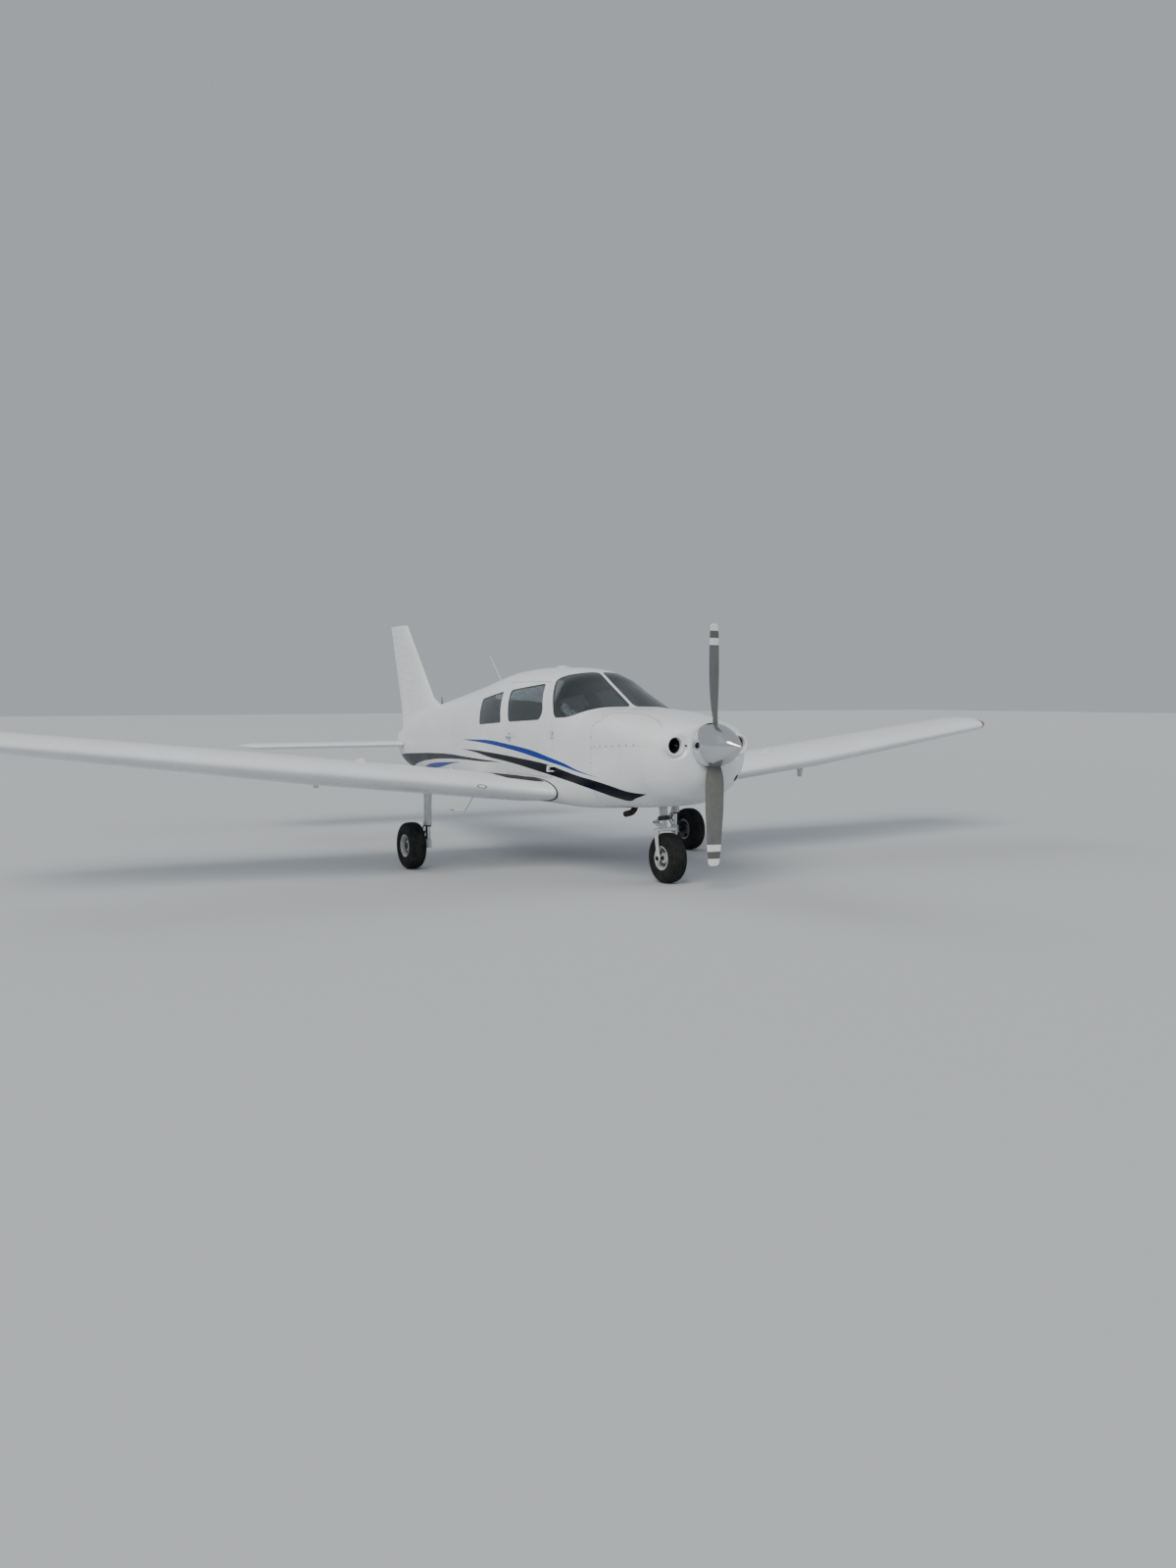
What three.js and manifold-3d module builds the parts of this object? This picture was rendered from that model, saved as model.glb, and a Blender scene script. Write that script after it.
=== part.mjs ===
// A four-seat, low-wing light aircraft with fixed three-wheel landing gear, parked on its wheels.
// Millimetres. +X points to the nose, +Y to the left wing tip, +Z up, and z = 0 is the ground.
// x = 0 is the middle of the overall length, so the origin is the bottom centre of the whole box.
import * as THREE from 'three';
import { mergeVertices } from 'three/addons/utils/BufferGeometryUtils.js';
import Module from 'manifold-3d';

const wasm = await Module();
wasm.setup();

// Overall sizes, and the space left between neighbours that touch on the real aircraft
const OVERALL_LENGTH = 7315;
const NOSE_X = OVERALL_LENGTH / 2;
const TAIL_X = -OVERALL_LENGTH / 2;
const GAP = 0.4;

// Fuselage
const FIREWALL_X = 2332;
const CABIN_REAR_X = -508;
const CABIN_WALL = 30;
const FLOOR_DEPTH = 80;
const COWL_WALL = 14;
const CONE_WALL = 12;
const FIREWALL_THICKNESS = 12;
const COWL_SPLIT = { rearZ: 1140, frontZ: 1184 };
const RING_POINTS = 32;
const INNER_RING_POINTS = 20;
const POST_HALF_WIDTH = 15;
const GLASS = { inset: 7, thickness: 8 };

// Propeller and engine
const HUB = { x: 3295, z: 1184, radius: 92, length: 120 };
const PROP_RADIUS = 965;
const SPINNER = { baseX: 3252, radius: 178, wall: 8, plate: 10 };
const SHAFT_RADIUS = 30;
const ENGINE = { x0: 2392, x1: 3000, halfWidth: 400, z0: 845, z1: 1300, step: 48 };

// Wheels and landing gear
const WHEEL_FACETS = 28;
const TYRE = { radius: 214.5, width: 155 };
const RIM_RADIUS = 96;
const AXLE_Z = TYRE.radius * Math.cos(Math.PI / WHEEL_FACETS);
const AXLE_RADIUS = 17;
const NOSE_WHEEL_X = 2630;
const MAIN_WHEEL = { x: 692, y: 1525 };
const MAIN_STRUT_Y = 1362;
const STRUT_RADIUS = 36;
const PISTON_RADIUS = 23;
const STEER = { tilt: THREE.MathUtils.degToRad(10), x: 2580, z: 500 };

// Control surfaces: where each ends, its depth ahead of the trailing edge, and its nose radius there
const SURFACE_GAP = 8;
const END_GAP = 6;
const PIN = { radius: 8, length: 34, clearance: 0.9 };
const FLAP = { y: [690, 2620], depth: [300, 300], nose: [50, 50] };
const AILERON = { y: [2760, 4990], depth: [270, 190], nose: [46, 32] };
const RUDDER = { from: [-3107, 0, 1168], to: [-3364, 0, 2440], nose: [17, 23] };
const RUDDER_BRACKET = { at: 900, eye: 11, eyeHeight: 20, notch: 24, notchHeight: 36, pin: 6, pinHeight: 60, arm: 48 };
const STABILATOR = { pivotX: -3108, z: 990, tubeRadius: 28, halfSpan: 1960 };

// Door on the right side. Its hinge line stands just outside the skin and leans in at the top,
// so the door rises clear of the wing as it opens. Only its outer skin reaches the seam.
const DOOR_GAP = 6;
const DOOR_EDGE = { skin: 12, width: 30 };
const DOOR_HINGE = { x: 1648, upper: { y: -592, z: 1240 }, lower: { y: -619, z: 936 }, pin: 7, eye: 14 };

// Colours
const PAINT = { white: 0xe9ebec, grey: 0x5b5d5b, light: 0xb9bcbc, black: 0x17181a };

const v3 = (x, y, z) => new THREE.Vector3(x, y, z);
const sine = (degrees) => Math.sin(THREE.MathUtils.degToRad(degrees));

// A closed geometry becomes a solid that can be joined and cut.
function toSolid(geometry) {
  const bare = geometry.index ? geometry.toNonIndexed() : geometry.clone();
  bare.deleteAttribute('normal');
  bare.deleteAttribute('uv');
  const merged = mergeVertices(bare, 1e-3);
  const corners = merged.index.array;
  const faces = [];
  for (let i = 0; i < corners.length; i += 3) {
    const [a, b, c] = corners.slice(i, i + 3);
    if (a !== b && b !== c && c !== a) faces.push(a, b, c);
  }
  return new wasm.Manifold(new wasm.Mesh({
    numProp: 3,
    vertProperties: new Float32Array(merged.attributes.position.array),
    triVerts: new Uint32Array(faces),
  }));
}

// The largest piece of a cut solid, as a geometry again; slivers left by a cut are dropped.
function toGeometry(solid) {
  const pieces = solid.decompose();
  pieces.sort((p, q) => q.volume() - p.volume());
  const mesh = pieces[0].getMesh();
  const geometry = new THREE.BufferGeometry();
  geometry.setAttribute('position', new THREE.BufferAttribute(new Float32Array(mesh.vertProperties), 3));
  geometry.setIndex(new THREE.BufferAttribute(new Uint32Array(mesh.triVerts), 1));
  return geometry;
}

const joined = (...solids) => solids.reduce((all, next) => all.add(next));

// Six times the signed volume tells whether the faces point out.
function facesPointOut(points, index) {
  let volume = 0;
  for (let i = 0; i < index.length; i += 3) {
    const [a, b, c] = [points[index[i]], points[index[i + 1]], points[index[i + 2]]];
    volume += a.dot(v3().crossVectors(b, c));
  }
  return volume > 0;
}

// A solid through rings of equal point counts; `across` picks the two axes that the end caps lie in.
function loft(rings, across) {
  const points = rings.flat();
  const count = rings[0].length;
  const index = [];
  for (let r = 0; r + 1 < rings.length; r += 1) {
    for (let i = 0; i < count; i += 1) {
      const [a, b] = [r * count + i, r * count + ((i + 1) % count)];
      index.push(a, b, b + count, a, b + count, a + count);
    }
  }
  const flat = (ring) => ring.map((p) => new THREE.Vector2(p[across[0]], p[across[1]]));
  const reversed = THREE.ShapeUtils.isClockWise(flat(rings[0]));
  for (const [r, turn] of [[0, true], [rings.length - 1, false]]) {
    const order = [...Array(count).keys()];
    if (reversed) order.reverse();
    const outline = flat(order.map((i) => rings[r][i]));
    for (const [a, b, c] of THREE.ShapeUtils.triangulateShape(outline, [])) {
      const face = [a, b, c].map((i) => r * count + order[i]);
      if (turn !== reversed) face.reverse();
      index.push(...face);
    }
  }
  if (!facesPointOut(points, index)) index.reverse();
  const geometry = new THREE.BufferGeometry();
  geometry.setAttribute('position', new THREE.Float32BufferAttribute(points.flatMap((p) => p.toArray()), 3));
  geometry.setIndex(index);
  return toSolid(geometry);
}

// An outline in the X-Z plane, extruded along Y from y0 to y1; corners may be rounded.
function sidePlate(outline, y0, y1, corner = 0, cornerSteps = 3) {
  const shape = new THREE.Shape();
  const at = outline.map(([x, z]) => new THREE.Vector2(x, z));
  const count = at.length;
  const near = (from, to) => from.clone().lerp(to, Math.min(0.4, corner / from.distanceTo(to)));
  at.forEach((point, i) => {
    const before = corner ? near(point, at[(i + count - 1) % count]) : point;
    if (i === 0) shape.moveTo(before.x, before.y); else shape.lineTo(before.x, before.y);
    if (corner) {
      const after = near(point, at[(i + 1) % count]);
      shape.quadraticCurveTo(point.x, point.y, after.x, after.y);
    }
  });
  const depth = y1 - y0;
  const geometry = new THREE.ExtrudeGeometry(shape, { depth, bevelEnabled: false, curveSegments: cornerSteps });
  geometry.rotateX(Math.PI / 2);
  geometry.translate(0, y1, 0);
  return toSolid(geometry);
}

// An outline in the X-Y plane, extruded up from z0 to z1.
function topPlate(outline, z0, z1) {
  const shape = new THREE.Shape(outline.map(([x, y]) => new THREE.Vector2(x, y)));
  const geometry = new THREE.ExtrudeGeometry(shape, { depth: z1 - z0, bevelEnabled: false });
  geometry.translate(0, 0, z0);
  return toSolid(geometry);
}

// An outline moved outwards (or inwards, when the distance is negative) by the same distance all round.
function offset(outline, distance) {
  const area = THREE.ShapeUtils.area(outline.map(([x, y]) => new THREE.Vector2(x, y)));
  const side = Math.sign(area) * distance;
  return outline.map((point, i) => {
    const before = outline[(i + outline.length - 1) % outline.length];
    const after = outline[(i + 1) % outline.length];
    const n1 = new THREE.Vector2(point[1] - before[1], before[0] - point[0]).normalize();
    const n2 = new THREE.Vector2(after[1] - point[1], point[0] - after[0]).normalize();
    const reach = side / (1 + n1.dot(n2));
    return [point[0] + (n1.x + n2.x) * reach, point[1] + (n1.y + n2.y) * reach];
  });
}

function block(x0, x1, y0, y1, z0, z1) {
  const geometry = new THREE.BoxGeometry(x1 - x0, y1 - y0, z1 - z0);
  geometry.translate((x0 + x1) / 2, (y0 + y1) / 2, (z0 + z1) / 2);
  return toSolid(geometry);
}

// A round bar or cone between two points.
function bar(from, to, radius, endRadius = radius, facets = 16) {
  const along = to.clone().sub(from);
  const geometry = new THREE.CylinderGeometry(endRadius, radius, along.length(), facets);
  geometry.translate(0, along.length() / 2, 0);
  geometry.applyQuaternion(new THREE.Quaternion().setFromUnitVectors(v3(0, 1, 0), along.normalize()));
  geometry.translate(from.x, from.y, from.z);
  return toSolid(geometry);
}

// A bent tube through a few points.
function bentTube(points, radius, steps, facets = 10) {
  const section = new THREE.Shape();
  section.absarc(0, 0, radius, 0, Math.PI * 2);
  const extrudePath = new THREE.CatmullRomCurve3(points, false, 'centripetal');
  return toSolid(new THREE.ExtrudeGeometry(section, { steps, extrudePath, curveSegments: facets / 2 }));
}

// A turned solid; an outline that doesn't start on the axis is closed on itself.
function turned(outline, facets, startTurn = 0) {
  const closed = outline[0][0] === 0 ? outline : [...outline, outline[0]];
  const profile = closed.map(([radius, side]) => new THREE.Vector2(radius, side));
  return new THREE.LatheGeometry(profile, facets, startTurn);
}

// A turned part around an axis along Y through (x, z); the outline is [radius, y] pairs.
function turnedOnY(outline, x, y, z, facets = WHEEL_FACETS) {
  const geometry = turned(outline, facets, Math.PI / facets);
  geometry.translate(x, y, z);
  return toSolid(geometry);
}

// A turned part around an axis along X at height z; the outline is [radius, x] pairs.
function turnedOnX(outline, z, facets = 24) {
  const geometry = turned(outline, facets);
  geometry.rotateZ(-Math.PI / 2);
  geometry.translate(0, 0, z);
  return toSolid(geometry);
}

const mirroredInY = (solid) => solid.mirror([0, 1, 0]);

const aircraft = new THREE.Group();
function addPiece(name, solid, color, roughness, metalness) {
  const material = new THREE.MeshStandardMaterial({ color, roughness, metalness });
  const mesh = new THREE.Mesh(toGeometry(solid), material);
  mesh.name = name;
  aircraft.add(mesh);
}
const addPainted = (name, solid) => addPiece(name, solid, PAINT.white, 0.35, 0);

// Fuselage outer shape. Columns: station x, lowest z, highest z, height of the greatest width,
// greatest half-width, squareness of the upper half, squareness of the lower half (2 is an ellipse).
const HULL = [
  [3237, 965, 1357, 1181, 232, 2.0, 2.0],
  [3210, 895, 1363, 1178, 307, 2.1, 2.1],
  [3170, 837, 1371, 1174, 375, 2.2, 2.2],
  [3100, 776, 1385, 1170, 446, 2.4, 2.4],
  [2950, 715, 1410, 1160, 516, 2.7, 2.8],
  [2742, 660, 1436, 1155, 550, 3.2, 3.4],
  [2332, 622, 1466, 1150, 583, 3.4, 4.0],
  [2072, 605, 1480, 1150, 585, 3.2, 4.2],
  [1892, 600, 1578, 1150, 583, 2.9, 4.2],
  [1692, 600, 1686, 1150, 580, 2.7, 4.2],
  [1492, 600, 1788, 1150, 576, 2.6, 4.2],
  [1242, 600, 1832, 1150, 571, 2.5, 4.2],
  [792, 600, 1845, 1150, 562, 2.5, 4.0],
  [292, 605, 1825, 1150, 540, 2.4, 3.8],
  [-158, 613, 1765, 1145, 500, 2.3, 3.6],
  [-508, 622, 1706, 1140, 455, 2.2, 3.4],
  [-1208, 650, 1600, 1110, 362, 2.1, 3.0],
  [-2138, 692, 1462, 1070, 240, 2.0, 2.5],
  [-2908, 724, 1330, 1035, 140, 2.0, 2.2],
  [-3158, 790, 1240, 1030, 104, 2.0, 2.2],
  [-3318, 885, 1150, 1025, 66, 2.0, 2.0],
  [-3378, 965, 1095, 1025, 30, 2.0, 2.0],
];

// One closed ring of the fuselage, drawn in by `inset` (and by `floor` at its lowest point).
function hullRing([x, low, high, waist, half, up, down], inset, floor, points) {
  return Array.from({ length: points }, (_, i) => {
    const turn = (2 * Math.PI * (i + 0.5)) / points;
    const [c, s] = [Math.cos(turn), Math.sin(turn)];
    const power = 2 / (s > 0 ? up : down);
    const reach = s > 0 ? high - inset - waist : waist - low - floor;
    const y = Math.sign(c) * Math.abs(c) ** power * (half - inset);
    return v3(x, y, waist + Math.sign(s) * Math.abs(s) ** power * reach);
  });
}

// The fuselage between two stations; stations are interpolated at the two ends.
function hull(x0, x1, inset, floor = inset, points = RING_POINTS) {
  const stationAt = (x) => {
    const next = Math.max(1, HULL.findIndex((row) => row[0] <= x));
    const [p, q] = [HULL[next - 1], HULL[next]];
    const t = (x - p[0]) / (q[0] - p[0]);
    return p.map((value, i) => value + (q[i] - value) * t);
  };
  const between = HULL.filter((row) => row[0] < x1 - 1 && row[0] > x0 + 1);
  const rows = [stationAt(x1), ...between, stationAt(x0)];
  return loft(rows.map((row) => hullRing(row, inset, floor, points)), ['y', 'z']);
}

// Openings of the cabin, seen from the side as [x, z] corners
const DOOR_OUTLINE = [
  [1654, 855], [1654, 1266], [1566, 1372], [1302, 1705],
  [420, 1705], [648, 1325], [664, 1200], [684, 855],
];
const WINDOWS = {
  front: [[592, 1628], [1222, 1676], [1412, 1440], [1372, 1360], [722, 1330]],
  rear: [[-98, 1540], [372, 1608], [532, 1320], [-8, 1290]],
};
const WINDSHIELD_OUTLINE = [
  [1692, 1380], [1842, 1386], [1952, 1408], [2012, 1434], [2056, 1460], [2076, 1472],
  [2160, 1500], [2160, 1900], [1500, 1900], [1488, 1784], [1392, 1722],
];
const WINDOW_CORNER = { front: 45, rear: 28 };
const SIDE_REACH = 700;

function glassIn(outline, y0, y1, corner) {
  const skin = hull(CABIN_REAR_X, FIREWALL_X, GLASS.inset);
  const inner = hull(CABIN_REAR_X - 1, FIREWALL_X + 1, GLASS.inset + GLASS.thickness);
  const plug = sidePlate(offset(outline, -GAP), y0, y1, corner);
  return skin.intersect(plug).subtract(inner);
}

// A point of the door's hinge line, at a distance along it from the middle of one hinge.
function hingePoint({ y, z }, distance) {
  const { x, upper, lower } = DOOR_HINGE;
  const along = v3(0, upper.y - lower.y, upper.z - lower.z).normalize();
  return v3(x, y, z).addScaledVector(along, distance);
}

// A hinge knuckle of the door: an eye around the hinge line and a leaf to the skin on one side of it.
function doorKnuckle(hinge, distance, height, towards) {
  const [middle, bottom, top] = [0, -height / 2, height / 2].map((step) => hingePoint(hinge, distance + step));
  const [x0, x1] = [8, 46].map((reach) => DOOR_HINGE.x + towards * reach).sort((p, q) => p - q);
  const leaf = block(x0, x1, middle.y - 6, -568, bottom.z + 1, top.z - 1);
  return leaf.add(bar(bottom, top, DOOR_HINGE.eye));
}

function buildCabin() {
  const outer = hull(CABIN_REAR_X, FIREWALL_X, 0);
  const hollow = hull(
    CABIN_REAR_X + FIREWALL_THICKNESS, FIREWALL_X - FIREWALL_THICKNESS, CABIN_WALL, FLOOR_DEPTH, INNER_RING_POINTS,
  );
  const wall = outer.subtract(hollow);
  let shell = wall.subtract(sidePlate(DOOR_OUTLINE, -SIDE_REACH, -200));
  for (const place of ['front', 'rear']) {
    shell = shell.subtract(sidePlate(WINDOWS[place], 200, SIDE_REACH, WINDOW_CORNER[place]));
  }
  shell = shell.subtract(sidePlate(WINDOWS.rear, -SIDE_REACH, -200, WINDOW_CORNER.rear));
  shell = shell.subtract(sidePlate(WINDSHIELD_OUTLINE, POST_HALF_WIDTH, SIDE_REACH));
  shell = shell.subtract(sidePlate(WINDSHIELD_OUTLINE, -SIDE_REACH, -POST_HALF_WIDTH));

  const doorPlate = (distance) => sidePlate(offset(DOOR_OUTLINE, distance), -SIDE_REACH, -200);
  const underSkin = hull(CABIN_REAR_X, FIREWALL_X, DOOR_EDGE.skin);
  const edge = underSkin.intersect(doorPlate(DOOR_GAP)).subtract(doorPlate(-DOOR_EDGE.width));
  let door = wall.intersect(doorPlate(-DOOR_GAP)).subtract(edge);
  door = door.subtract(sidePlate(WINDOWS.front, -SIDE_REACH, -200, WINDOW_CORNER.front));
  for (const hinge of [DOOR_HINGE.upper, DOOR_HINGE.lower]) {
    const [pinBottom, pinTop] = [hingePoint(hinge, -28), hingePoint(hinge, 28)];
    for (const side of [-1, 1]) shell = shell.add(doorKnuckle(hinge, side * 21, 13, 1));
    shell = shell.add(bar(pinBottom, pinTop, DOOR_HINGE.pin));
    door = door.add(doorKnuckle(hinge, 0, 26, -1));
    door = door.subtract(bar(pinBottom, pinTop, DOOR_HINGE.pin + PIN.clearance));
  }
  addPainted('cabin_shell', shell);
  addPainted('door', door);

  const glass = (name, solid) => addPiece(name, solid, 0x2b3236, 0.1, 0);
  glass('door_window', glassIn(WINDOWS.front, -SIDE_REACH, -200, WINDOW_CORNER.front));
  glass('front_window_left', glassIn(WINDOWS.front, 200, SIDE_REACH, WINDOW_CORNER.front));
  glass('rear_window_left', glassIn(WINDOWS.rear, 200, SIDE_REACH, WINDOW_CORNER.rear));
  glass('rear_window_right', glassIn(WINDOWS.rear, -SIDE_REACH, -200, WINDOW_CORNER.rear));
  glass('windshield_left', glassIn(WINDSHIELD_OUTLINE, POST_HALF_WIDTH + GAP, SIDE_REACH, 0));
  glass('windshield_right', glassIn(WINDSHIELD_OUTLINE, -SIDE_REACH, -POST_HALF_WIDTH - GAP, 0));
}

// A point of the rudder's hinge line, at a distance up it from its lower end.
function rudderHingePoint(distance) {
  const from = v3(...RUDDER.from);
  return from.addScaledVector(v3(...RUDDER.to).sub(from).normalize(), distance);
}

// The tail cone is a cup, open towards the cabin. A shelf is cut in its end for the rudder,
// which turns on a pin that stands on the shelf.
const TAIL_SHELF = { x: -3082, z: 1138 };
function buildTailCone() {
  const outer = hull(-3378, CABIN_REAR_X - GAP, 0);
  const hollow = hull(TAIL_SHELF.x + 22, CABIN_REAR_X + 1, CONE_WALL, CONE_WALL, INNER_RING_POINTS);
  const tube = bar(
    v3(STABILATOR.pivotX, -200, STABILATOR.z), v3(STABILATOR.pivotX, 200, STABILATOR.z),
    STABILATOR.tubeRadius + PIN.clearance, undefined, 20,
  );
  const shelf = block(-3500, TAIL_SHELF.x, -200, 200, TAIL_SHELF.z, 1500);
  const rudderPin = bar(rudderHingePoint(-60), rudderHingePoint(PIN.length - END_GAP - 4), PIN.radius, undefined, 12);
  addPainted('tail_cone', outer.subtract(hollow).subtract(shelf).subtract(tube).add(rudderPin));
}

// Engine cowl: an upper and a lower shell that part at the height of the two round air inlets.
// Each inlet is a short pipe that stands out of the round nose.
const INLET = { y: 308, z: 1184, radius: 72, lip: 14, front: 3205, depth: 150 };
function buildCowl() {
  const [front, rear] = [HULL[0][0], FIREWALL_X + GAP];
  const outer = hull(rear, front, 0);
  const hollow = hull(rear - 1, front - COWL_WALL, COWL_WALL, COWL_WALL, INNER_RING_POINTS);
  let shell = outer.subtract(hollow);
  for (const side of [-1, 1]) {
    const centre = (x) => v3(x, side * INLET.y, INLET.z);
    const duct = bar(centre(front - INLET.depth), centre(INLET.front), INLET.radius + INLET.lip, undefined, 24);
    shell = shell.add(duct);
    shell = shell.subtract(bar(centre(front - INLET.depth - 30), centre(front + 60), INLET.radius, undefined, 24));
  }
  shell = shell.subtract(bar(v3(front - 60, 0, HUB.z), v3(front + 60, 0, HUB.z), 110, undefined, 24));
  const split = (x) => COWL_SPLIT.rearZ + ((COWL_SPLIT.frontZ - COWL_SPLIT.rearZ) * (x - rear)) / (front - rear);
  const half = (sign) => sidePlate([
    [rear - 10, split(rear - 10) + (sign * GAP) / 2], [front + 20, split(front + 20) + (sign * GAP) / 2],
    [front + 20, HUB.z + sign * 900], [rear - 10, HUB.z + sign * 900],
  ], -SIDE_REACH, SIDE_REACH);
  addPainted('upper_cowl', shell.intersect(half(1)));
  const airExit = block(rear - 20, rear + 170, -330, 330, 500, 760);
  const legHole = block(STEER.x - 95, STEER.x + 40, -75, 75, 500, 900);
  addPainted('lower_cowl', shell.intersect(half(-1)).subtract(airExit).subtract(legHole));
}

// The engine with its mount: one plain block, four mount tubes to the firewall and a nose bearing.
function buildEngine() {
  const { x0, x1, halfWidth, z0, z1, step } = ENGINE;
  let engine = block(x0, x1, -halfWidth, halfWidth, z0 + step, z1 - step);
  engine = engine.add(block(x0, x1, -150, 150, z0, z1));
  for (const [y, z] of [[260, 960], [-260, 960], [260, 1200], [-260, 1200]]) {
    engine = engine.add(bar(v3(FIREWALL_X + GAP, y, z), v3(x0 + 20, y, z), 16, undefined, 10));
  }
  const noseEnd = SPINNER.baseX - 40;
  engine = engine.add(bar(v3(x1 - 20, 0, HUB.z), v3(noseEnd, 0, HUB.z), 85, 62, 20));
  engine = engine.subtract(bar(v3(noseEnd - 80, 0, HUB.z), v3(noseEnd + 5, 0, HUB.z), SHAFT_RADIUS + PIN.clearance));
  addPiece('engine_block', engine, 0x6d7072, 0.5, 0.8);
}

// Blade sections. Columns: distance from the hub, chord, thickness, pitch angle in degrees.
const BLADE = [
  [40, 118, 72, 62], [178, 138, 46, 52], [320, 148, 28, 36], [500, 146, 19, 25.5],
  [700, 128, 14, 19], [860, 108, 10, 15.5], [930, 92, 8, 14.5], [PROP_RADIUS, 46, 5, 14],
];
const BLADE_POINTS = 12;
function blade(sign) {
  const rings = BLADE.map(([reach, chord, thickness, pitch]) => Array.from({ length: BLADE_POINTS }, (_, i) => {
    const turn = (2 * Math.PI * i) / BLADE_POINTS;
    const [across, through] = [(Math.cos(turn) * chord) / 2, (Math.sin(turn) * thickness) / 2];
    const [s, c] = [sine(pitch), sine(90 - pitch)];
    return v3(HUB.x + across * s + through * c, sign * (-across * c + through * s), HUB.z + sign * reach);
  }));
  return loft(rings, ['x', 'y']);
}

function buildPropeller() {
  const plateFront = SPINNER.baseX + SPINNER.plate;
  const hub = bar(v3(plateFront - 2, 0, HUB.z), v3(HUB.x + HUB.length / 2, 0, HUB.z), HUB.radius, undefined, 20);
  const plate = turnedOnX([[0, SPINNER.baseX], [SPINNER.radius - 2, SPINNER.baseX],
    [SPINNER.radius - 2, plateFront], [0, plateFront]], HUB.z);
  const shaft = bar(v3(SPINNER.baseX - 100, 0, HUB.z), v3(plateFront, 0, HUB.z), SHAFT_RADIUS);
  const propeller = joined(hub, plate, shaft, blade(1), blade(-1));
  addPiece('propeller', propeller, PAINT.grey, 0.45, 0.3);

  // The spinner's outline, as [share of its length, share of its radius] pairs
  const ogive = [[0, 1], [0.2, 0.97], [0.42, 0.83], [0.64, 0.6], [0.84, 0.3], [1, 0]];
  const length = NOSE_X - plateFront - GAP;
  const outside = ogive.map(([t, r]) => [r * SPINNER.radius, plateFront + GAP + t * length]);
  const inside = ogive.map(([t, r]) => [r * (SPINNER.radius - SPINNER.wall), plateFront + GAP + t * (length - 30)]);
  const shell = turnedOnX([...outside, ...inside.reverse()], HUB.z);
  const slots = bar(v3(HUB.x, 0, HUB.z - 300), v3(HUB.x, 0, HUB.z + 300), 82, undefined, 20);
  addPiece('spinner', shell.subtract(slots), 0xd5d7d8, 0.08, 1);
}

// Wing sections on the left side. Columns: y, leading edge x, trailing edge x, leading edge z,
// nose-up angle in degrees, thickness as a share of the chord.
const WING = [
  [400, 1740, -140, 706, 3.2, 0.102],
  [600, 1660, -130, 728, 3.2, 0.13],
  [1050, 1488, -112, 774, 3.2, 0.15],
  [2700, 1488, -112, 956, 3.2, 0.15],
  [5215, 1102, -12, 1232, 1.2, 0.15],
  [5330, 1052, -30, 1244, 1.2, 0.117],
  [5388, 968, -84, 1251, 1.2, 0.065],
  [5410, 850, -170, 1254, 1.2, 0.022],
];
const CAMBER = 0.02;
const CHORD_STEPS = 9;

// Half thickness of a wing section at a share of its chord, for a thickness of 1.
const halfThickness = (s) => 5 * (0.2969 * Math.sqrt(s) - 0.126 * s - 0.3516 * s ** 2 + 0.2843 * s ** 3 - 0.1015 * s ** 4);

// [share of chord, height share] pairs from the trailing edge over the top and back underneath.
function section(thickness, camber) {
  const shares = Array.from({ length: CHORD_STEPS + 1 }, (_, i) => (1 - Math.cos((Math.PI * i) / CHORD_STEPS)) / 2);
  const mean = (s) => 4 * camber * s * (1 - s);
  const upper = shares.slice().reverse().map((s) => [s, mean(s) + halfThickness(s) * thickness]);
  const lower = shares.slice(1).map((s) => [s, mean(s) - halfThickness(s) * thickness]);
  return [...upper, ...lower];
}

function wingRing([y, noseX, tailX, z, angle, thickness]) {
  const chord = noseX - tailX;
  return section(thickness, CAMBER).map(([s, h]) => v3(
    noseX - s * chord, y, z - s * chord * sine(angle) + h * chord,
  ));
}

// The middle of the wing's thickness at a distance ahead of its trailing edge, for a hinge line.
function wingMiddle(y, ahead) {
  const next = WING.findIndex((row) => row[0] > y);
  const t = (y - WING[next - 1][0]) / (WING[next][0] - WING[next - 1][0]);
  const [, noseX, tailX, z, angle] = WING[next].map((value, i) => WING[next - 1][i] * (1 - t) + value * t);
  const chord = noseX - tailX;
  const s = 1 - ahead / chord;
  return [tailX + ahead, y, z - s * chord * sine(angle) + 4 * CAMBER * s * (1 - s) * chord];
}
const wingHinge = ({ y, depth, nose }) => ({
  from: wingMiddle(y[0], depth[0]), to: wingMiddle(y[1], depth[1]), nose,
});

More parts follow.
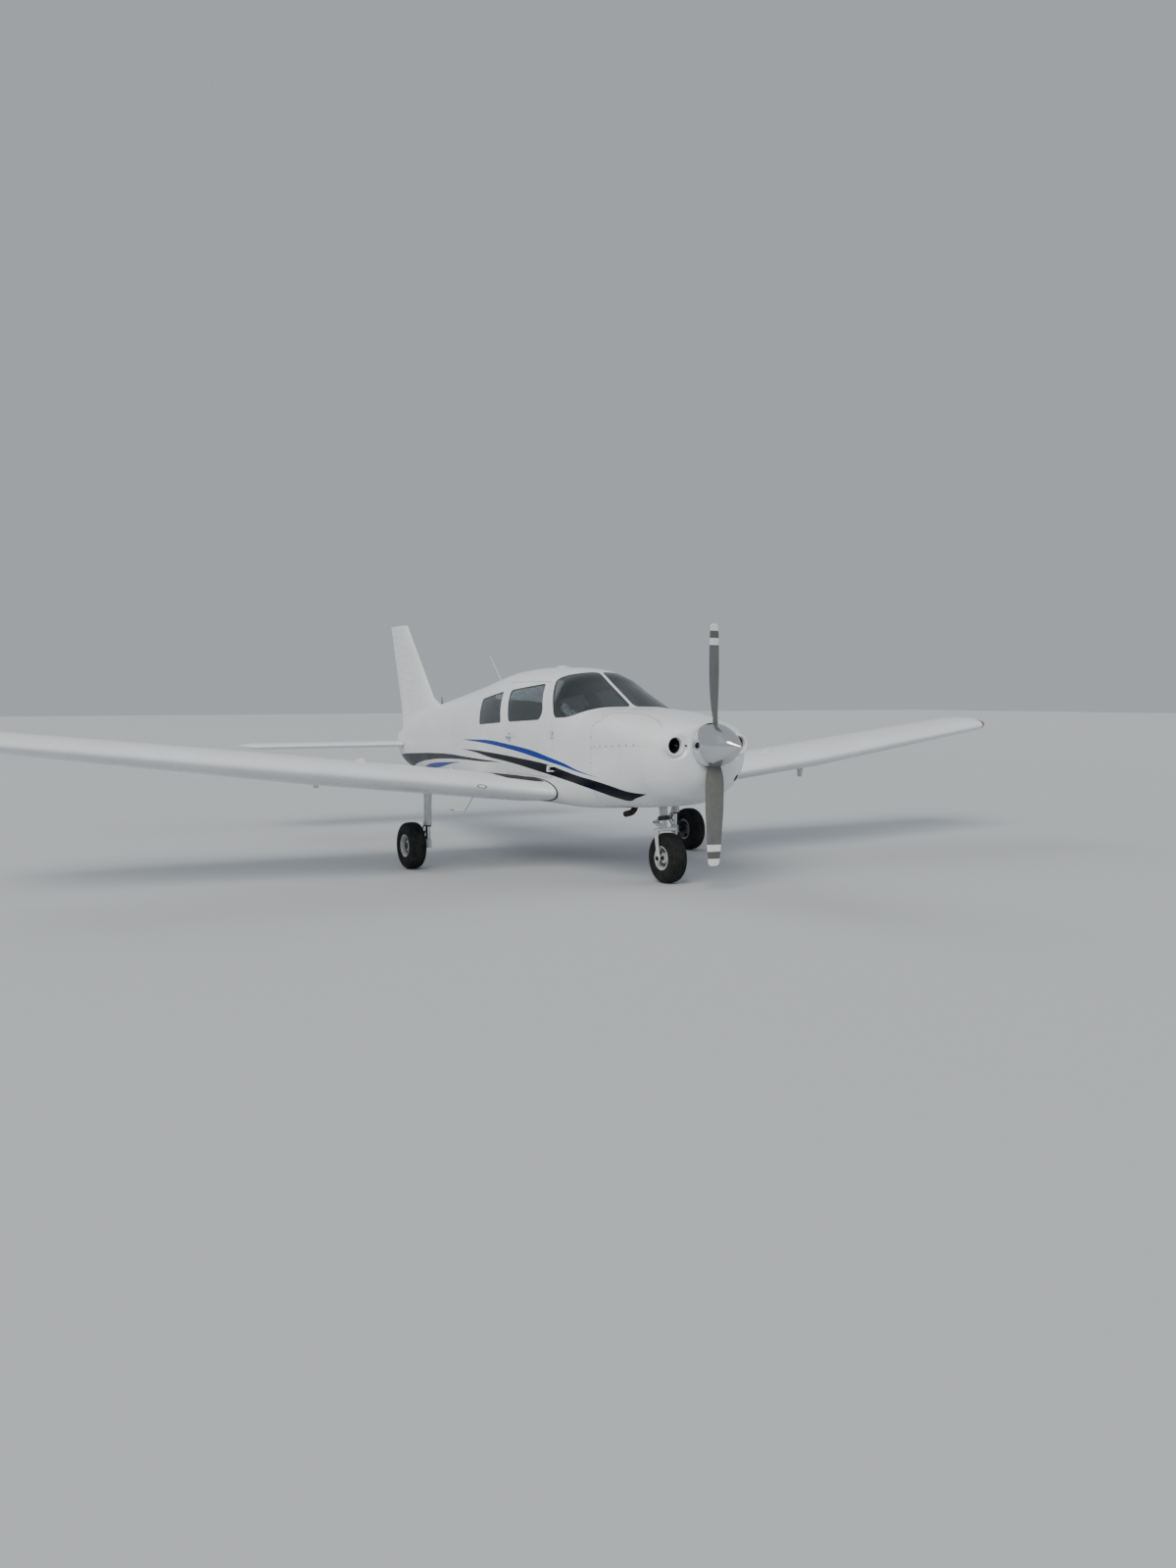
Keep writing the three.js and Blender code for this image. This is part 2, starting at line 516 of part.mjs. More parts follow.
// A hinged surface is cut from a wing or fin along its hinge line. Its nose is round about the line,
// and the bay that it leaves is round too, so the gap stays the same as it turns.
function hingedSurface(whole, hinge) {
  const from = v3(...hinge.from);
  const along = v3(...hinge.to).sub(from);
  const length = along.length();
  along.normalize();
  const forward = v3(1, 0, 0).addScaledVector(along, -along.x).normalize();
  const up = v3().crossVectors(forward, along);
  const place = new THREE.Matrix4().makeBasis(forward, along, up).setPosition(from);
  const region = (radial, ends) => {
    const bay = new THREE.BoxGeometry(700, length + 2 * ends, 500);
    bay.translate(-350, length / 2, 0);
    const [near, far] = hinge.nose.map((radius) => radius + radial);
    const nose = new THREE.CylinderGeometry(far, near, length + 2 * ends, 18);
    nose.translate(0, length / 2, 0);
    return toSolid(bay.applyMatrix4(place)).add(toSolid(nose.applyMatrix4(place)));
  };
  const point = (distance) => from.clone().addScaledVector(along, distance);
  const pins = (extra) => joined(...[[-END_GAP - 4, 1], [length + END_GAP + 4, -1]].map(([start, way]) => bar(
    point(start), point(start + way * (PIN.length + extra)), PIN.radius + extra, undefined, 12,
  )));
  return {
    surface: whole.intersect(region(0, 0)).subtract(pins(PIN.clearance)),
    fixed: whole.subtract(region(SURFACE_GAP, END_GAP)).add(pins(0)),
  };
}

// A square socket pad under the wing carries the leg; small bosses carry the tie-down pads.
const LEG_SOCKET_DEPTH = 60;
const PAD = { x: 760, y: 2440, radius: 22, depth: 26 };
function buildWings(bodyOutline) {
  const whole = loft(WING.map(wingRing), ['x', 'z']).subtract(bodyOutline).subtract(mirroredInY(bodyOutline));
  const flap = hingedSurface(whole, wingHinge(FLAP));
  const aileron = hingedSurface(flap.fixed, wingHinge(AILERON));
  let wing = aileron.fixed;
  const legTop = v3(MAIN_WHEEL.x, MAIN_STRUT_Y, WING_UNDERSIDE_AT_LEG + LEG_SOCKET_DEPTH);
  const legFoot = v3(MAIN_WHEEL.x, MAIN_STRUT_Y, WING_UNDERSIDE_AT_LEG - 100);
  wing = wing.subtract(bar(legFoot, legTop, STRUT_RADIUS + GAP, undefined, 20));
  wing = wing.add(bar(v3(PAD.x, PAD.y, 800 - PAD.depth), v3(PAD.x, PAD.y, 880), PAD.radius, undefined, 16));
  const pieces = { wing, flap: flap.surface, aileron: aileron.surface };
  for (const [name, solid] of Object.entries(pieces)) {
    addPainted(`${name}_left`, solid);
    addPainted(`${name}_right`, mirroredInY(solid));
  }
}

// Fin and rudder sections. Columns: z, leading edge x, trailing edge x, thickness share.
const FIN = [
  [1050, -1900, -3252, 0.075], [1467, -2138, -3335, 0.085], [1545, -2338, -3361, 0.09],
  [2365, -3086, -3638, 0.09], [2400, -3112, -3650, 0.08], [2416, -3150, -3654, 0.05],
];
function buildFin(bodyOutline) {
  const rings = FIN.map(([z, noseX, tailX, thickness]) => section(thickness, 0)
    .map(([s, h]) => v3(noseX - s * (noseX - tailX), h * (noseX - tailX), z)));
  const whole = loft(rings, ['x', 'y']);
  const { surface, fixed } = hingedSurface(whole, RUDDER);
  const belowRudder = block(-3700, TAIL_SHELF.x + 2, -200, 200, 1000, TAIL_SHELF.z + 12);
  const { at, eye, eyeHeight, notch, notchHeight, pin, pinHeight, arm } = RUDDER_BRACKET;
  const onHinge = (radius, height) => bar(
    rudderHingePoint(at - height / 2), rudderHingePoint(at + height / 2), radius,
  );
  const armEnd = rudderHingePoint(at).add(v3(arm, 0, 0));
  const bracket = joined(onHinge(eye, eyeHeight), onHinge(pin, pinHeight), bar(rudderHingePoint(at), armEnd, 6));
  addPainted('fin', fixed.subtract(bodyOutline).subtract(belowRudder).add(bracket));
  addPainted('rudder', surface.subtract(belowRudder).subtract(onHinge(notch, notchHeight))
    .subtract(onHinge(pin + PIN.clearance, pinHeight + 4)));
}

// The tail plane turns as a whole on a cross tube through the tail cone, and carries a trim tab.
function buildStabilator() {
  // Sections on one side. Columns: y, leading edge x, trailing edge x, thickness share.
  const half = [
    [0, -2918, TAIL_X, 0.1], [1860, -2918, TAIL_X, 0.1], [1930, -2942, TAIL_X + 10, 0.08],
    [STABILATOR.halfSpan, -3010, TAIL_X + 54, 0.03],
  ];
  const outline = [...half.slice(1).reverse().map(([y, ...rest]) => [-y, ...rest]), ...half];
  const plane = loft(outline.map(([y, noseX, tailX, thickness]) => section(thickness, 0)
    .map(([s, h]) => v3(noseX - s * (noseX - tailX), y, STABILATOR.z + h * (noseX - tailX)))), ['x', 'z']);
  const notch = topPlate([[-2800, 160], [-2918, 152], [-3250, 96], [-3400, 48], [-3400, -48], [-3250, -96],
    [-2918, -152], [-2800, -160]], 800, 1200);
  const tube = bar(
    v3(STABILATOR.pivotX, -170, STABILATOR.z), v3(STABILATOR.pivotX, 170, STABILATOR.z),
    STABILATOR.tubeRadius, undefined, 20,
  );
  const tab = block(TAIL_X, -3540, -960, 960, 900, 1100);
  const tabBay = block(TAIL_X - 10, -3540 + GAP, -960 - GAP, 960 + GAP, 900, 1100);
  addPainted('stabilator', plane.subtract(notch).add(tube).subtract(tabBay));
  addPainted('trim_tab', plane.intersect(tab));
}

// Wheels: the tyre is a ring with a round tread; the rim has two flanges, a web and a hub.
function buildWheel(name, x, y) {
  const [w, r] = [TYRE.width / 2, TYRE.radius];
  const tyre = turnedOnY([
    [RIM_RADIUS - 12, -w + 26], [RIM_RADIUS + 34, -w], [r - 38, -w + 4], [r - 8, -w + 26], [r, -w + 52],
    [r, w - 52], [r - 8, w - 26], [r - 38, w - 4], [RIM_RADIUS + 34, w], [RIM_RADIUS - 12, w - 26],
  ], x, y, AXLE_Z);
  const inner = RIM_RADIUS - 12 - GAP * 2;
  const flange = w - 26 + 2;
  const rim = turnedOnY([
    [AXLE_RADIUS + PIN.clearance, -flange + 12], [40, -flange + 12], [inner - 10, -flange],
    [inner, -flange], [inner, flange], [inner - 10, flange], [40, flange - 12],
    [AXLE_RADIUS + PIN.clearance, flange - 12],
  ], x, y, AXLE_Z);
  addPiece(`${name}_tyre`, tyre, PAINT.black, 0.85, 0);
  addPiece(`${name}_rim`, rim, 0xc9cccc, 0.4, 0.4);
}

// A main leg: shock strut in a socket under the wing, piston, scissor links, brake and axle.
const WING_UNDERSIDE_AT_LEG = 690;
function buildMainLeg() {
  const [x, y] = [MAIN_WHEEL.x, MAIN_STRUT_Y];
  const socketEnd = WING_UNDERSIDE_AT_LEG + LEG_SOCKET_DEPTH - GAP;
  const strut = bar(v3(x, y, 392), v3(x, y, socketEnd), STRUT_RADIUS, undefined, 20);
  const piston = bar(v3(x, y, AXLE_Z - 20), v3(x, y, 400), PISTON_RADIUS);
  const foot = bar(v3(x, y, AXLE_Z - 30), v3(x, y, AXLE_Z + 46), 34);
  const axle = bar(v3(x, y, AXLE_Z), v3(x, MAIN_WHEEL.y + 52, AXLE_Z), AXLE_RADIUS);
  const inside = MAIN_WHEEL.y - TYRE.width / 2;
  const disc = bar(v3(x, inside - 22, AXLE_Z), v3(x, inside - 14, AXLE_Z), 84, undefined, 24);
  const caliper = block(x - 112, x - 40, inside - 40, inside - 8, AXLE_Z - 8, AXLE_Z + 62);
  const arm = block(x - 100, x, y - 12, y + 40, AXLE_Z - 6, AXLE_Z + 22);
  const links = sidePlate([[x - 20, 440], [x - 20, 404], [x - 96, 318], [x - 22, 262], [x - 22, 232], [x - 122, 318]],
    y - 26, y + 26);
  const leg = joined(strut, piston, foot, axle, disc, caliper, arm, links);
  addPiece('main_leg_left', leg, PAINT.light, 0.4, 0.2);
  addPiece('main_leg_right', mirroredInY(leg), PAINT.light, 0.4, 0.2);
}

// The nose leg: a fixed housing on a bracket, and the steered fork that turns in it.
function buildNoseLeg() {
  const onAxis = (z) => v3(STEER.x - Math.tan(STEER.tilt) * (z - STEER.z), 0, z);
  let housing = bar(onAxis(528), onAxis(800), STRUT_RADIUS + 2, undefined, 20);
  housing = housing.subtract(bar(onAxis(500), onAxis(640), PISTON_RADIUS + PIN.clearance));
  const bracket = block(FIREWALL_X + GAP, onAxis(780).x, -42, 42, 752, 812);
  const brace = sidePlate([[FIREWALL_X + GAP, 752], [FIREWALL_X + GAP, 700], [onAxis(680).x, 690], [onAxis(760).x, 752]], -14, 14);
  addPiece('nose_leg', joined(housing, bracket, brace), PAINT.light, 0.4, 0.2);

  const piston = bar(onAxis(446), onAxis(630), PISTON_RADIUS);
  const collar = bar(onAxis(530), onAxis(562), 54, undefined, 20)
    .subtract(bar(onAxis(520), onAxis(575), STRUT_RADIUS + 2 + PIN.clearance, undefined, 20));
  const links = sidePlate([
    [onAxis(560).x - 44, 562], [onAxis(532).x - 44, 536], [STEER.x - 127, 500], [onAxis(470).x - 16, 466],
    [onAxis(450).x - 16, 446], [STEER.x - 155, 502],
  ], -22, 22);
  const legY = TYRE.width / 2 + 17;
  const crown = block(NOSE_WHEEL_X - 84, NOSE_WHEEL_X - 2, -legY - 7, legY + 7, 436, 464);
  let fork = joined(piston, collar, links, crown);
  for (const side of [-1, 1]) {
    const leg = sidePlate([
      [-82, 460], [-6, 460], [4, 330], [22, 232], [22, 194], [-16, 190], [-30, 214], [-44, 330],
    ].map(([ahead, z]) => [NOSE_WHEEL_X + ahead, z]), side * legY - 7, side * legY + 7);
    fork = fork.add(leg);
  }
  const axle = bar(v3(NOSE_WHEEL_X, -legY - 22, AXLE_Z), v3(NOSE_WHEEL_X, legY + 22, AXLE_Z), AXLE_RADIUS);
  addPiece('nose_fork', fork.add(axle), PAINT.light, 0.4, 0.2);
}

// Seats stand on the cabin floor: two in front, and a bench behind for two.
const LOWEST_Z = 600;
function seat(x, y, halfWidth, cushionZ, backTop) {
  const cushion = sidePlate([[x - 230, cushionZ - 110], [x + 230, cushionZ - 90], [x + 230, cushionZ + 10],
    [x - 210, cushionZ]], y - halfWidth, y + halfWidth, 25);
  const back = sidePlate([[x - 240, cushionZ - 60], [x - 150, cushionZ - 20], [x - 240, backTop],
    [x - 320, backTop - 10]], y - halfWidth + 10, y + halfWidth - 10, 25);
  const legs = [-1, 1].map((side) => block(x - 190, x + 190, y + side * (halfWidth - 60) - 12,
    y + side * (halfWidth - 60) + 12, LOWEST_Z, cushionZ - 60));
  return joined(cushion, back, ...legs);
}

function buildInterior() {
  const roomy = hull(
    CABIN_REAR_X + 20, FIREWALL_X - 20, CABIN_WALL + GAP * 2, FLOOR_DEPTH + GAP * 2, INNER_RING_POINTS,
  );
  addPiece('front_seat_left', seat(1400, 262, 215, 960, 1500).intersect(roomy), 0x3a3c3f, 0.8, 0);
  addPiece('front_seat_right', seat(1400, -262, 215, 960, 1500).intersect(roomy), 0x3a3c3f, 0.8, 0);
  addPiece('rear_bench', seat(470, 0, 440, 950, 1460).intersect(roomy), 0x3a3c3f, 0.8, 0);

  const panelX = 1830;
  let panel = block(panelX, panelX + 16, -600, 600, 930, 1390).add(sidePlate([
    [panelX - 40, 1376], [panelX + 150, 1410], [panelX + 150, 1392], [panelX - 40, 1356],
  ], -600, 600)).intersect(roomy);
  for (const y of [-262, 262]) {
    panel = panel.add(bar(v3(panelX - 180, y, 1130), v3(panelX + 8, y, 1130), 12, undefined, 10));
    panel = panel.add(block(panelX - 196, panelX - 168, y - 130, y + 130, 1112, 1148));
    for (const side of [-1, 1]) {
      panel = panel.add(block(panelX - 196, panelX - 168, y + side * 118 - 14, y + side * 118 + 14, 1120, 1220));
    }
  }
  addPiece('instrument_panel', panel, PAINT.black, 0.6, 0);
}

// Small outside pieces: exhaust pipe, boarding step and antennas.
function buildFittings() {
  const exhaust = bentTube([v3(2452, -205, ENGINE.z0 + ENGINE.step - GAP), v3(2452, -205, 760), v3(2444, -205, 650),
    v3(2390, -205, 592), v3(2286, -205, 566)], 27, 14);
  addPiece('exhaust_pipe', exhaust, 0x6a5f55, 0.6, 0.7);

  const stepTop = v3(-400, -306, 700);
  const stepFoot = v3(-552, -430, 392);
  const step = bar(stepTop, stepFoot, 13).add(bar(stepFoot, v3(-800, -430, 372), 10))
    .add(block(-860, -780, -480, -370, 362, 376));
  addPiece('boarding_step', step.subtract(hull(-1000, -100, -GAP)), PAINT.white, 0.4, 0.2);

  const whip = bar(v3(-508, 0, 1690), v3(-812, 0, 1985), 5, 2.5, 8)
    .add(bar(v3(-508, 0, 1690), v3(-508, 0, 1722), 22, 12, 12));
  addPiece('whip_antenna', whip.subtract(hull(-1000, -100, -GAP)), PAINT.white, 0.5, 0);
  const stub = bar(v3(-2098, 0, 1450), v3(-2104, 0, 1556), 7, 4, 8);
  addPiece('stub_antenna', stub.subtract(hull(-2400, -1900, -GAP)), PAINT.black, 0.5, 0);
  const dome = lowDome(v3(792, 0, 1838), 62, 24);
  addPiece('roof_antenna', dome.subtract(hull(300, 1300, -GAP)), PAINT.white, 0.5, 0);
}

// A low round dome, such as an antenna puck.
function lowDome(base, radius, height) {
  const geometry = turned([[0, 0], [radius, 0], [radius, height * 0.4], [radius * 0.8, height * 0.85], [0, height]], 20);
  geometry.rotateX(Math.PI / 2);
  geometry.translate(base.x, base.y, base.z);
  return toSolid(geometry);
}

const bodyOutline = hull(-3378, FIREWALL_X, -GAP);
buildCabin();
buildTailCone();
buildCowl();
buildEngine();
buildPropeller();
buildWings(bodyOutline);
buildFin(bodyOutline);
buildStabilator();
buildWheel('nose', NOSE_WHEEL_X, 0);
buildWheel('main_left', MAIN_WHEEL.x, MAIN_WHEEL.y);
buildWheel('main_right', MAIN_WHEEL.x, -MAIN_WHEEL.y);
buildMainLeg();
buildNoseLeg();
buildInterior();
buildFittings();

export default aircraft;
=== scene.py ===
import math

import bpy
import numpy as np
from mathutils import Matrix, Vector
from mathutils.geometry import delaunay_2d_cdt


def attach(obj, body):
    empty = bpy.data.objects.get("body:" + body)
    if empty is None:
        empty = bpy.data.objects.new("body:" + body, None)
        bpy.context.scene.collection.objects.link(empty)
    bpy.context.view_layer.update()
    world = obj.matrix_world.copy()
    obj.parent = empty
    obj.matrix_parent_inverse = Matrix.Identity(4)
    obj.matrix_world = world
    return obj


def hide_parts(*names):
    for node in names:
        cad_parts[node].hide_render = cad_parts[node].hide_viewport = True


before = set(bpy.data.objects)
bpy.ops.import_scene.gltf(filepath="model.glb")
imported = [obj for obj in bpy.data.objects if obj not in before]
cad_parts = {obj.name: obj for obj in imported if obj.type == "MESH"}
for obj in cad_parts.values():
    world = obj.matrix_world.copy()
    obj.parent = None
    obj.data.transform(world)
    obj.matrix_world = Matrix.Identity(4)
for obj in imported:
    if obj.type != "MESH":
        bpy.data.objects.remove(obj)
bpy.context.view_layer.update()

# The view: a camera at head height ahead of the right wing tip, looking back at the aircraft.
# The lens and the place are the photograph's; the image is 1200 x 1600, so its height is the long side.
IMAGE_HEIGHT = 1600
FOCAL_PIXELS = 1359
VIEW_TURN = math.radians(60.3)
VIEW_DIP = math.radians(-3.87)
camera_data = bpy.data.cameras.new("view")
camera_data.sensor_width = 36
camera_data.lens = camera_data.sensor_width * FOCAL_PIXELS / IMAGE_HEIGHT
camera = bpy.data.objects.new("view", camera_data)
camera.location = (12.002, -6.12, 1.593)
view_direction = Vector((
    -math.sin(VIEW_TURN) * math.cos(VIEW_DIP), math.cos(VIEW_TURN) * math.cos(VIEW_DIP), math.sin(VIEW_DIP),
))
camera.rotation_euler = view_direction.to_track_quat("-Z", "Y").to_euler()
bpy.context.scene.collection.objects.link(camera)
bpy.context.scene.camera = camera

# Cabin skin. A shell of thin aluminium sheet over frames, riveted and sprayed with white two-pack paint.
# The door, the windows and the two windshield halves are cut in it. Its sections are rounded squares.
# Columns: station x, lowest z, highest z, height of the greatest width, half width, squareness above, below.
HULL = np.array([
    [3.237, .770, 1.368, 1.172, .452, 2.3, 2.3], [2.950, .715, 1.410, 1.160, .516, 2.7, 2.8],
    [2.742, .660, 1.436, 1.155, .550, 3.2, 3.4], [2.332, .622, 1.466, 1.150, .583, 3.4, 4.3],
    [2.072, .605, 1.480, 1.150, .585, 3.2, 6.4], [1.892, .602, 1.578, 1.150, .583, 2.9, 7.6],
    [1.692, .602, 1.686, 1.150, .580, 2.7, 8.0], [1.492, .602, 1.788, 1.150, .576, 2.6, 8.0],
    [1.242, .602, 1.832, 1.150, .571, 2.5, 8.0], [0.792, .602, 1.845, 1.150, .562, 2.5, 7.6],
    [0.292, .605, 1.825, 1.150, .540, 2.4, 6.0], [-.158, .613, 1.765, 1.145, .500, 2.3, 4.8],
    [-.508, .622, 1.706, 1.140, .455, 2.2, 4.0], [-1.208, .650, 1.600, 1.110, .362, 2.1, 3.0],
    [-2.138, .692, 1.462, 1.070, .240, 2.0, 2.5], [-2.908, .724, 1.330, 1.035, .140, 2.0, 2.2],
    [-3.158, .790, 1.240, 1.030, .104, 2.0, 2.2], [-3.318, .885, 1.150, 1.025, .066, 2.0, 2.0],
    [-3.378, .965, 1.095, 1.025, .030, 2.0, 2.0],
])[::-1]
CREASE_X = 2.072
GIRTH = 0.55
FIREWALL_X = 2.332
CABIN_REAR_X = -0.508
DOOR_OUTLINE = [
    (1.654, .855), (1.654, 1.266), (1.566, 1.372), (1.302, 1.705), (.420, 1.705), (.648, 1.325),
    (.664, 1.200), (.684, .855),
]
FRONT_WINDOW = [(.592, 1.630), (1.236, 1.690), (1.412, 1.440), (1.372, 1.360), (.722, 1.330)]
REAR_WINDOW = [(-.098, 1.544), (.424, 1.618), (.548, 1.320), (-.008, 1.290)]
DOOR_CORNER, FRONT_CORNER, REAR_CORNER = .02, .045, .028  # how far before a corner its curve starts
WINDSHIELD_SIDE = [
    (1.347, 1.722), (1.650, 1.380), (1.842, 1.386), (1.952, 1.408), (2.012, 1.434), (2.050, 1.458),
]
POST_HALF_WIDTH = 0.016


def smooth_curve(at, values, x):
    """A smooth curve through a short table that never overshoots it."""
    gap = np.diff(at)
    rise = np.diff(values) / gap
    slope = np.concatenate([rise[:1], np.zeros(len(rise) - 1), rise[-1:]])
    same = rise[:-1] * rise[1:] > 0
    w1, w2 = 2 * gap[1:] + gap[:-1], gap[1:] + 2 * gap[:-1]
    with np.errstate(divide="ignore", invalid="ignore"):
        slope[1:-1] = np.where(same, (w1 + w2) / (w1 / rise[:-1] + w2 / rise[1:]), 0)
    i = np.clip(np.searchsorted(at, x) - 1, 0, len(gap) - 1)
    t = (x - at[i]) / gap[i]
    return (
        values[i] * (1 + 2 * t) * (1 - t) ** 2 + values[i + 1] * t * t * (3 - 2 * t)
        + gap[i] * t * (1 - t) * (slope[i] * (1 - t) - slope[i + 1] * t)
    )


def hull_section(x):
    columns = [smooth_curve(HULL[:, 0], HULL[:, i], x) for i in range(1, 7)]
    rear, front = HULL[HULL[:, 0] <= CREASE_X], HULL[HULL[:, 0] >= CREASE_X]
    columns[1] = np.where(
        x > CREASE_X, smooth_curve(front[:, 0], front[:, 2], x), smooth_curve(rear[:, 0], rear[:, 2], x),
    )
    return columns


def hull_place(pairs):
    """Points of the skin for (station, girth) pairs; the girth runs from the left waist over the roof."""
    x, turn = pairs[..., 0], pairs[..., 1] / GIRTH
    low, high, waist, half, up, down = hull_section(x)
    c, s = np.cos(turn), np.sin(turn)
    power, reach = np.where(s > 0, up, down), np.where(s > 0, high - waist, waist - low)
    radius = (np.abs(c) ** power + np.abs(s) ** power) ** (-1 / power)
    return np.stack([x, half * radius * c, waist + reach * radius * s], -1)


def girth_at(x, z):
    """The girth of the left-side skin point that is seen at (x, z) from the side."""
    low, high, waist, half, up, down = hull_section(x)
    share = np.clip((z - waist) / np.where(z > waist, high - waist, waist - low), -1, 1)
    power = np.where(z > waist, up, down)
    return GIRTH * np.arctan2(share, (1 - np.abs(share) ** power) ** (1 / power))


def roof_girth(x, y):
    """The girth of the upper skin point that is y to the left of the middle."""
    low, high, waist, half, up, down = hull_section(x)
    return GIRTH * np.arctan2((1 - (y / half) ** up) ** (1 / up), y / half)


def rounded(loop, radius, steps=6):
    """The loop with each corner turned into a short curve that starts `radius` before it."""
    loop = np.array(loop, float)
    points = []
    for i, corner in enumerate(loop):
        before, after = loop[i - 1] - corner, loop[(i + 1) % len(loop)] - corner
        a = corner + before * min(.45, radius / np.linalg.norm(before))
        b = corner + after * min(.45, radius / np.linalg.norm(after))
        for t in np.linspace(0, 1, steps):
            points.append(a * (1 - t) ** 2 + corner * 2 * t * (1 - t) + b * t * t)
    return np.array(points)


def moved_out(loop, distance):
    """The loop moved outwards by a distance, or inwards when it is negative."""
    loop = np.array(loop, float)
    ahead, behind = np.roll(loop, -1, 0) - loop, loop - np.roll(loop, 1, 0)
    area = np.sum(loop[:, 0] * np.roll(loop[:, 1], -1) - np.roll(loop[:, 0], -1) * loop[:, 1])
    normal = [np.stack([v[:, 1], -v[:, 0]], -1) / np.linalg.norm(v, axis=1)[:, None] for v in (ahead, behind)]
    total = normal[0] + normal[1]
    return loop + np.sign(area) * distance * total / (1 + np.sum(normal[0] * normal[1], 1))[:, None]


def spaced(loop, step):
    """The closed loop with points added so that none of its sides is longer than `step`."""
    points = []
    for a, b in zip(loop, np.roll(loop, -1, 0)):
        count = max(1, math.ceil(np.linalg.norm(b - a) / step))
        points += [a + (b - a) * i / count for i in range(count)]
    return np.array(points)


def inside(points, loop):
    """Which points lie inside a closed loop."""
    result = np.zeros(len(points), bool)
    for a, b in zip(loop, np.roll(loop, -1, 0)):
        crosses = (a[1] > points[:, 1]) != (b[1] > points[:, 1])
        with np.errstate(divide="ignore", invalid="ignore"):
            result ^= crosses & (points[:, 0] < a[0] + (points[:, 1] - a[1]) * (b[0] - a[0]) / (b[1] - a[1]))
    return result


def add_object(name, verts, faces, uv=None, smooth_normals=None, sharp_angle=40):
    """A mesh object. `uv` is one pair for each face corner; `smooth_normals` gives the corner normals of the
    first faces, so a sheet is lit as the smooth surface that it lies on."""
    mesh = bpy.data.meshes.new(name)
    mesh.from_pydata(np.asarray(verts).tolist(), [], [list(map(int, f)) for f in faces])
    mesh.update()
    mesh.polygons.foreach_set("use_smooth", [True] * len(mesh.polygons))
    mesh.set_sharp_from_angle(angle=math.radians(sharp_angle))
    if uv is not None:
        layer = mesh.uv_layers.new(name="sheet")
        layer.data.foreach_set("uv", np.asarray(uv, np.float32).ravel())
    if smooth_normals is not None:
        corners = np.zeros(len(mesh.loops) * 3, np.float32)
        mesh.corner_normals.foreach_get("vector", corners)
        corners = corners.reshape(-1, 3)
        corners[:len(smooth_normals)] = smooth_normals
        mesh.normals_split_custom_set(corners.tolist())
    obj = bpy.data.objects.new(name, mesh)
    bpy.context.scene.collection.objects.link(obj)
    return obj


def box(x0, y0, x1, y1):
    """The four corners of an upright rectangle, in order round it."""
    return [(x0, y0), (x1, y0), (x1, y1), (x0, y1)]


def skin_normal(place, pairs):
    """The outward directions of a skin at (length, girth) pairs."""
    tiny = 1e-4
    along, across = [place(pairs + d) - place(pairs - d) for d in (np.array([tiny, 0]), np.array([0, tiny]))]
    normal = np.cross(across, along)
    return normal / np.maximum(np.linalg.norm(normal, axis=-1, keepdims=True), 1e-12)


SLIVER_AREA = 1e-8  # faces below this lie along a straight edge and are left out


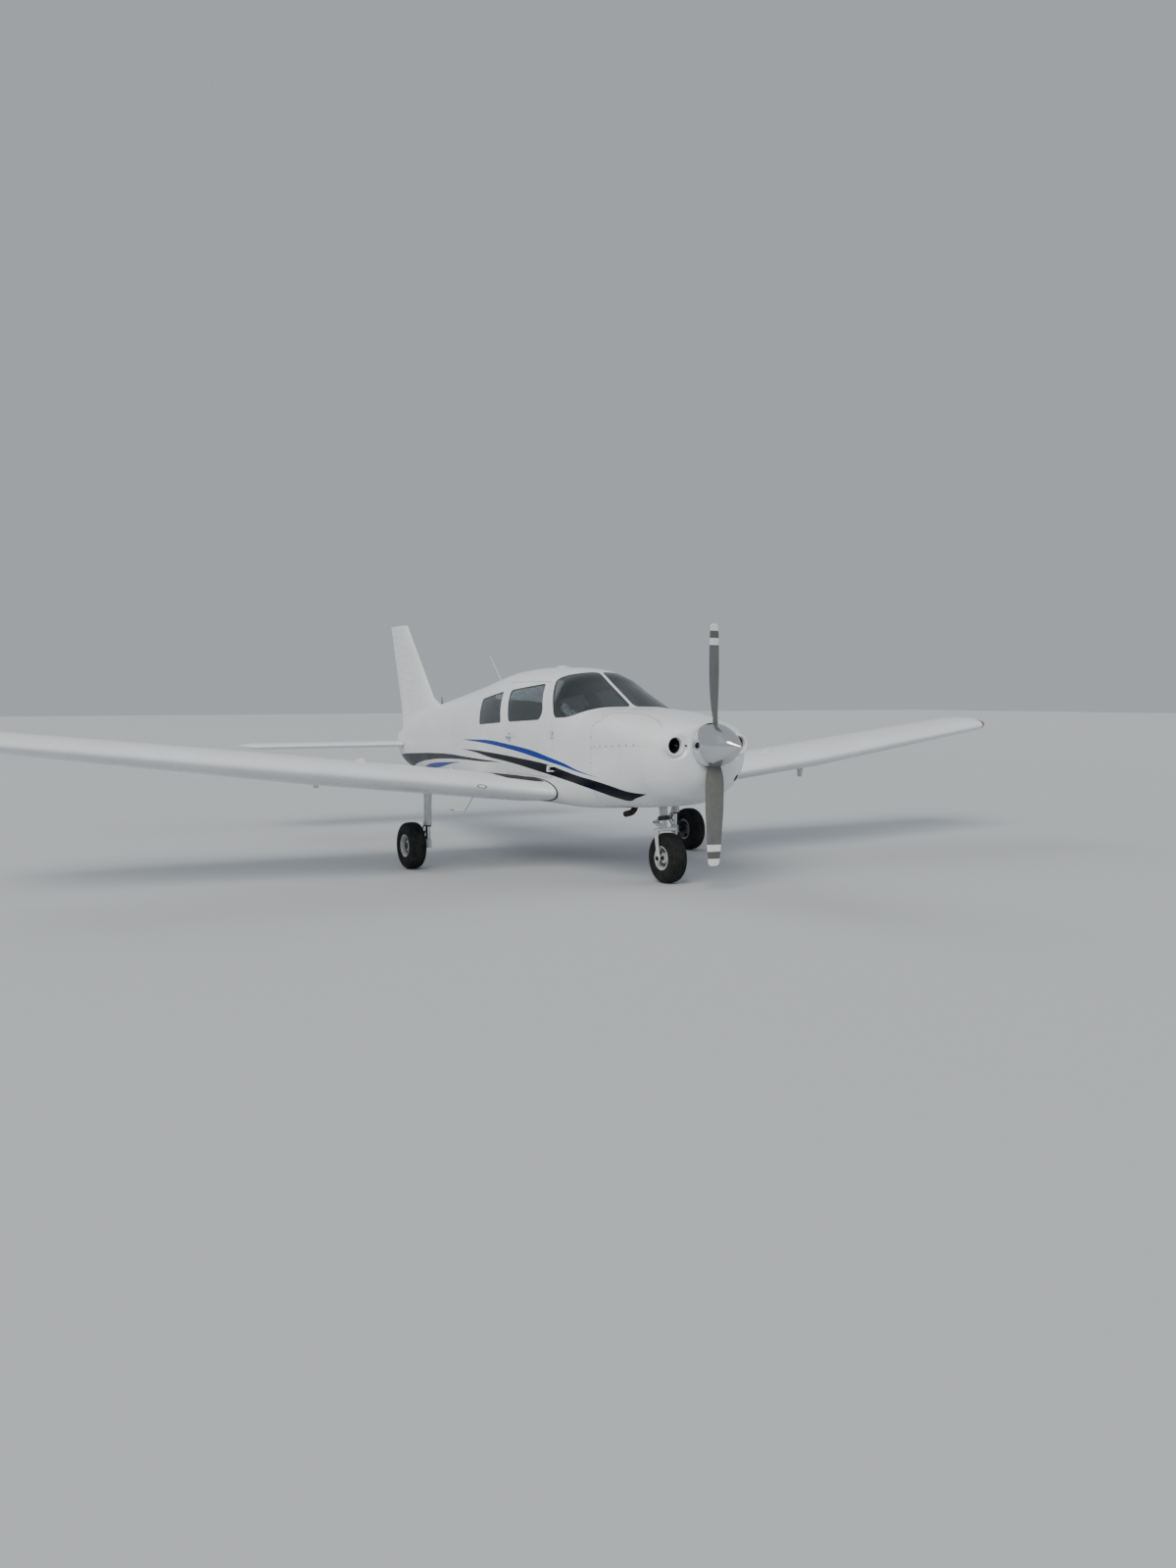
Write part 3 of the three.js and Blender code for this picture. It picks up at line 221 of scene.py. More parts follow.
def sheet_mesh(place, outline, holes=(), step=.04, depth=(0, .003), period=None):
    """A thin sheet on the surface that `place` gives, from one depth below it to another.
    Returns vertices, faces, a pair for each face corner, and normals for the corners of the first faces."""
    loops = [spaced(np.asarray(loop, float), step) for loop in (outline, *holes)]
    edge = np.concatenate(loops)
    starts = np.cumsum([0] + [len(loop) for loop in loops])
    edges = [(s + i, s + (i + 1) % n) for s, n in zip(starts, map(len, loops)) for i in range(n)]
    low, high = edge.min(0), edge.max(0)
    grid = np.stack(
        np.meshgrid(*[np.arange(low[k] + step / 2, high[k], step) for k in (0, 1)], indexing="ij"), -1,
    )
    grid = grid.reshape(-1, 2)
    keep = inside(grid, loops[0])
    for loop in loops[1:]:
        keep &= ~inside(grid, loop)
    grid = grid[keep]
    near = np.array([np.min(np.sum((edge - p) ** 2, 1)) for p in grid]) if len(grid) else np.zeros(0)
    grid = grid[near > (.45 * step) ** 2]
    points = np.concatenate([edge, grid])
    found = delaunay_2d_cdt([Vector(p) for p in points], edges, [], 0, 1e-7)
    pairs = np.array([tuple(p) for p in found[0]])
    faces = np.array(found[2])
    middle = pairs[faces].mean(1)
    (ax, ay), (bx, by) = [(pairs[faces[:, k]] - pairs[faces[:, 0]]).T for k in (1, 2)]
    keep = inside(middle, loops[0]) & (np.abs(ax * by - ay * bx) > SLIVER_AREA)
    for loop in loops[1:]:
        keep &= ~inside(middle, loop)
    faces = faces[keep]
    normal = skin_normal(place, pairs)
    surface = place(pairs)
    flip = np.sum(
        np.cross(*[surface[faces[:, k]] - surface[faces[:, 0]] for k in (1, 2)]) * normal[faces[:, 0]], 1,
    ) < 0
    faces[flip] = faces[flip][:, ::-1]
    same = np.arange(len(pairs))
    if period:
        left, right = [np.where(np.abs(pairs[:, 1] - side) < 1e-6)[0] for side in (low[1], high[1])]
        order = lambda rows: rows[np.argsort(pairs[rows, 0])]
        same[order(right)] = order(left)
    joined = same[faces]
    count = len(pairs)
    sides = {}
    for face in joined:
        for a, b in zip(face, np.roll(face, -1)):
            sides[(a, b)] = sides.get((a, b), 0) + 1
    rim = [(a, b) for a, b in sides if (b, a) not in sides]
    verts = np.concatenate([surface - normal * depth[0], surface - normal * depth[1]])
    rim_faces = [(b, a, a + count, b + count) for a, b in rim]
    all_faces = [*joined, *(joined[:, ::-1] + count), *rim_faces]
    uv = np.concatenate([
        pairs[faces.ravel()], pairs[faces[:, ::-1].ravel()], *[pairs[[b, a, a, b]] for a, b in rim],
    ])
    normals = np.concatenate([normal[same][faces.ravel()], -normal[same][faces[:, ::-1].ravel()]])
    used = np.unique(np.concatenate([np.ravel(f) for f in all_faces]))
    new = np.full(2 * count, -1)
    new[used] = np.arange(len(used))
    return verts[used], [new[np.array(f)] for f in all_faces], uv, normals


def side_loop(loop, side, corner=0.0, grow=0.0):
    """A loop seen from the side as (station, girth) pairs on the left (1) or the right (-1) skin."""
    loop = spaced(rounded(moved_out(loop, grow), corner) if corner else moved_out(loop, grow), .03)
    girth = girth_at(loop[:, 0], loop[:, 1])
    return np.stack([loop[:, 0], girth if side > 0 else math.pi * GIRTH - girth], -1)


def windshield_loop(side, grow=0.0):
    """One windshield half: up the side, along the base to the middle post, and up the post to the roof."""
    loop = np.array(WINDSHIELD_SIDE)
    pairs = [(x, float(girth_at(x, z))) for x, z in loop]
    for x, y in (
        (2.068, .2), (2.070, POST_HALF_WIDTH), (1.780, POST_HALF_WIDTH), (1.490, POST_HALF_WIDTH),
        (1.470, .2),
    ):
        pairs.append((x, float(roof_girth(x, y))))
    pairs = moved_out(rounded(pairs, .05), grow)
    if side < 0:
        pairs[:, 1] = math.pi * GIRTH - pairs[:, 1]
    return pairs


def skin_sheet(name, outline, holes=(), place=hull_place, **options):
    return add_object(name, *sheet_mesh(place, outline, holes, **options))


BOTTOM, TOP = -math.pi / 2 * GIRTH, 1.5 * math.pi * GIRTH
SEAM = 0.0015
cabin_skin = skin_sheet(
    "cabin_skin", box(CABIN_REAR_X, BOTTOM, FIREWALL_X - SEAM, TOP),
    [
        side_loop(DOOR_OUTLINE, -1, DOOR_CORNER, SEAM), side_loop(FRONT_WINDOW, 1, FRONT_CORNER),
        side_loop(REAR_WINDOW, 1, REAR_CORNER), side_loop(REAR_WINDOW, -1, REAR_CORNER), windshield_loop(1),
        windshield_loop(-1),
    ],
    period=True,
)
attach(cabin_skin, "airframe")
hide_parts("cabin_shell")

# Painted skin. White two-pack polyurethane over primer: a hard clear gloss, with faint grime and the rows of
# flush rivets just showing through. The waves are the thin sheet's own. Stripes are masked and sprayed on.
WHITE, NAVY, BLUE = "#E9ECEE", "#04051A", "#0A3796"
RIVET_PITCH = 0.028
RIVET_RADIUS = 0.0035  # the real heads are 2.4 mm across and are drawn coarser, so that they show
FRAME_SPACING = 0.31
STRINGER_SPACING = 0.19
# Each side stripe: its stations, then the heights of its upper and its lower edge. The points were picked on
# the photograph and brought to the body's side with the camera above.
STRIPES = [
    (BLUE, (-.55, -.13, .30, .65, .985, 1.27, 1.583, 1.867, 2.122, 2.47),
     (1.126, 1.139, 1.144, 1.126, 1.104, 1.078, 1.034, .992, .943, .897),
     (1.124, 1.118, 1.105, 1.083, 1.056, 1.025, .992, .962, .929, .896)),
    (NAVY, (-.57, -.12, .30, .635, .98, 1.28, 1.583, 1.859, 2.12, 2.406, 2.62, 2.69, 2.79, 2.91),
     (1.026, 1.033, 1.026, 1.016, 1.000, .986, .965, .930, .897, .866, .831, .815, .795, .783),
     (1.024, 1.011, .977, .960, .935, .907, .880, .852, .822, .775, .727, .713, .742, .782)),
    (NAVY, (-3.36, -3.21, -2.91, -2.40, -1.78, -1.03, -.46, .16, .56),
     (.93, .870, .885, .909, .936, .955, .952, .948, .945),
     (.70, .70, .72, .800, .863, .905, .921, .930, .944)),
    (BLUE, (-2.72, -2.11, -1.84, -1.47, -1.03, -.64),
     (.66, .783, .818, .845, .870, .889), (.60, .70, .756, .797, .850, .888)),
]
HEIGHT_SPAN = 2.5
PAINT_SPECULAR, PAINT_COAT = (.35, .12), (.22, .06)  # on the white, then in the stripes
STRIPE_BLUR = .0008  # half the width of the soft edge of a sprayed stripe


def linear(code):
    """An sRGB hex colour as the linear values that a shader takes."""
    parts = [int(code[i:i + 2], 16) / 255 for i in (1, 3, 5)]
    return (*[c / 12.92 if c <= .04045 else ((c + .055) / 1.055) ** 2.4 for c in parts], 1)


def add_node(tree, kind, settings=None, links=None):
    """Adds one node. `settings` go to its properties or sockets, `links` join other nodes to its sockets."""
    new = tree.nodes.new("ShaderNode" + kind)
    for key, value in (settings or {}).items():
        if isinstance(key, int) or key in new.inputs:
            new.inputs[key].default_value = value
        else:
            setattr(new, key, value)
    for key, source in (links or {}).items():
        tree.links.new(source.outputs[0] if hasattr(source, "outputs") else source, new.inputs[key])
    return new


def new_material(name, **settings):
    """A material with a principled shader; the settings are socket names with _ for a space."""
    material = bpy.data.materials.new(name)
    material.use_nodes = True
    shader = material.node_tree.nodes["Principled BSDF"]
    for key, value in settings.items():
        shader.inputs[key.replace("_", " ")].default_value = value
    return material, material.node_tree, shader


def set_gloss(shader, value, spread, roughness):
    """A node's value between the two ends of `spread` sets the shader's roughness between its two ends."""
    tree = shader.id_data
    rough = add_node(
        tree, "MapRange", {1: spread[0], 2: spread[1], 3: roughness[0], 4: roughness[1]}, {0: value},
    )
    tree.links.new(rough.outputs[0], shader.inputs["Roughness"])


def curve_of(tree, value, at, heights):
    """Heights along a table as a node; the table's ends hold on outside it."""
    low, high = min(at), max(at)
    share = add_node(tree, "MapRange", {1: low, 2: high, 3: 0.0, 4: 1.0}, {0: value})
    node = add_node(tree, "FloatCurve", links={1: share})
    points = node.mapping.curves[0].points
    for i, (x, z) in enumerate(zip(at, heights)):
        place = ((x - low) / (high - low), z / HEIGHT_SPAN)
        if 0 < i < len(at) - 1:
            points.new(*place)
        else:
            points[0 if i == 0 else len(points) - 1].location = place
    node.mapping.update()
    return add_node(tree, "Math", {"operation": "MULTIPLY", 1: HEIGHT_SPAN}, {0: node})


def rivet_rows(tree, across, along, spacing):
    """Round dots in rows `spacing` apart, as a value that is 1 on a rivet and 0 between."""
    row = add_node(tree, "Math", {"operation": "PINGPONG", 1: spacing / 2}, {0: across})
    dot = add_node(tree, "Math", {"operation": "PINGPONG", 1: RIVET_PITCH / 2}, {0: along})
    both = add_node(tree, "CombineXYZ", links={0: row, 1: dot})
    reach = add_node(tree, "VectorMath", {"operation": "LENGTH"}, {0: both})
    return add_node(
        tree, "MapRange", {1: RIVET_RADIUS * .6, 2: RIVET_RADIUS, 3: 1.0, 4: 0.0},
        {0: reach.outputs["Value"]},
    )


def sprayed_paint(name, stripes=(), rows=(), waves=.5):
    """White gloss paint on sheet metal. `rows` are (across, along, spacing) for the rivets, with u and v the
    length and the girth on the sheet."""
    material, tree, shader = new_material(
        name, Roughness=.3, Coat_Weight=PAINT_COAT[0], Coat_Roughness=.05,
        Specular_IOR_Level=PAINT_SPECULAR[0],
    )
    place = add_node(tree, "TexCoord")
    part = add_node(tree, "SeparateXYZ", links={0: place.outputs["Object"]})
    sheet = add_node(tree, "SeparateXYZ", links={0: place.outputs["UV"]})
    grime = add_node(
        tree, "TexNoise", {"Scale": 2.3, "Detail": 5.0, "Roughness": .6},
        {"Vector": place.outputs["Object"]},
    )
    shade = add_node(tree, "MapRange", {1: .35, 2: .75, 3: 0.0, 4: .35}, {0: grime})
    colour = add_node(tree, "Mix", {"data_type": "RGBA", 6: linear(WHITE), 7: linear("#C9CDCC")}, {0: shade})
    result, cover = colour.outputs[2], None
    for paint, at, upper, lower in stripes:
        top = curve_of(tree, part.outputs[0], at, upper)
        under = curve_of(tree, part.outputs[0], at, lower)
        below_top = add_node(tree, "Math", {"operation": "SUBTRACT"}, {0: top, 1: part.outputs[2]})
        above_low = add_node(tree, "Math", {"operation": "SUBTRACT"}, {0: part.outputs[2], 1: under})
        inside_by = add_node(tree, "Math", {"operation": "MINIMUM"}, {0: below_top, 1: above_low})
        middle, reach = (max(at) + min(at)) / 2, (max(at) - min(at)) / 2
        inside_ends = add_node(
            tree, "Math", {"operation": "COMPARE", 1: middle, 2: reach}, {0: part.outputs[0]},
        )
        edge = add_node(tree, "MapRange", {1: -STRIPE_BLUR, 2: STRIPE_BLUR}, {0: inside_by})
        mask = add_node(tree, "Math", {"operation": "MULTIPLY"}, {0: edge, 1: inside_ends})
        result = add_node(
            tree, "Mix", {"data_type": "RGBA", 7: linear(paint)}, {0: mask, 6: result},
        ).outputs[2]
        cover = mask if cover is None else add_node(
            tree, "Math", {"operation": "MAXIMUM"}, {0: cover, 1: mask},
        )
    if cover:
        for socket, (bare, striped) in (("Specular IOR Level", PAINT_SPECULAR), ("Coat Weight", PAINT_COAT)):
            level = add_node(tree, "MapRange", {3: bare, 4: striped}, {0: cover})
            tree.links.new(level.outputs[0], shader.inputs[socket])
    tree.links.new(result, shader.inputs["Base Color"])
    set_gloss(shader, grime, (.3, .8), (.24, .42))
    wave = add_node(tree, "TexNoise", {"Scale": 3.2, "Detail": 1.0}, {"Vector": place.outputs["Object"]})
    bump = add_node(tree, "Bump", {"Strength": waves, "Distance": .004}, {"Height": wave})
    if rows:
        dots = [rivet_rows(tree, sheet.outputs[a], sheet.outputs[b], spacing) for a, b, spacing in rows]
        height = dots[0]
        for more in dots[1:]:
            height = add_node(tree, "Math", {"operation": "MAXIMUM"}, {0: height, 1: more})
        bump = add_node(tree, "Bump", {"Strength": .8, "Distance": .0011}, {"Height": height, "Normal": bump})
    tree.links.new(bump.outputs[0], shader.inputs["Normal"])
    return material


side_paint = sprayed_paint(
    "two_pack_paint_striped", STRIPES, [(0, 1, FRAME_SPACING), (1, 0, STRINGER_SPACING)],
)
cabin_skin.data.materials.append(side_paint)

# Door. One pressed aluminium door on the right: an outer skin that closes flush in the cabin side, and an
# inner tray behind it that stays inside the frame. It hangs on two external hinges at its front edge.
DOOR_SKIN = 0.004
TRAY_INSET, TRAY_DEPTH = .034, .028
door_skin = skin_sheet(
    "door_skin", side_loop(DOOR_OUTLINE, -1, DOOR_CORNER, -SEAM), [side_loop(FRONT_WINDOW, -1, FRONT_CORNER)],
    depth=(0, DOOR_SKIN),
)
door_tray = skin_sheet(
    "door_tray", side_loop(DOOR_OUTLINE, -1, DOOR_CORNER, -TRAY_INSET),
    [side_loop(FRONT_WINDOW, -1, FRONT_CORNER, .004)], depth=(DOOR_SKIN, TRAY_DEPTH),
)
for piece in (door_skin, door_tray):
    piece.data.materials.append(side_paint)
    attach(piece, "cabin_door")
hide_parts("door")

# Windows. Formed acrylic sheet, 5 mm thick and tinted grey, set in the skin on dark sealant. The tint makes
# the cabin look dark from outside while its far side still shows through.
glass_paint, tree, shader = new_material(
    "tinted_acrylic", Base_Color=linear("#7E8B8C"), Roughness=.03, IOR=1.49, Transmission_Weight=1.0,
    Coat_Weight=.4,
)
place = add_node(tree, "TexCoord")
smear = add_node(tree, "TexNoise", {"Scale": 9.0, "Detail": 4.0}, {"Vector": place.outputs["Object"]})
set_gloss(shader, smear, (.45, .8), (.02, .07))


def set_tones(shader, value, light, dark):
    """A node's value mixes two hex colours into the shader's colour."""
    tree = shader.id_data
    tone = add_node(tree, "Mix", {"data_type": "RGBA", 6: linear(light), 7: linear(dark)}, {0: value})
    tree.links.new(tone.outputs[2], shader.inputs["Base Color"])


sealant, tree, shader = new_material("window_sealant", Base_Color=linear("#2E3234"), Roughness=.7)
set_tones(shader, add_node(tree, "TexNoise", {"Scale": 160.0, "Detail": 2.0}), "#2A2E30", "#4A4F51")
WINDOW_LOOPS = {
    "door_window": ("cabin_door", lambda grow: side_loop(FRONT_WINDOW, -1, FRONT_CORNER, grow)),
    "front_window_left": ("airframe", lambda grow: side_loop(FRONT_WINDOW, 1, FRONT_CORNER, grow)),
    "rear_window_right": ("airframe", lambda grow: side_loop(REAR_WINDOW, -1, REAR_CORNER, grow)),
    "rear_window_left": ("airframe", lambda grow: side_loop(REAR_WINDOW, 1, REAR_CORNER, grow)),
    "windshield_left": ("airframe", lambda grow: windshield_loop(1, grow)),
    "windshield_right": ("airframe", lambda grow: windshield_loop(-1, grow)),
}
for node_name, (body, loop_at) in WINDOW_LOOPS.items():
    pane = skin_sheet(node_name + "_pane", loop_at(-.002), depth=(.002, .007))
    pane.data.materials.append(glass_paint)
    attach(pane, body)
    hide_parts(node_name)
    seal = skin_sheet(node_name + "_seal", loop_at(-.0003), [loop_at(-.009)], step=.03, depth=(.0005, .0018))
    seal.data.materials.append(sealant)
    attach(seal, body)

# Cabin lining. Light grey moulded plastic panels over the frames; it shows as a pale border inside each
# window.
LINING_DEPTH = (.026, .030)
LINING_REAR_X, LINING_FRONT_X, FLOOR_GIRTH = -.47, 2.28, -.62
WINDOW_BORDER, DOOR_BORDER = -.016, -.045


def set_grain(shader, height, strength, distance):
    """A node's value raises the shader's surface by a bump."""
    tree = shader.id_data
    bump = add_node(tree, "Bump", {"Strength": strength, "Distance": distance}, {"Height": height})
    tree.links.new(bump.outputs[0], shader.inputs["Normal"])


lining_plastic, tree, shader = new_material("moulded_abs_lining", Base_Color=linear("#B4B1A8"), Roughness=.6)
set_grain(shader, add_node(tree, "TexNoise", {"Scale": 420.0, "Detail": 2.0}), .25, .0006)
set_tones(shader, add_node(tree, "TexNoise", {"Scale": 4.0, "Detail": 3.0}), "#A9A69D", "#BEBBB3")
lining_outline = box(LINING_REAR_X, FLOOR_GIRTH, LINING_FRONT_X, math.pi * GIRTH - FLOOR_GIRTH)
cabin_lining = skin_sheet(
    "cabin_lining", lining_outline,
    [
        side_loop(DOOR_OUTLINE, -1, DOOR_CORNER, -.004),
        side_loop(FRONT_WINDOW, 1, FRONT_CORNER, WINDOW_BORDER),
        side_loop(REAR_WINDOW, 1, REAR_CORNER, WINDOW_BORDER),
        side_loop(REAR_WINDOW, -1, REAR_CORNER, WINDOW_BORDER), windshield_loop(1, -.012),
        windshield_loop(-1, -.012),
    ],
    depth=LINING_DEPTH, step=.05,
)
door_lining = skin_sheet(
    "door_lining", side_loop(DOOR_OUTLINE, -1, DOOR_CORNER, DOOR_BORDER),
    [side_loop(FRONT_WINDOW, -1, FRONT_CORNER, WINDOW_BORDER)], depth=(TRAY_DEPTH, TRAY_DEPTH + .004),
    step=.05,
)
for piece, body in ((cabin_lining, "airframe"), (door_lining, "cabin_door")):
    piece.data.materials.append(lining_plastic)
    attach(piece, body)

# Tail cone. Riveted sheet again, tapering to a moulded end. Its top is cut away at the end for the rudder's
# foot.
CONE_END_X = -3.378
SHELF_X, SHELF_Z = -3.082, 1.138
SHELF_END_X = -3.326  # the shelf meets the falling top of the cone here
shelf_stations = np.linspace(SHELF_END_X, SHELF_X, 12)
shelf_edge = np.stack([shelf_stations, girth_at(shelf_stations, np.full(12, SHELF_Z))], -1)
far_edge = np.stack([shelf_edge[:, 0], math.pi * GIRTH - shelf_edge[:, 1]], -1)[::-1]
cone_outline = box(CABIN_REAR_X - SEAM, BOTTOM, CONE_END_X, TOP)
cone_skin = skin_sheet(
    "cone_skin", cone_outline, [np.concatenate([shelf_edge, far_edge])], depth=(0, .004), period=True,
)
cone_skin.data.materials.append(side_paint)
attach(cone_skin, "airframe")
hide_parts("tail_cone")

# Engine cowl. Two moulded glass-fibre halves, painted with the rest. The nose is a round bowl behind the
# spinner; the halves part at the height of the two inlets and are held by quarter-turn screws.
BOWL_X, NOSE_X, BOWL_POWER, BOWL_LENGTH = 2.95, 3.237, 2.2, .42
HUB_Z = 1.184
SPINNER_RING, SHAFT_HOLE = .17, .11
SPLIT_REAR_Z, SPLIT_FLAT_X = 1.140, 3.10
INLET_Y, INLET_RADIUS, LIP_RADIUS, LIP_X, DUCT_DEPTH = .308, .064, .0115, 3.214, .15
INLET_FOOT = .124
FOOT_POINTS = 48
SEARCH_STEPS = 40
BOWL_END = BOWL_X + BOWL_LENGTH + SPINNER_RING - SHAFT_HOLE


def cowl_place(pairs):
    """Points of the cowl for (length, girth) pairs; past BOWL_X the length runs on round the nose bowl."""
    along, turn = pairs[..., 0], pairs[..., 1] / GIRTH
    angle = np.clip((along - BOWL_X) / BOWL_LENGTH, 0, 1) * math.pi / 2
    x = np.where(along > BOWL_X, BOWL_X + (NOSE_X - BOWL_X) * np.sin(angle) ** (2 / BOWL_POWER), along)
    rounding = (1 - np.cos(angle) ** (2 / BOWL_POWER))[..., None]
    outer = hull_place(np.stack([x, pairs[..., 1]], -1))
    reach = SPINNER_RING - np.clip(along - BOWL_X - BOWL_LENGTH, 0, None)
    ring = np.stack([x, reach * np.cos(turn), HUB_Z + reach * np.sin(turn)], -1)
    return outer * (1 - rounding) + ring * rounding


def split_girth(along):
    """The girth at which the left side of the cowl meets the parting line."""
    along = np.asarray(along, float)
    low, high = np.full(along.shape, -.25), np.full(along.shape, .25)
    for _ in range(SEARCH_STEPS):
        middle = (low + high) / 2
        point = cowl_place(np.stack([along, middle], -1))
        line = SPLIT_REAR_Z + (HUB_Z - SPLIT_REAR_Z) * np.clip(
            (point[..., 0] - FIREWALL_X) / (SPLIT_FLAT_X - FIREWALL_X), 0, 1)
        above = point[..., 2] > line
        high, low = np.where(above, middle, high), np.where(above, low, middle)
    return (low + high) / 2


def cowl_pair_at(y, z):
    """The (length, girth) pairs of the bowl points in front of (y, z), by Newton's method."""
    pairs = np.stack([np.full(len(y), BOWL_X + .55 * BOWL_LENGTH), GIRTH * np.arctan2(z - HUB_Z, y)], -1)
    for _ in range(SEARCH_STEPS):
        here = cowl_place(pairs)[:, 1:]
        d_along, d_girth = [(cowl_place(pairs + d)[:, 1:] - here) / 1e-5 for d in ([1e-5, 0], [0, 1e-5])]
        miss = np.stack([y, z], -1) - here
        det = d_along[:, 0] * d_girth[:, 1] - d_along[:, 1] * d_girth[:, 0]
        step = np.stack([miss[:, 0] * d_girth[:, 1] - miss[:, 1] * d_girth[:, 0],
                         d_along[:, 0] * miss[:, 1] - d_along[:, 1] * miss[:, 0]], -1) / det[:, None]
        pairs = pairs + np.clip(step, -.03, .03)
        pairs[:, 0] = np.clip(pairs[:, 0], BOWL_X + .01, BOWL_X + BOWL_LENGTH - .002)
    return pairs


foot_turn = 2 * math.pi * np.arange(FOOT_POINTS) / FOOT_POINTS
foot_pairs = cowl_pair_at(INLET_Y + INLET_FOOT * np.cos(foot_turn), HUB_Z + INLET_FOOT * np.sin(foot_turn))


def cowl_outline(way):
    """The outline of the upper (way 1) or the lower (way -1) cowl half, left side first."""
    half = FOOT_POINTS // 2
    foot = foot_pairs[:half + 1] if way > 0 else foot_pairs[[0, *range(FOOT_POINTS - 1, half - 1, -1)]]
    foot = foot.copy()
    foot[[0, -1], 1] += way * SEAM / 2
    rear = np.linspace(FIREWALL_X + SEAM, foot[0, 0], 24)[:-1]
    front = np.linspace(foot[-1, 0], BOWL_END, 6)[1:]
    line = lambda along: np.stack([along, split_girth(along) + way * SEAM / 2], -1)
    left = np.concatenate([line(rear), foot, line(front)])
    right = left[::-1].copy()
    right[:, 1] = way * math.pi * GIRTH - right[:, 1]
    return np.concatenate([left, right])


def belly_girth(x, y):
    """The girth of the lowest skin at y to the left of the middle."""
    low, high, waist, half, up, down = hull_section(x)
    return -GIRTH * np.arctan2((1 - abs(y / half) ** down) ** (1 / down), y / half)


EXIT_FRONT_X, EXIT_HALF_WIDTH = 2.50, .30
LEG_HOLE = [(2.49, -.062), (2.49, .062), (2.625, .062), (2.625, -.062)]
COWL_WALL = .003
cowl_upper = skin_sheet("cowl_upper", cowl_outline(1), place=cowl_place, depth=(0, COWL_WALL), step=.03)
exit_corners = box(FIREWALL_X + SEAM, -EXIT_HALF_WIDTH, EXIT_FRONT_X, EXIT_HALF_WIDTH)
outlet, leg_hole = [
    [(x, float(belly_girth(x, y))) for x, y in corners]
    for corners in (exit_corners, LEG_HOLE)
]
cowl_lower = skin_sheet(
    "cowl_lower", np.concatenate([cowl_outline(-1), outlet]), [rounded(leg_hole, .03)], cowl_place,
    depth=(0, COWL_WALL), step=.03,
)
cowl_paint = sprayed_paint("two_pack_paint_cowl", STRIPES[:2], waves=.15)
for piece, node_name in ((cowl_upper, "upper_cowl"), (cowl_lower, "lower_cowl")):
    piece.data.materials.append(cowl_paint)
    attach(piece, "airframe")
    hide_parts(node_name)


def ring_object(name, rings, normals=None, wrap=False, caps=True, sharp_angle=40):
    """A surface through rings of equal point counts, closed by its end rings or joined back to the first."""
    rings = np.asarray(rings, float)
    rows, count = rings.shape[:2]
    index = np.arange(rows * count).reshape(rows, count)
    faces = []
    for r in range(rows if wrap else rows - 1):
        a, b = index[r], index[(r + 1) % rows]
        faces += [(a[i], a[(i + 1) % count], b[(i + 1) % count], b[i]) for i in range(count)]
    corner_normals = None if normals is None else np.asarray(normals).reshape(-1, 3)[np.ravel(faces)]
    if caps and not wrap:
        faces += [tuple(index[0][::-1]), tuple(index[-1])]
    obj = add_object(
        name, rings.reshape(-1, 3), faces, smooth_normals=corner_normals, sharp_angle=sharp_angle,
    )
    points = rings.reshape(-1, 3)
    volume = np.sum([
        np.dot(points[f[0]], np.cross(points[f[1]], points[f[2]]))
        for f in faces
        if len(f) == 4
    ])
    if volume < 0 and normals is None:
        obj.data.flip_normals()
    return obj


# Inlet lips. Each inlet is a short round pipe moulded on the bowl: the skin sweeps up to it, rolls over a
# thick round lip and runs back as a duct. The duct is coloured near black as painted shade for the dark
# inside.
# near-black duct colour: painted shade inside the inlets
duct_black, tree, shader = new_material("duct_black", Base_Color=linear("#101112"), Roughness=.75)
set_tones(shader, add_node(tree, "TexNoise", {"Scale": 40.0, "Detail": 3.0}), "#0B0C0D", "#1F2021")
foot_points = cowl_place(foot_pairs)
step_u, step_v = [cowl_place(foot_pairs + d) - foot_points for d in ([1e-4, 0], [0, 1e-4])]
foot_normals = np.cross(step_v, step_u)
foot_normals /= np.linalg.norm(foot_normals, axis=1)[:, None]
lip_back = np.array([LIP_X - LIP_RADIUS, 0, 0])  # the plane behind the round of the lip
outward = np.stack([np.zeros(FOOT_POINTS), np.cos(foot_turn), np.sin(foot_turn)], -1)
start_way = -outward - foot_normals * np.sum(-outward * foot_normals, 1)[:, None]
start_way /= np.linalg.norm(start_way, axis=1)[:, None]
axis_point = np.array([0, INLET_Y, HUB_Z])
lip_start = axis_point + outward * (INLET_RADIUS + 2 * LIP_RADIUS) + lip_back
span = np.linalg.norm(lip_start - foot_points, axis=1)[:, None]
lip_rings = []
for t in np.linspace(0, 1, 10)[:-1]:
    lip_rings.append(
        foot_points * (1 + 2 * t) * (1 - t) ** 2 + start_way * span * 1.1 * t * (1 - t) ** 2
        + lip_start * t * t * (3 - 2 * t) - np.array([1, 0, 0]) * span * .9 * t * t * (1 - t)
    )
for roll in np.linspace(0, math.pi, 12):
    lip_rings.append(axis_point + outward * (INLET_RADIUS + LIP_RADIUS * (1 + math.cos(roll)))
                     + np.array([LIP_X - LIP_RADIUS + LIP_RADIUS * math.sin(roll), 0, 0]))
for back in (.01, .03):
    lip_rings.append(axis_point + outward * INLET_RADIUS + lip_back - [back, 0, 0])
back_rings = [
    axis_point + outward * (INLET_RADIUS + .004) + lip_back - [.03, 0, 0],
    foot_points - foot_normals * .006 - outward * .012, foot_points - foot_normals * COWL_WALL,
]
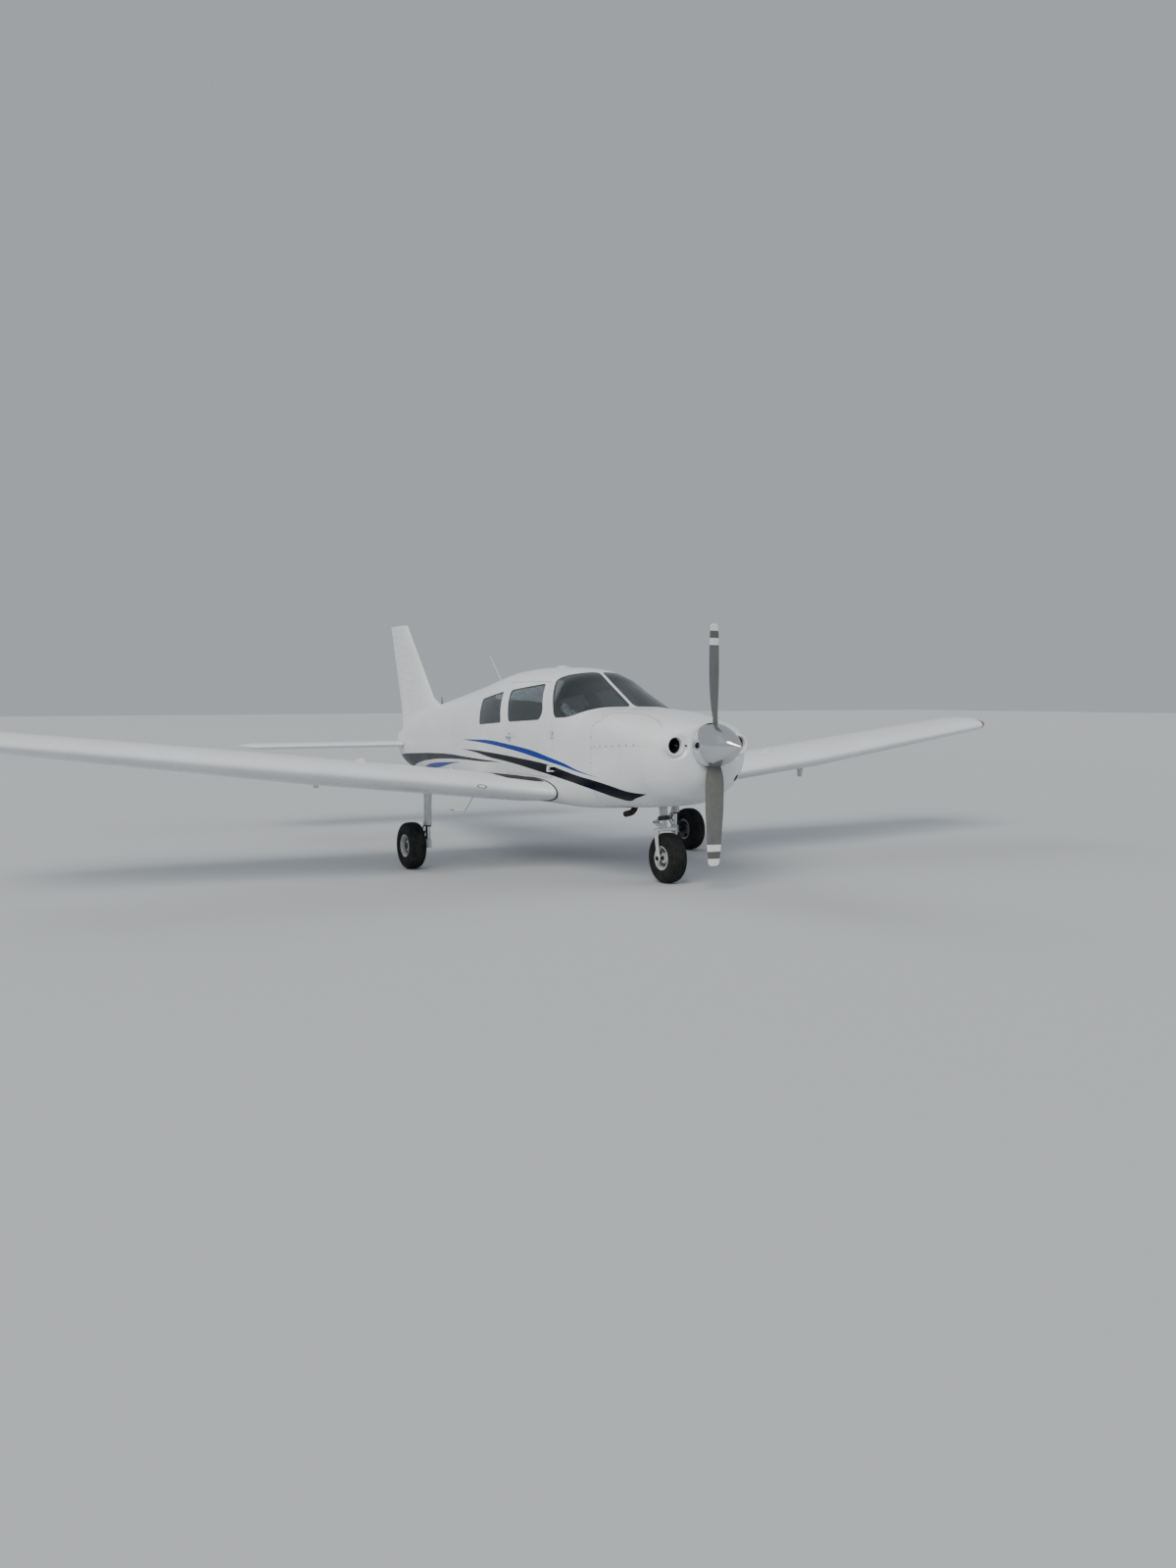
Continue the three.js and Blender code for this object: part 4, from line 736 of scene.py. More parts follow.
for side, label in ((1, "left"), (-1, "right")):
    rings = np.array(lip_rings + back_rings)
    grid_t = np.gradient(np.array(lip_rings), axis=0)
    grid_a = np.roll(np.array(lip_rings), -1, 1) - np.roll(np.array(lip_rings), 1, 1)
    smooth = np.cross(grid_t, grid_a)
    smooth /= np.maximum(np.linalg.norm(smooth, axis=2), 1e-12)[..., None]
    if np.sum(smooth[0] * foot_normals) < 0:
        smooth = -smooth
    smooth[0] = foot_normals
    rings[..., 1] *= side
    smooth[..., 1] *= side
    lip = ring_object(f"inlet_lip_{label}", rings, wrap=True, sharp_angle=60)
    lip.data.materials.append(cowl_paint)
    duct = ring_object(
        f"inlet_duct_{label}",
        [
            (axis_point + outward * r + lip_back - [back, 0, 0]) * [1, side, 1]
            for r, back in (
                (INLET_RADIUS, .031), (INLET_RADIUS * .98, .09), (INLET_RADIUS * .9, DUCT_DEPTH),
                (INLET_RADIUS * .94, DUCT_DEPTH + .002), (INLET_RADIUS * 1.03, .09),
                (INLET_RADIUS + .004, .031),
            )
        ],
        wrap=True,
    )
    # the duct takes the near-black painted shade
    duct.data.materials.append(duct_black)
    for piece in (lip, duct):
        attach(piece, "airframe")

# Propeller. Two forged aluminium blades, grey with white and grey bands at the tips, bolted to a hub behind
# the spinner. The spinner is a spun aluminium shell, polished, cut out around each blade.
HUB_X = 3.295
BLADES = np.array([  # reach, chord, thickness, pitch angle in degrees
    [.100, .080, .060, 58], [.178, .112, .046, 52], [.250, .140, .034, 43], [.320, .148, .028, 36],
    [.500, .146, .019, 25.5], [.700, .128, .014, 19], [.860, .110, .010, 15.5], [.930, .096, .008, 14.5],
    [.953, .084, .007, 14.2], [.965, .056, .005, 14],
])
BAND_STARTS = [.795, .850, .908]
SPINNER_BASE_X, SPINNER_TIP_X, SPINNER_RADIUS = 3.252, 3.6575, .178
OGIVE = np.array([[0, 1], [.1, .992], [.2, .97], [.32, .915], [.42, .835], [.53, .73], [.64, .6], [.75, .45],
                  [.84, .3], [.91, .18], [.96, .095], [.985, .04], [1, .004]])


def blade_ring(reach, chord, thickness, pitch, sign):
    """One blade section: flat-backed, with a round nose and a thin trailing edge."""
    share = (1 - np.cos(np.linspace(0, math.pi, 15))) / 2
    half = thickness * 1.9 * (np.sqrt(share) * (1 - share) ** 1.15 * 1.12 + .06 * (1 - share))
    across = (share - .45) * chord
    across = np.concatenate([across, across[-2:0:-1]])
    through = np.concatenate([half * .78, -half[-2:0:-1] * .34])
    turn = math.radians(pitch)
    x = HUB_X + across * math.sin(turn) + through * math.cos(turn)
    y = sign * (-across * math.cos(turn) + through * math.sin(turn))
    return np.stack([x, y, np.full(len(x), HUB_Z + sign * reach)], -1)


blade_paint, tree, shader = new_material("banded_blade_enamel", Roughness=.45)
place = add_node(tree, "TexCoord")
part = add_node(tree, "SeparateXYZ", links={0: place.outputs["Object"]})
height = add_node(tree, "Math", {"operation": "SUBTRACT", 1: HUB_Z}, {0: part.outputs[2]})
reach = add_node(tree, "Math", {"operation": "ABSOLUTE"}, {0: height})
wear = add_node(tree, "TexNoise", {"Scale": 22.0, "Detail": 4.0}, {"Vector": place.outputs["Object"]})
grey = add_node(
    tree, "Mix", {"data_type": "RGBA", 6: linear("#5A5C5A"), 7: linear("#6E706D")}, {0: wear},
).outputs[2]
for start, code in zip(BAND_STARTS, ("#E2E3E0", "#5A5C5A", "#E2E3E0")):
    past = add_node(tree, "Math", {"operation": "GREATER_THAN", 1: start}, {0: reach})
    grey = add_node(tree, "Mix", {"data_type": "RGBA", 7: linear(code)}, {0: past, 6: grey}).outputs[2]
tree.links.new(grey, shader.inputs["Base Color"])
set_gloss(shader, wear, (.3, .7), (.38, .55))
blade_steps = np.linspace(0, 1, 40)
blade_rows = [smooth_curve(np.linspace(0, 1, len(BLADES)), BLADES[:, k], blade_steps) for k in range(4)]
for sign, label in ((1, "one"), (-1, "two")):
    blade = ring_object(f"blade_{label}", [blade_ring(*row, sign) for row in zip(*blade_rows)])
    blade.data.materials.append(blade_paint)
    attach(blade, "propeller_unit")


def turned_object(name, outline, centre, axis="X", count=48, sharp_angle=30, arc=(0, 2 * math.pi)):
    """A solid of revolution: `outline` is a closed loop of (along, radius) pairs about an axis."""
    outline = np.array(outline, float)
    turn = np.linspace(*arc, count, endpoint=False)
    along = np.repeat(outline[:, 0][:, None], count, 1)
    one, two = outline[:, 1][:, None] * np.cos(turn), outline[:, 1][:, None] * np.sin(turn)
    order = {"X": (along, one, two), "Y": (two, along, one), "Z": (one, two, along)}[axis]
    rings = np.stack(order, -1) + np.array(centre)
    return ring_object(name, rings, wrap=True, sharp_angle=sharp_angle)


spun_aluminium, tree, shader = new_material(
    "spun_aluminium", Metallic=1.0, Base_Color=linear("#D6D8DA"), Roughness=.16,
)
place = add_node(tree, "TexCoord")
part = add_node(tree, "SeparateXYZ", links={0: place.outputs["Object"]})
rings_noise = add_node(
    tree, "TexNoise", {"noise_dimensions": "1D", "Scale": 900.0, "Detail": 2.0}, {"W": part.outputs[0]},
)
smears = add_node(tree, "TexNoise", {"Scale": 9.0, "Detail": 4.0}, {"Vector": place.outputs["Object"]})
set_gloss(shader, smears, (.35, .7), (.10, .26))
set_grain(shader, rings_noise, .12, .0002)


def spinner_place(pairs):
    """Points of the spinner for (length, girth) pairs, the girth measured at its base."""
    share = np.clip(pairs[..., 0] / (SPINNER_TIP_X - SPINNER_BASE_X), 0, 1)
    radius = SPINNER_RADIUS * smooth_curve(OGIVE[:, 0], OGIVE[:, 1], share)
    turn = pairs[..., 1] / SPINNER_RADIUS
    return np.stack(
        [SPINNER_BASE_X + pairs[..., 0], radius * np.cos(turn), HUB_Z + radius * np.sin(turn)], -1,
    )


CUT_REACH, CUT_WIDTH, CUT_LEAN, CUT_EDGE = .052, .064, .35, .004  # the holes for the blades
cut_loops = []
for middle, lean in ((.5 * math.pi, -CUT_LEAN), (1.5 * math.pi, CUT_LEAN)):
    cut_loop = []
    for t in np.linspace(0, 2 * math.pi, 24, endpoint=False):
        reach = CUT_REACH * math.cos(t)
        along = max(CUT_EDGE, HUB_X - SPINNER_BASE_X + reach)
        cut_loop.append((along, middle * SPINNER_RADIUS + CUT_WIDTH * math.sin(t) + lean * reach))
    cut_loops.append(cut_loop)
spinner_outline = box(0, 0, SPINNER_TIP_X - SPINNER_BASE_X - .003, 2 * math.pi * SPINNER_RADIUS)
spinner_shell = skin_sheet(
    "spinner_shell", spinner_outline, cut_loops, spinner_place, step=.018, depth=(0, .002), period=True,
)
back_plate = turned_object(
    "back_plate",
    [(-.012, .06), (-.012, .168), (-.002, .176), (.004, .176), (.006, .174), (.0, .160), (.0, .06)],
    (SPINNER_BASE_X - .004, 0, HUB_Z),
)
hub = turned_object(
    "hub_body", [(-.045, .02), (-.045, .07), (-.036, .085), (.04, .085), (.055, .072), (.06, .02)],
    (HUB_X, 0, HUB_Z),
)
hub_neck = [
    turned_object(
        f"blade_clamp_{label}",
        [(.05, .02), (.05, .045), (.135, .045), (.142, .040), (.142, .02)] if sign > 0 else [
            (-.142, .02), (-.142, .040), (-.135, .045), (-.05, .045), (-.05, .02),
        ],
        (HUB_X, 0, HUB_Z), axis="Z", count=32,
    )
    for sign, label in ((1, "one"), (-1, "two"))
]
for piece in (spinner_shell, back_plate, hub, *hub_neck):
    piece.data.materials.append(spun_aluminium)
    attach(piece, "propeller_unit")
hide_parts("spinner")
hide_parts("propeller")

# Wings. Riveted aluminium on a spar, with a leading edge tank, painted white. The nose sweeps forward at the
# root, and a thin black seal closes the joint to the body. The round tips are moulded.
# y, leading edge x, trailing edge x, leading edge z, nose-up angle in degrees, thickness share
WING = np.array([
    [.400, 1.740, -.140, .716, 3.2, .096], [.600, 1.730, -.130, .730, 3.2, .115],
    [.690, 1.640, -.126, .738, 3.2, .132], [1.050, 1.488, -.112, .774, 3.2, .150],
    [2.700, 1.488, -.112, .956, 3.2, .150], [5.215, 1.102, -.012, 1.232, 1.2, .150],
    [5.330, 1.052, -.030, 1.244, 1.2, .117], [5.388, .968, -.084, 1.251, 1.2, .065],
    [5.410, .850, -.170, 1.254, 1.2, .022],
])
CAMBER = .02
TIP_Y = 5.215
ROOT_Y, BODY_Y = .400, .600  # a section inside the body and the first one outside it
BAYS = {"flap": (.690, 2.620), "aileron": (2.760, 4.990)}
BAY_WALLS = ((.684, 2.626), (2.754, 4.996))  # 6 mm past the ends of the flap and the aileron
BAY_SPLIT_Y = 2.69
# the hinge's distance from the trailing edge
HINGE_DEPTH = {.690: .300, 2.620: .300, 2.760: .270, 4.990: .190}
BAY_GAP = .005
CUT_POINTS, NOSE_POINTS = 12, 26
RIB_SPACING, SPAR_SPACING = .335, .46


def wing_frame(level):
    """Leading edge, chord, nose-up sine and thickness share of the wing at a distance from the middle."""
    y = abs(level)
    tip = WING[WING[:, 0] >= TIP_Y]
    values = [
        smooth_curve(tip[:, 0], tip[:, k], y) if y > TIP_Y else np.interp(y, WING[:, 0], WING[:, k])
        for k in range(1, 6)
    ]
    nose_x, tail_x, z, angle, thickness = [float(v) for v in values]
    return nose_x, nose_x - tail_x, z, math.sin(math.radians(angle)), thickness, CAMBER


def half_thickness(share):
    return 5 * (
        .2969 * np.sqrt(share) - .126 * share - .3516 * share ** 2 + .2843 * share ** 3 - .1015 * share ** 4
    )


def skin_point(station, share, way):
    """(x, height) of the upper (way 1), lower (-1) or middle (0) surface at a share of the chord."""
    nose_x, chord, base, slope, thickness, camber = station
    share = np.asarray(share, float)
    lift = 4 * camber * share * (1 - share) + way * half_thickness(share) * thickness
    return np.stack([nose_x - share * chord, base + chord * (lift - share * slope)], -1)


def wing_hinge(level):
    y = abs(level)
    ends = BAYS["flap" if y < BAY_SPLIT_Y else "aileron"]
    points = []
    for end in ends:
        station = wing_frame(end)
        points.append(skin_point(station, 1 - HINGE_DEPTH[end] / station[1], 0))
    return points[0] + (points[1] - points[0]) * (y - ends[0]) / (ends[1] - ends[0])


def nose_fit(station, hinge):
    """Where the skins pass closest to the hinge: [(share, radius) of the upper, then the lower skin]."""
    shares = np.linspace(.25, .99, 600)
    found = []
    for way in (1, -1):
        reach = np.linalg.norm(skin_point(station, shares, way) - hinge, axis=1)
        found.append((shares[reach.argmin()], reach.min()))
    return found


def bay_cut(station, hinge):
    """The shares of the chord where the upper and the lower skin end ahead of a bay."""
    cuts = []
    for (share, radius), way in zip(nose_fit(station, hinge), (1, -1)):
        shares = np.linspace(share - .12, share, 300)
        reach = np.linalg.norm(skin_point(station, shares, way) - hinge, axis=1)
        cuts.append(float(shares[np.argmax(reach < radius + BAY_GAP)]))
    return cuts


def fixed_loops(station, cuts, hinge=None):
    """A section ahead of the cuts, the skins aft of them, and the bay's round wall if there is a hinge."""
    upper = skin_point(station, cuts[0] * (1 - np.cos(np.linspace(math.pi / 2, 0, NOSE_POINTS))), 1)
    lower = skin_point(station, cuts[1] * (1 - np.cos(np.linspace(0, math.pi / 2, NOSE_POINTS))), -1)[1:]
    tail_low = skin_point(station, np.linspace(cuts[1], 1, CUT_POINTS + 1), -1)[1:]
    tail_up = skin_point(station, np.linspace(1, cuts[0], CUT_POINTS + 1), 1)[:-1]
    front = np.concatenate([upper, lower])
    loops = {"front": front, "tail": np.concatenate([tail_low, tail_up])}
    if hinge is not None:
        low_arm, up_arm = front[-1] - hinge, front[0] - hinge
        turn = np.linspace(math.atan2(low_arm[1], low_arm[0]), math.atan2(up_arm[1], up_arm[0]), 14)[1:-1]
        radius = np.linspace(np.linalg.norm(low_arm), np.linalg.norm(up_arm), 14)[1:-1]
        loops["bay"] = hinge + np.stack([radius * np.cos(turn), radius * np.sin(turn)], -1)
    return loops


def bay_solid(name, levels, place, uv_of):
    """A lofted solid with bays. `levels` are (level, loops, kind of the part that follows); `place` puts a
    section's points in space."""
    verts, faces, rows = [], [], []
    for level, loops, _ in levels:
        row = {}
        for key, loop in loops.items():
            row[key] = len(verts) + np.arange(len(loop))
            verts += list(place(level, loop))
        rows.append(row)

    def closing(row, kind):
        return [row["front"][-1], *row[kind], row["front"][0]]

    for (row, (_, _, kind)), after in zip(zip(rows, levels), rows[1:]):
        for one, two in ((row["front"], after["front"]), (closing(row, kind), closing(after, kind))):
            faces += [(one[i], one[i + 1], two[i + 1], two[i]) for i in range(len(one) - 1)]
    first, last = levels[0][2], levels[-2][2]
    faces.append([*rows[0]["front"], *rows[0][first]][::-1])
    faces.append([*rows[-1]["front"], *rows[-1][last]])
    for i in range(1, len(levels) - 1):
        before, after = levels[i - 1][2], levels[i][2]
        if before != after:
            step = closing(rows[i], "tail") + [int(v) for v in rows[i]["bay"][::-1]]
            faces.append(step if before == "tail" else step[::-1])
    verts = np.array(verts)
    used = np.unique(np.concatenate([np.ravel(f) for f in faces]))
    new = np.full(len(verts), -1)
    new[used] = np.arange(len(used))
    faces = [new[np.array(f)] for f in faces]
    verts = verts[used]
    uv = uv_of(verts)
    obj = add_object(name, verts, faces, np.concatenate([uv[f] for f in faces]), sharp_angle=35)
    quads = [f for f in faces if len(f) == 4]
    volume = sum(
        np.dot(verts[f[0]], np.cross(verts[f[1]], verts[f[2]]) + np.cross(verts[f[2]], verts[f[3]]))
        for f in quads
    )
    if volume < 0:
        obj.data.flip_normals()
    return obj


def hull_half_width(x, z):
    """The half width of the body at (x, z), or 0 above or below it."""
    low, high, waist, half, up, down = hull_section(x)
    share = np.clip(np.where(z > waist, (z - waist) / (high - waist), (waist - z) / (waist - low)), 0, 1)
    power = np.where(z > waist, up, down)
    return half * (1 - share ** power) ** (1 / power)


def root_points(loop_of, side):
    """The points where the wing's skin lines meet the body, just inside its skin."""
    near, far = [np.array(loop_of(y)) for y in (ROOT_Y, BODY_Y)]
    y = np.full(len(near), (ROOT_Y + BODY_Y) / 2)
    for _ in range(60):
        share = ((y - ROOT_Y) / (BODY_Y - ROOT_Y))[:, None]
        point = near * (1 - share) + far * share
        y = .5 * y + .5 * np.maximum(hull_half_width(point[:, 0], point[:, 1]) - .004, ROOT_Y + .01)
    return np.stack([point[:, 0], side * y, point[:, 1]], -1)


def wing_cuts(y):
    """Where the skins end at a level; between and beyond the bays the nearest bay ends decide."""
    y = min(max(y, BAYS["flap"][0]), BAYS["aileron"][1])
    walls = (BAY_WALLS[0][1], BAY_WALLS[1][0])
    if walls[0] < y < walls[1]:
        return [float(np.interp(y, walls, cuts)) for cuts in zip(*[wing_cuts(wall) for wall in walls])]
    return bay_cut(wing_frame(y), wing_hinge(y))


root_cuts = wing_cuts(ROOT_Y)


wing_paint = sprayed_paint("two_pack_paint_wing", rows=[(1, 0, RIB_SPACING), (0, 1, SPAR_SPACING)], waves=.6)
WING_LEVELS = (ROOT_Y, BODY_Y, .684, 1.050, 1.600, 2.100, 2.626, 2.700, 2.754, 3.300, 3.900, 4.500, 4.996,
               5.215, 5.255, 5.290, 5.320, 5.345, 5.365, 5.382, 5.395, 5.404, 5.410)
levels = []
for y in WING_LEVELS:
    in_bay = any(start <= y <= end for start, end in BAY_WALLS)
    loops = fixed_loops(wing_frame(y), wing_cuts(y), wing_hinge(y) if in_bay else None)
    levels.append((y, loops, "bay" if any(start <= y < end for start, end in BAY_WALLS) else "tail"))


def root_line(key, side):
    return root_points(lambda y: fixed_loops(wing_frame(y), root_cuts)[key], side)


def wing_place(y, loop, side):
    if y == ROOT_Y:
        return root_line("front" if len(loop) > 2 * CUT_POINTS else "tail", side)
    return [(x, side * y, z) for x, z in loop]


def wing_uv(verts):
    return np.stack([np.array([wing_frame(v[1])[0] for v in verts]) - verts[:, 0], np.abs(verts[:, 1])], -1)


for side, label in ((1, "left"), (-1, "right")):
    wing = bay_solid(f"wing_skin_{label}", levels, lambda y, loop: wing_place(y, loop, side), wing_uv)
    wing.data.materials.append(wing_paint)
    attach(wing, "airframe")
    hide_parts(f"wing_{label}")


# Flaps and ailerons. Beaded aluminium sheet riveted at the trailing edge, each on pins in the ends of its
# bay.
BEAD_HEIGHT, BEAD_HALF_WIDTH, BEAD_PITCH = .0028, .014, .145
PIN_RADIUS, PIN_REACH = .008, .0047
PIN_ROOT = .009  # how far a pin starts inside its control
CUT_BACK = {"flap": (0, .007), "aileron": (.0065, 0)}  # the hinges lean, so these ends swing out as they turn
AXIS_HOLE = .0005  # a turned solid keeps this hair-thin hole along its axis


def tube_profile(start, end, inner, outer):
    """The outline of a plain tube for turned_object."""
    return [(start, inner), (start, outer), (end, outer), (end, inner)]


def add_uv(piece, uv_of):
    """Gives a piece the pairs that `uv_of` finds for its vertices."""
    points = np.array([v.co for v in piece.data.vertices])
    corner = np.array([loop.vertex_index for loop in piece.data.loops])
    layer = piece.data.uv_layers.new(name="sheet")
    layer.data.foreach_set("uv", uv_of(points)[corner].astype(np.float32).ravel())


def control_loop(station, hinge, lift):
    """A control surface's section: upper skin from the hinge aft, lower skin forward, and the round nose."""
    (up, up_radius), (low, low_radius) = nose_fit(station, hinge)
    upper_share, lower_share = np.linspace(up, 1, 13), np.linspace(1, low, 13)
    upper, lower = skin_point(station, upper_share, 1), skin_point(station, lower_share, -1)
    for points, share, way in ((upper, upper_share, 1), (lower, lower_share, -1)):
        fade = np.clip(np.minimum((share - up) / (1 - up) - .1, .93 - (share - up) / (1 - up)) / .08, 0, 1)
        points[:, 1] += way * lift * fade
    low_arm, up_arm = lower[-1] - hinge, upper[0] - hinge
    turn = np.linspace(math.atan2(low_arm[1], low_arm[0]), math.atan2(up_arm[1], up_arm[0]), 16)[1:-1]
    radius = np.linspace(low_radius, up_radius, 16)[1:-1]
    return np.concatenate([
        upper, lower, hinge + np.stack([radius * np.cos(turn), radius * np.sin(turn)], -1),
    ])


def beaded_levels(start, end, pitch):
    """Levels along a control surface with the height of the sheet's beads at each."""
    count = max(1, round((end - start) / pitch))
    levels = [(start, 0.0)]
    for i in range(count):
        middle = start + (i + .5) * (end - start) / count
        levels += [
            (middle + d * BEAD_HALF_WIDTH, BEAD_HEIGHT * h)
            for d, h in ((-1, 0), (-.5, .5), (0, 1), (.5, .5), (1, 0))
        ]
    return [*levels, (end, 0.0)]


control_paint = sprayed_paint("two_pack_paint_control", rows=[(0, 1, .27)], waves=.25)
for side, label in ((1, "left"), (-1, "right")):
    for kind, (start, end) in BAYS.items():
        rings = []
        for y, lift in beaded_levels(start + CUT_BACK[kind][0], end - CUT_BACK[kind][1], BEAD_PITCH):
            loop = control_loop(wing_frame(y), wing_hinge(y), lift)
            rings.append([(x, side * y, z) for x, z in loop])
        surface = ring_object(f"{kind}_skin_{label}", rings, sharp_angle=35)
        add_uv(surface, wing_uv)
        surface.data.materials.append(control_paint)
        pins = []
        for y, way in ((start, -1), (end, 1)):
            x, z = wing_hinge(y)
            pin = tube_profile(-side * way * PIN_ROOT, side * way * PIN_REACH, AXIS_HOLE, PIN_RADIUS)
            pin_name = f"{kind}_pin_{label}_{'inner' if way < 0 else 'outer'}"
            pins.append(turned_object(pin_name, pin, (x, side * y, z), axis="Y", count=16))
            pins[-1].data.materials.append(spun_aluminium)
        for piece in (surface, *pins):
            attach(piece, f"{kind}_left_unit" if side > 0 else f"{kind}_right_unit")
        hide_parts(f"{kind}_{label}")

# Fin and rudder. Sheet aluminium; the rudder and the rear of the fin are stiffened by beads that run fore
# and aft. A low fillet leads from the cone up to the fin. The rudder turns on a pin in the cone and on a
# bracket above.
FIN = np.array([  # height, leading edge x, trailing edge x, thickness share
    [1.050, -1.900, -3.252, .075], [1.467, -2.138, -3.335, .085], [1.545, -2.338, -3.361, .090],
    [2.365, -3.086, -3.638, .090], [2.400, -3.112, -3.650, .080], [2.416, -3.150, -3.654, .050],
])
FIN_TOP_Z = 2.365
RUDDER_LINE = ((-3.107, 1.168), (-3.364, 2.440))
RUDDER_FOOT_Z = 1.150
FIN_BEADS_LOW_Z, FIN_BEADS_HIGH_Z = 1.60, 2.33
TIP_HEIGHTS = (2.365, 2.380, 2.392, 2.402, 2.410, 2.416)
FIN_BEAD_PITCH, RUDDER_BEAD_PITCH = .110, .087


def fin_frame(z):
    rounding = FIN[FIN[:, 0] >= FIN_TOP_Z]
    values = [
        smooth_curve(
            rounding[:, 0], rounding[:, k], z,
        ) if z > FIN_TOP_Z else np.interp(z, FIN[:, 0], FIN[:, k])
        for k in (1, 2, 3)
    ]
    nose_x, tail_x, thickness = [float(v) for v in values]
    return nose_x, nose_x - tail_x, 0.0, 0.0, thickness, 0.0


def rudder_hinge(z):
    (x0, z0), (x1, z1) = RUDDER_LINE
    return np.array([x0 + (x1 - x0) * (z - z0) / (z1 - z0), 0.0])


def tail_uv(verts):
    return verts[:, [0, 2]]


tail_paint = sprayed_paint("two_pack_paint_tail", rows=[(0, 1, .31), (1, 0, .22)], waves=.35)
fin_lift = {round(z, 4): lift for z, lift in beaded_levels(FIN_BEADS_LOW_Z, FIN_BEADS_HIGH_Z, FIN_BEAD_PITCH)}
levels = []
for z in sorted({1.055, 1.200, 1.400, 1.450, 1.475, 1.500, 1.525, 1.545, *TIP_HEIGHTS, *fin_lift}):
    station, hinge = fin_frame(z), rudder_hinge(z)
    loops = fixed_loops(station, bay_cut(station, hinge), hinge)
    front = loops["front"]
    share = (station[0] - front[:, 0]) / station[1]
    fade = np.clip(np.minimum(share - .30, share.max() - .03 - share) / .04, 0, 1)
    front[:, 1] += np.where(front[:, 1] > 0, 1, -1) * fin_lift.get(z, 0.0) * fade
    levels.append((z, loops, "bay"))
fin_skin = bay_solid("fin_skin", levels, lambda z, loop: [(x, y, z) for x, y in loop], tail_uv)
rudder_rings = []
for z, lift in [*beaded_levels(RUDDER_FOOT_Z, 2.35, RUDDER_BEAD_PITCH), *[(z, 0.0) for z in TIP_HEIGHTS]]:
    rudder_rings.append([(x, y, z) for x, y in control_loop(fin_frame(z), rudder_hinge(z), lift)])
rudder_skin = ring_object("rudder_skin", rudder_rings, sharp_angle=35)
add_uv(rudder_skin, tail_uv)
for piece, body, node_name in ((fin_skin, "airframe", "fin"), (rudder_skin, "rudder_unit", "rudder")):
    piece.data.materials.append(tail_paint)
    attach(piece, body)
    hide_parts(node_name)

# End of the tail cone. A shelf and a wall close the notch under the rudder, and a moulded cap closes the end.
# The rudder's foot stands on a pin.
wall_heights = np.linspace(SHELF_Z, float(hull_section(SHELF_X)[1]) - .004, 8)
wall_half = hull_half_width(np.full(8, SHELF_X), wall_heights) - .003
wall_edge = [(SHELF_X, y, z) for y, z in zip(wall_half, wall_heights)]
wall_edge += [(x, -y, z) for x, y, z in wall_edge[::-1]]
wall = ring_object("notch_wall", [[(x + step, y, z) for x, y, z in wall_edge] for step in (0, .004)])
shelf_half = hull_half_width(shelf_stations, np.full(12, SHELF_Z - .001)) - .002
shelf = ring_object(
    "notch_shelf",
    [
        [(x, y, z) for y, z in box(-half, SHELF_Z, half, SHELF_Z - .004)]
        for x, half in zip(shelf_stations, shelf_half)
    ],
)
cap_turn = np.linspace(BOTTOM, TOP, 48, endpoint=False)
cap_ring = hull_place(np.stack([np.full(48, CONE_END_X), cap_turn], -1))
cap_middle = (cap_ring.max(0) + cap_ring.min(0)) / 2
cap_rings = []
for reach, back in ((1, -.0015), (1, 0), (.95, .006), (.8, .011), (.5, .015), (.1, .016)):
    ring = cap_middle + (cap_ring - cap_middle) * reach
    ring[:, 0] = CONE_END_X - back
    cap_rings.append(ring)
end_cap = ring_object("cone_end_cap", cap_rings, sharp_angle=50)
foot_x = rudder_hinge(RUDDER_FOOT_Z - .02)[0]
PIN_STEPS = [
    (-.030, AXIS_HOLE), (-.030, .020), (-.013, .020), (-.013, .008), (-.0016, .008), (-.0016, AXIS_HOLE),
]
rudder_pin = turned_object("rudder_pin", PIN_STEPS, (foot_x, 0, RUDDER_FOOT_Z), axis="Z", count=20)
for piece in (wall, shelf, end_cap):
    piece.data.materials.append(side_paint)
rudder_pin.data.materials.append(spun_aluminium)
for piece in (wall, shelf, end_cap, rudder_pin):
    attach(piece, "airframe")

# Stabilator. The whole tail plane turns on a steel tube through the cone; its tips are moulded, and a trim
# tab is hinged along its trailing edge. y, leading edge x, trailing edge x, thickness share
STABILATOR = np.array([
    [0, -2.918, -3.6575, .100], [1.860, -2.918, -3.6575, .100], [1.895, -2.924, -3.6555, .094],
    [1.925, -2.940, -3.6485, .080], [1.945, -2.965, -3.634, .058], [1.955, -2.990, -3.618, .040],
    [1.960, -3.010, -3.6035, .022],
])
PIVOT_X, PIVOT_Z, TUBE_RADIUS, TUBE_BORE, TUBE_REACH = -3.108, .990, .028, .022, .175
TAB_HALF_SPAN, TAB_HINGE_X = .960, -3.540
NOTCH = [(-2.800, .160), (-2.918, .152), (-3.250, .096), (-3.400, .048), (-3.7, .048)]
STABILATOR_BEAD_PITCH = .20


def stabilator_frame(y):
    nose_x, tail_x, thickness = [
        float(np.interp(abs(y), STABILATOR[:, 0], STABILATOR[:, k]))
        for k in (1, 2, 3)
    ]
    return nose_x, nose_x - tail_x, PIVOT_Z, 0.0, thickness, 0.0


def stabilator_section(y, aft_share, lift=0.0):
    """The section from its nose back to a share of its chord."""
    station = stabilator_frame(y)
    lead = 1 - np.cos(np.linspace(0, math.pi / 2, 18))
    shares = np.unique(np.round(np.concatenate([aft_share * lead, np.linspace(.3, aft_share, 8)]), 6))
    fade = np.clip(np.minimum(shares - .30, .95 * aft_share - shares) / .05, 0, 1)
    upper, lower = skin_point(station, shares[::-1], 1), skin_point(station, shares[1:], -1)
    upper[:, 1] += lift * fade[::-1]
    lower[:, 1] -= lift * fade[1:]
    return np.concatenate([upper, lower])


def notch_half_width(x):
    at, half = np.array(NOTCH)[::-1].T
    return np.interp(x, at, half)


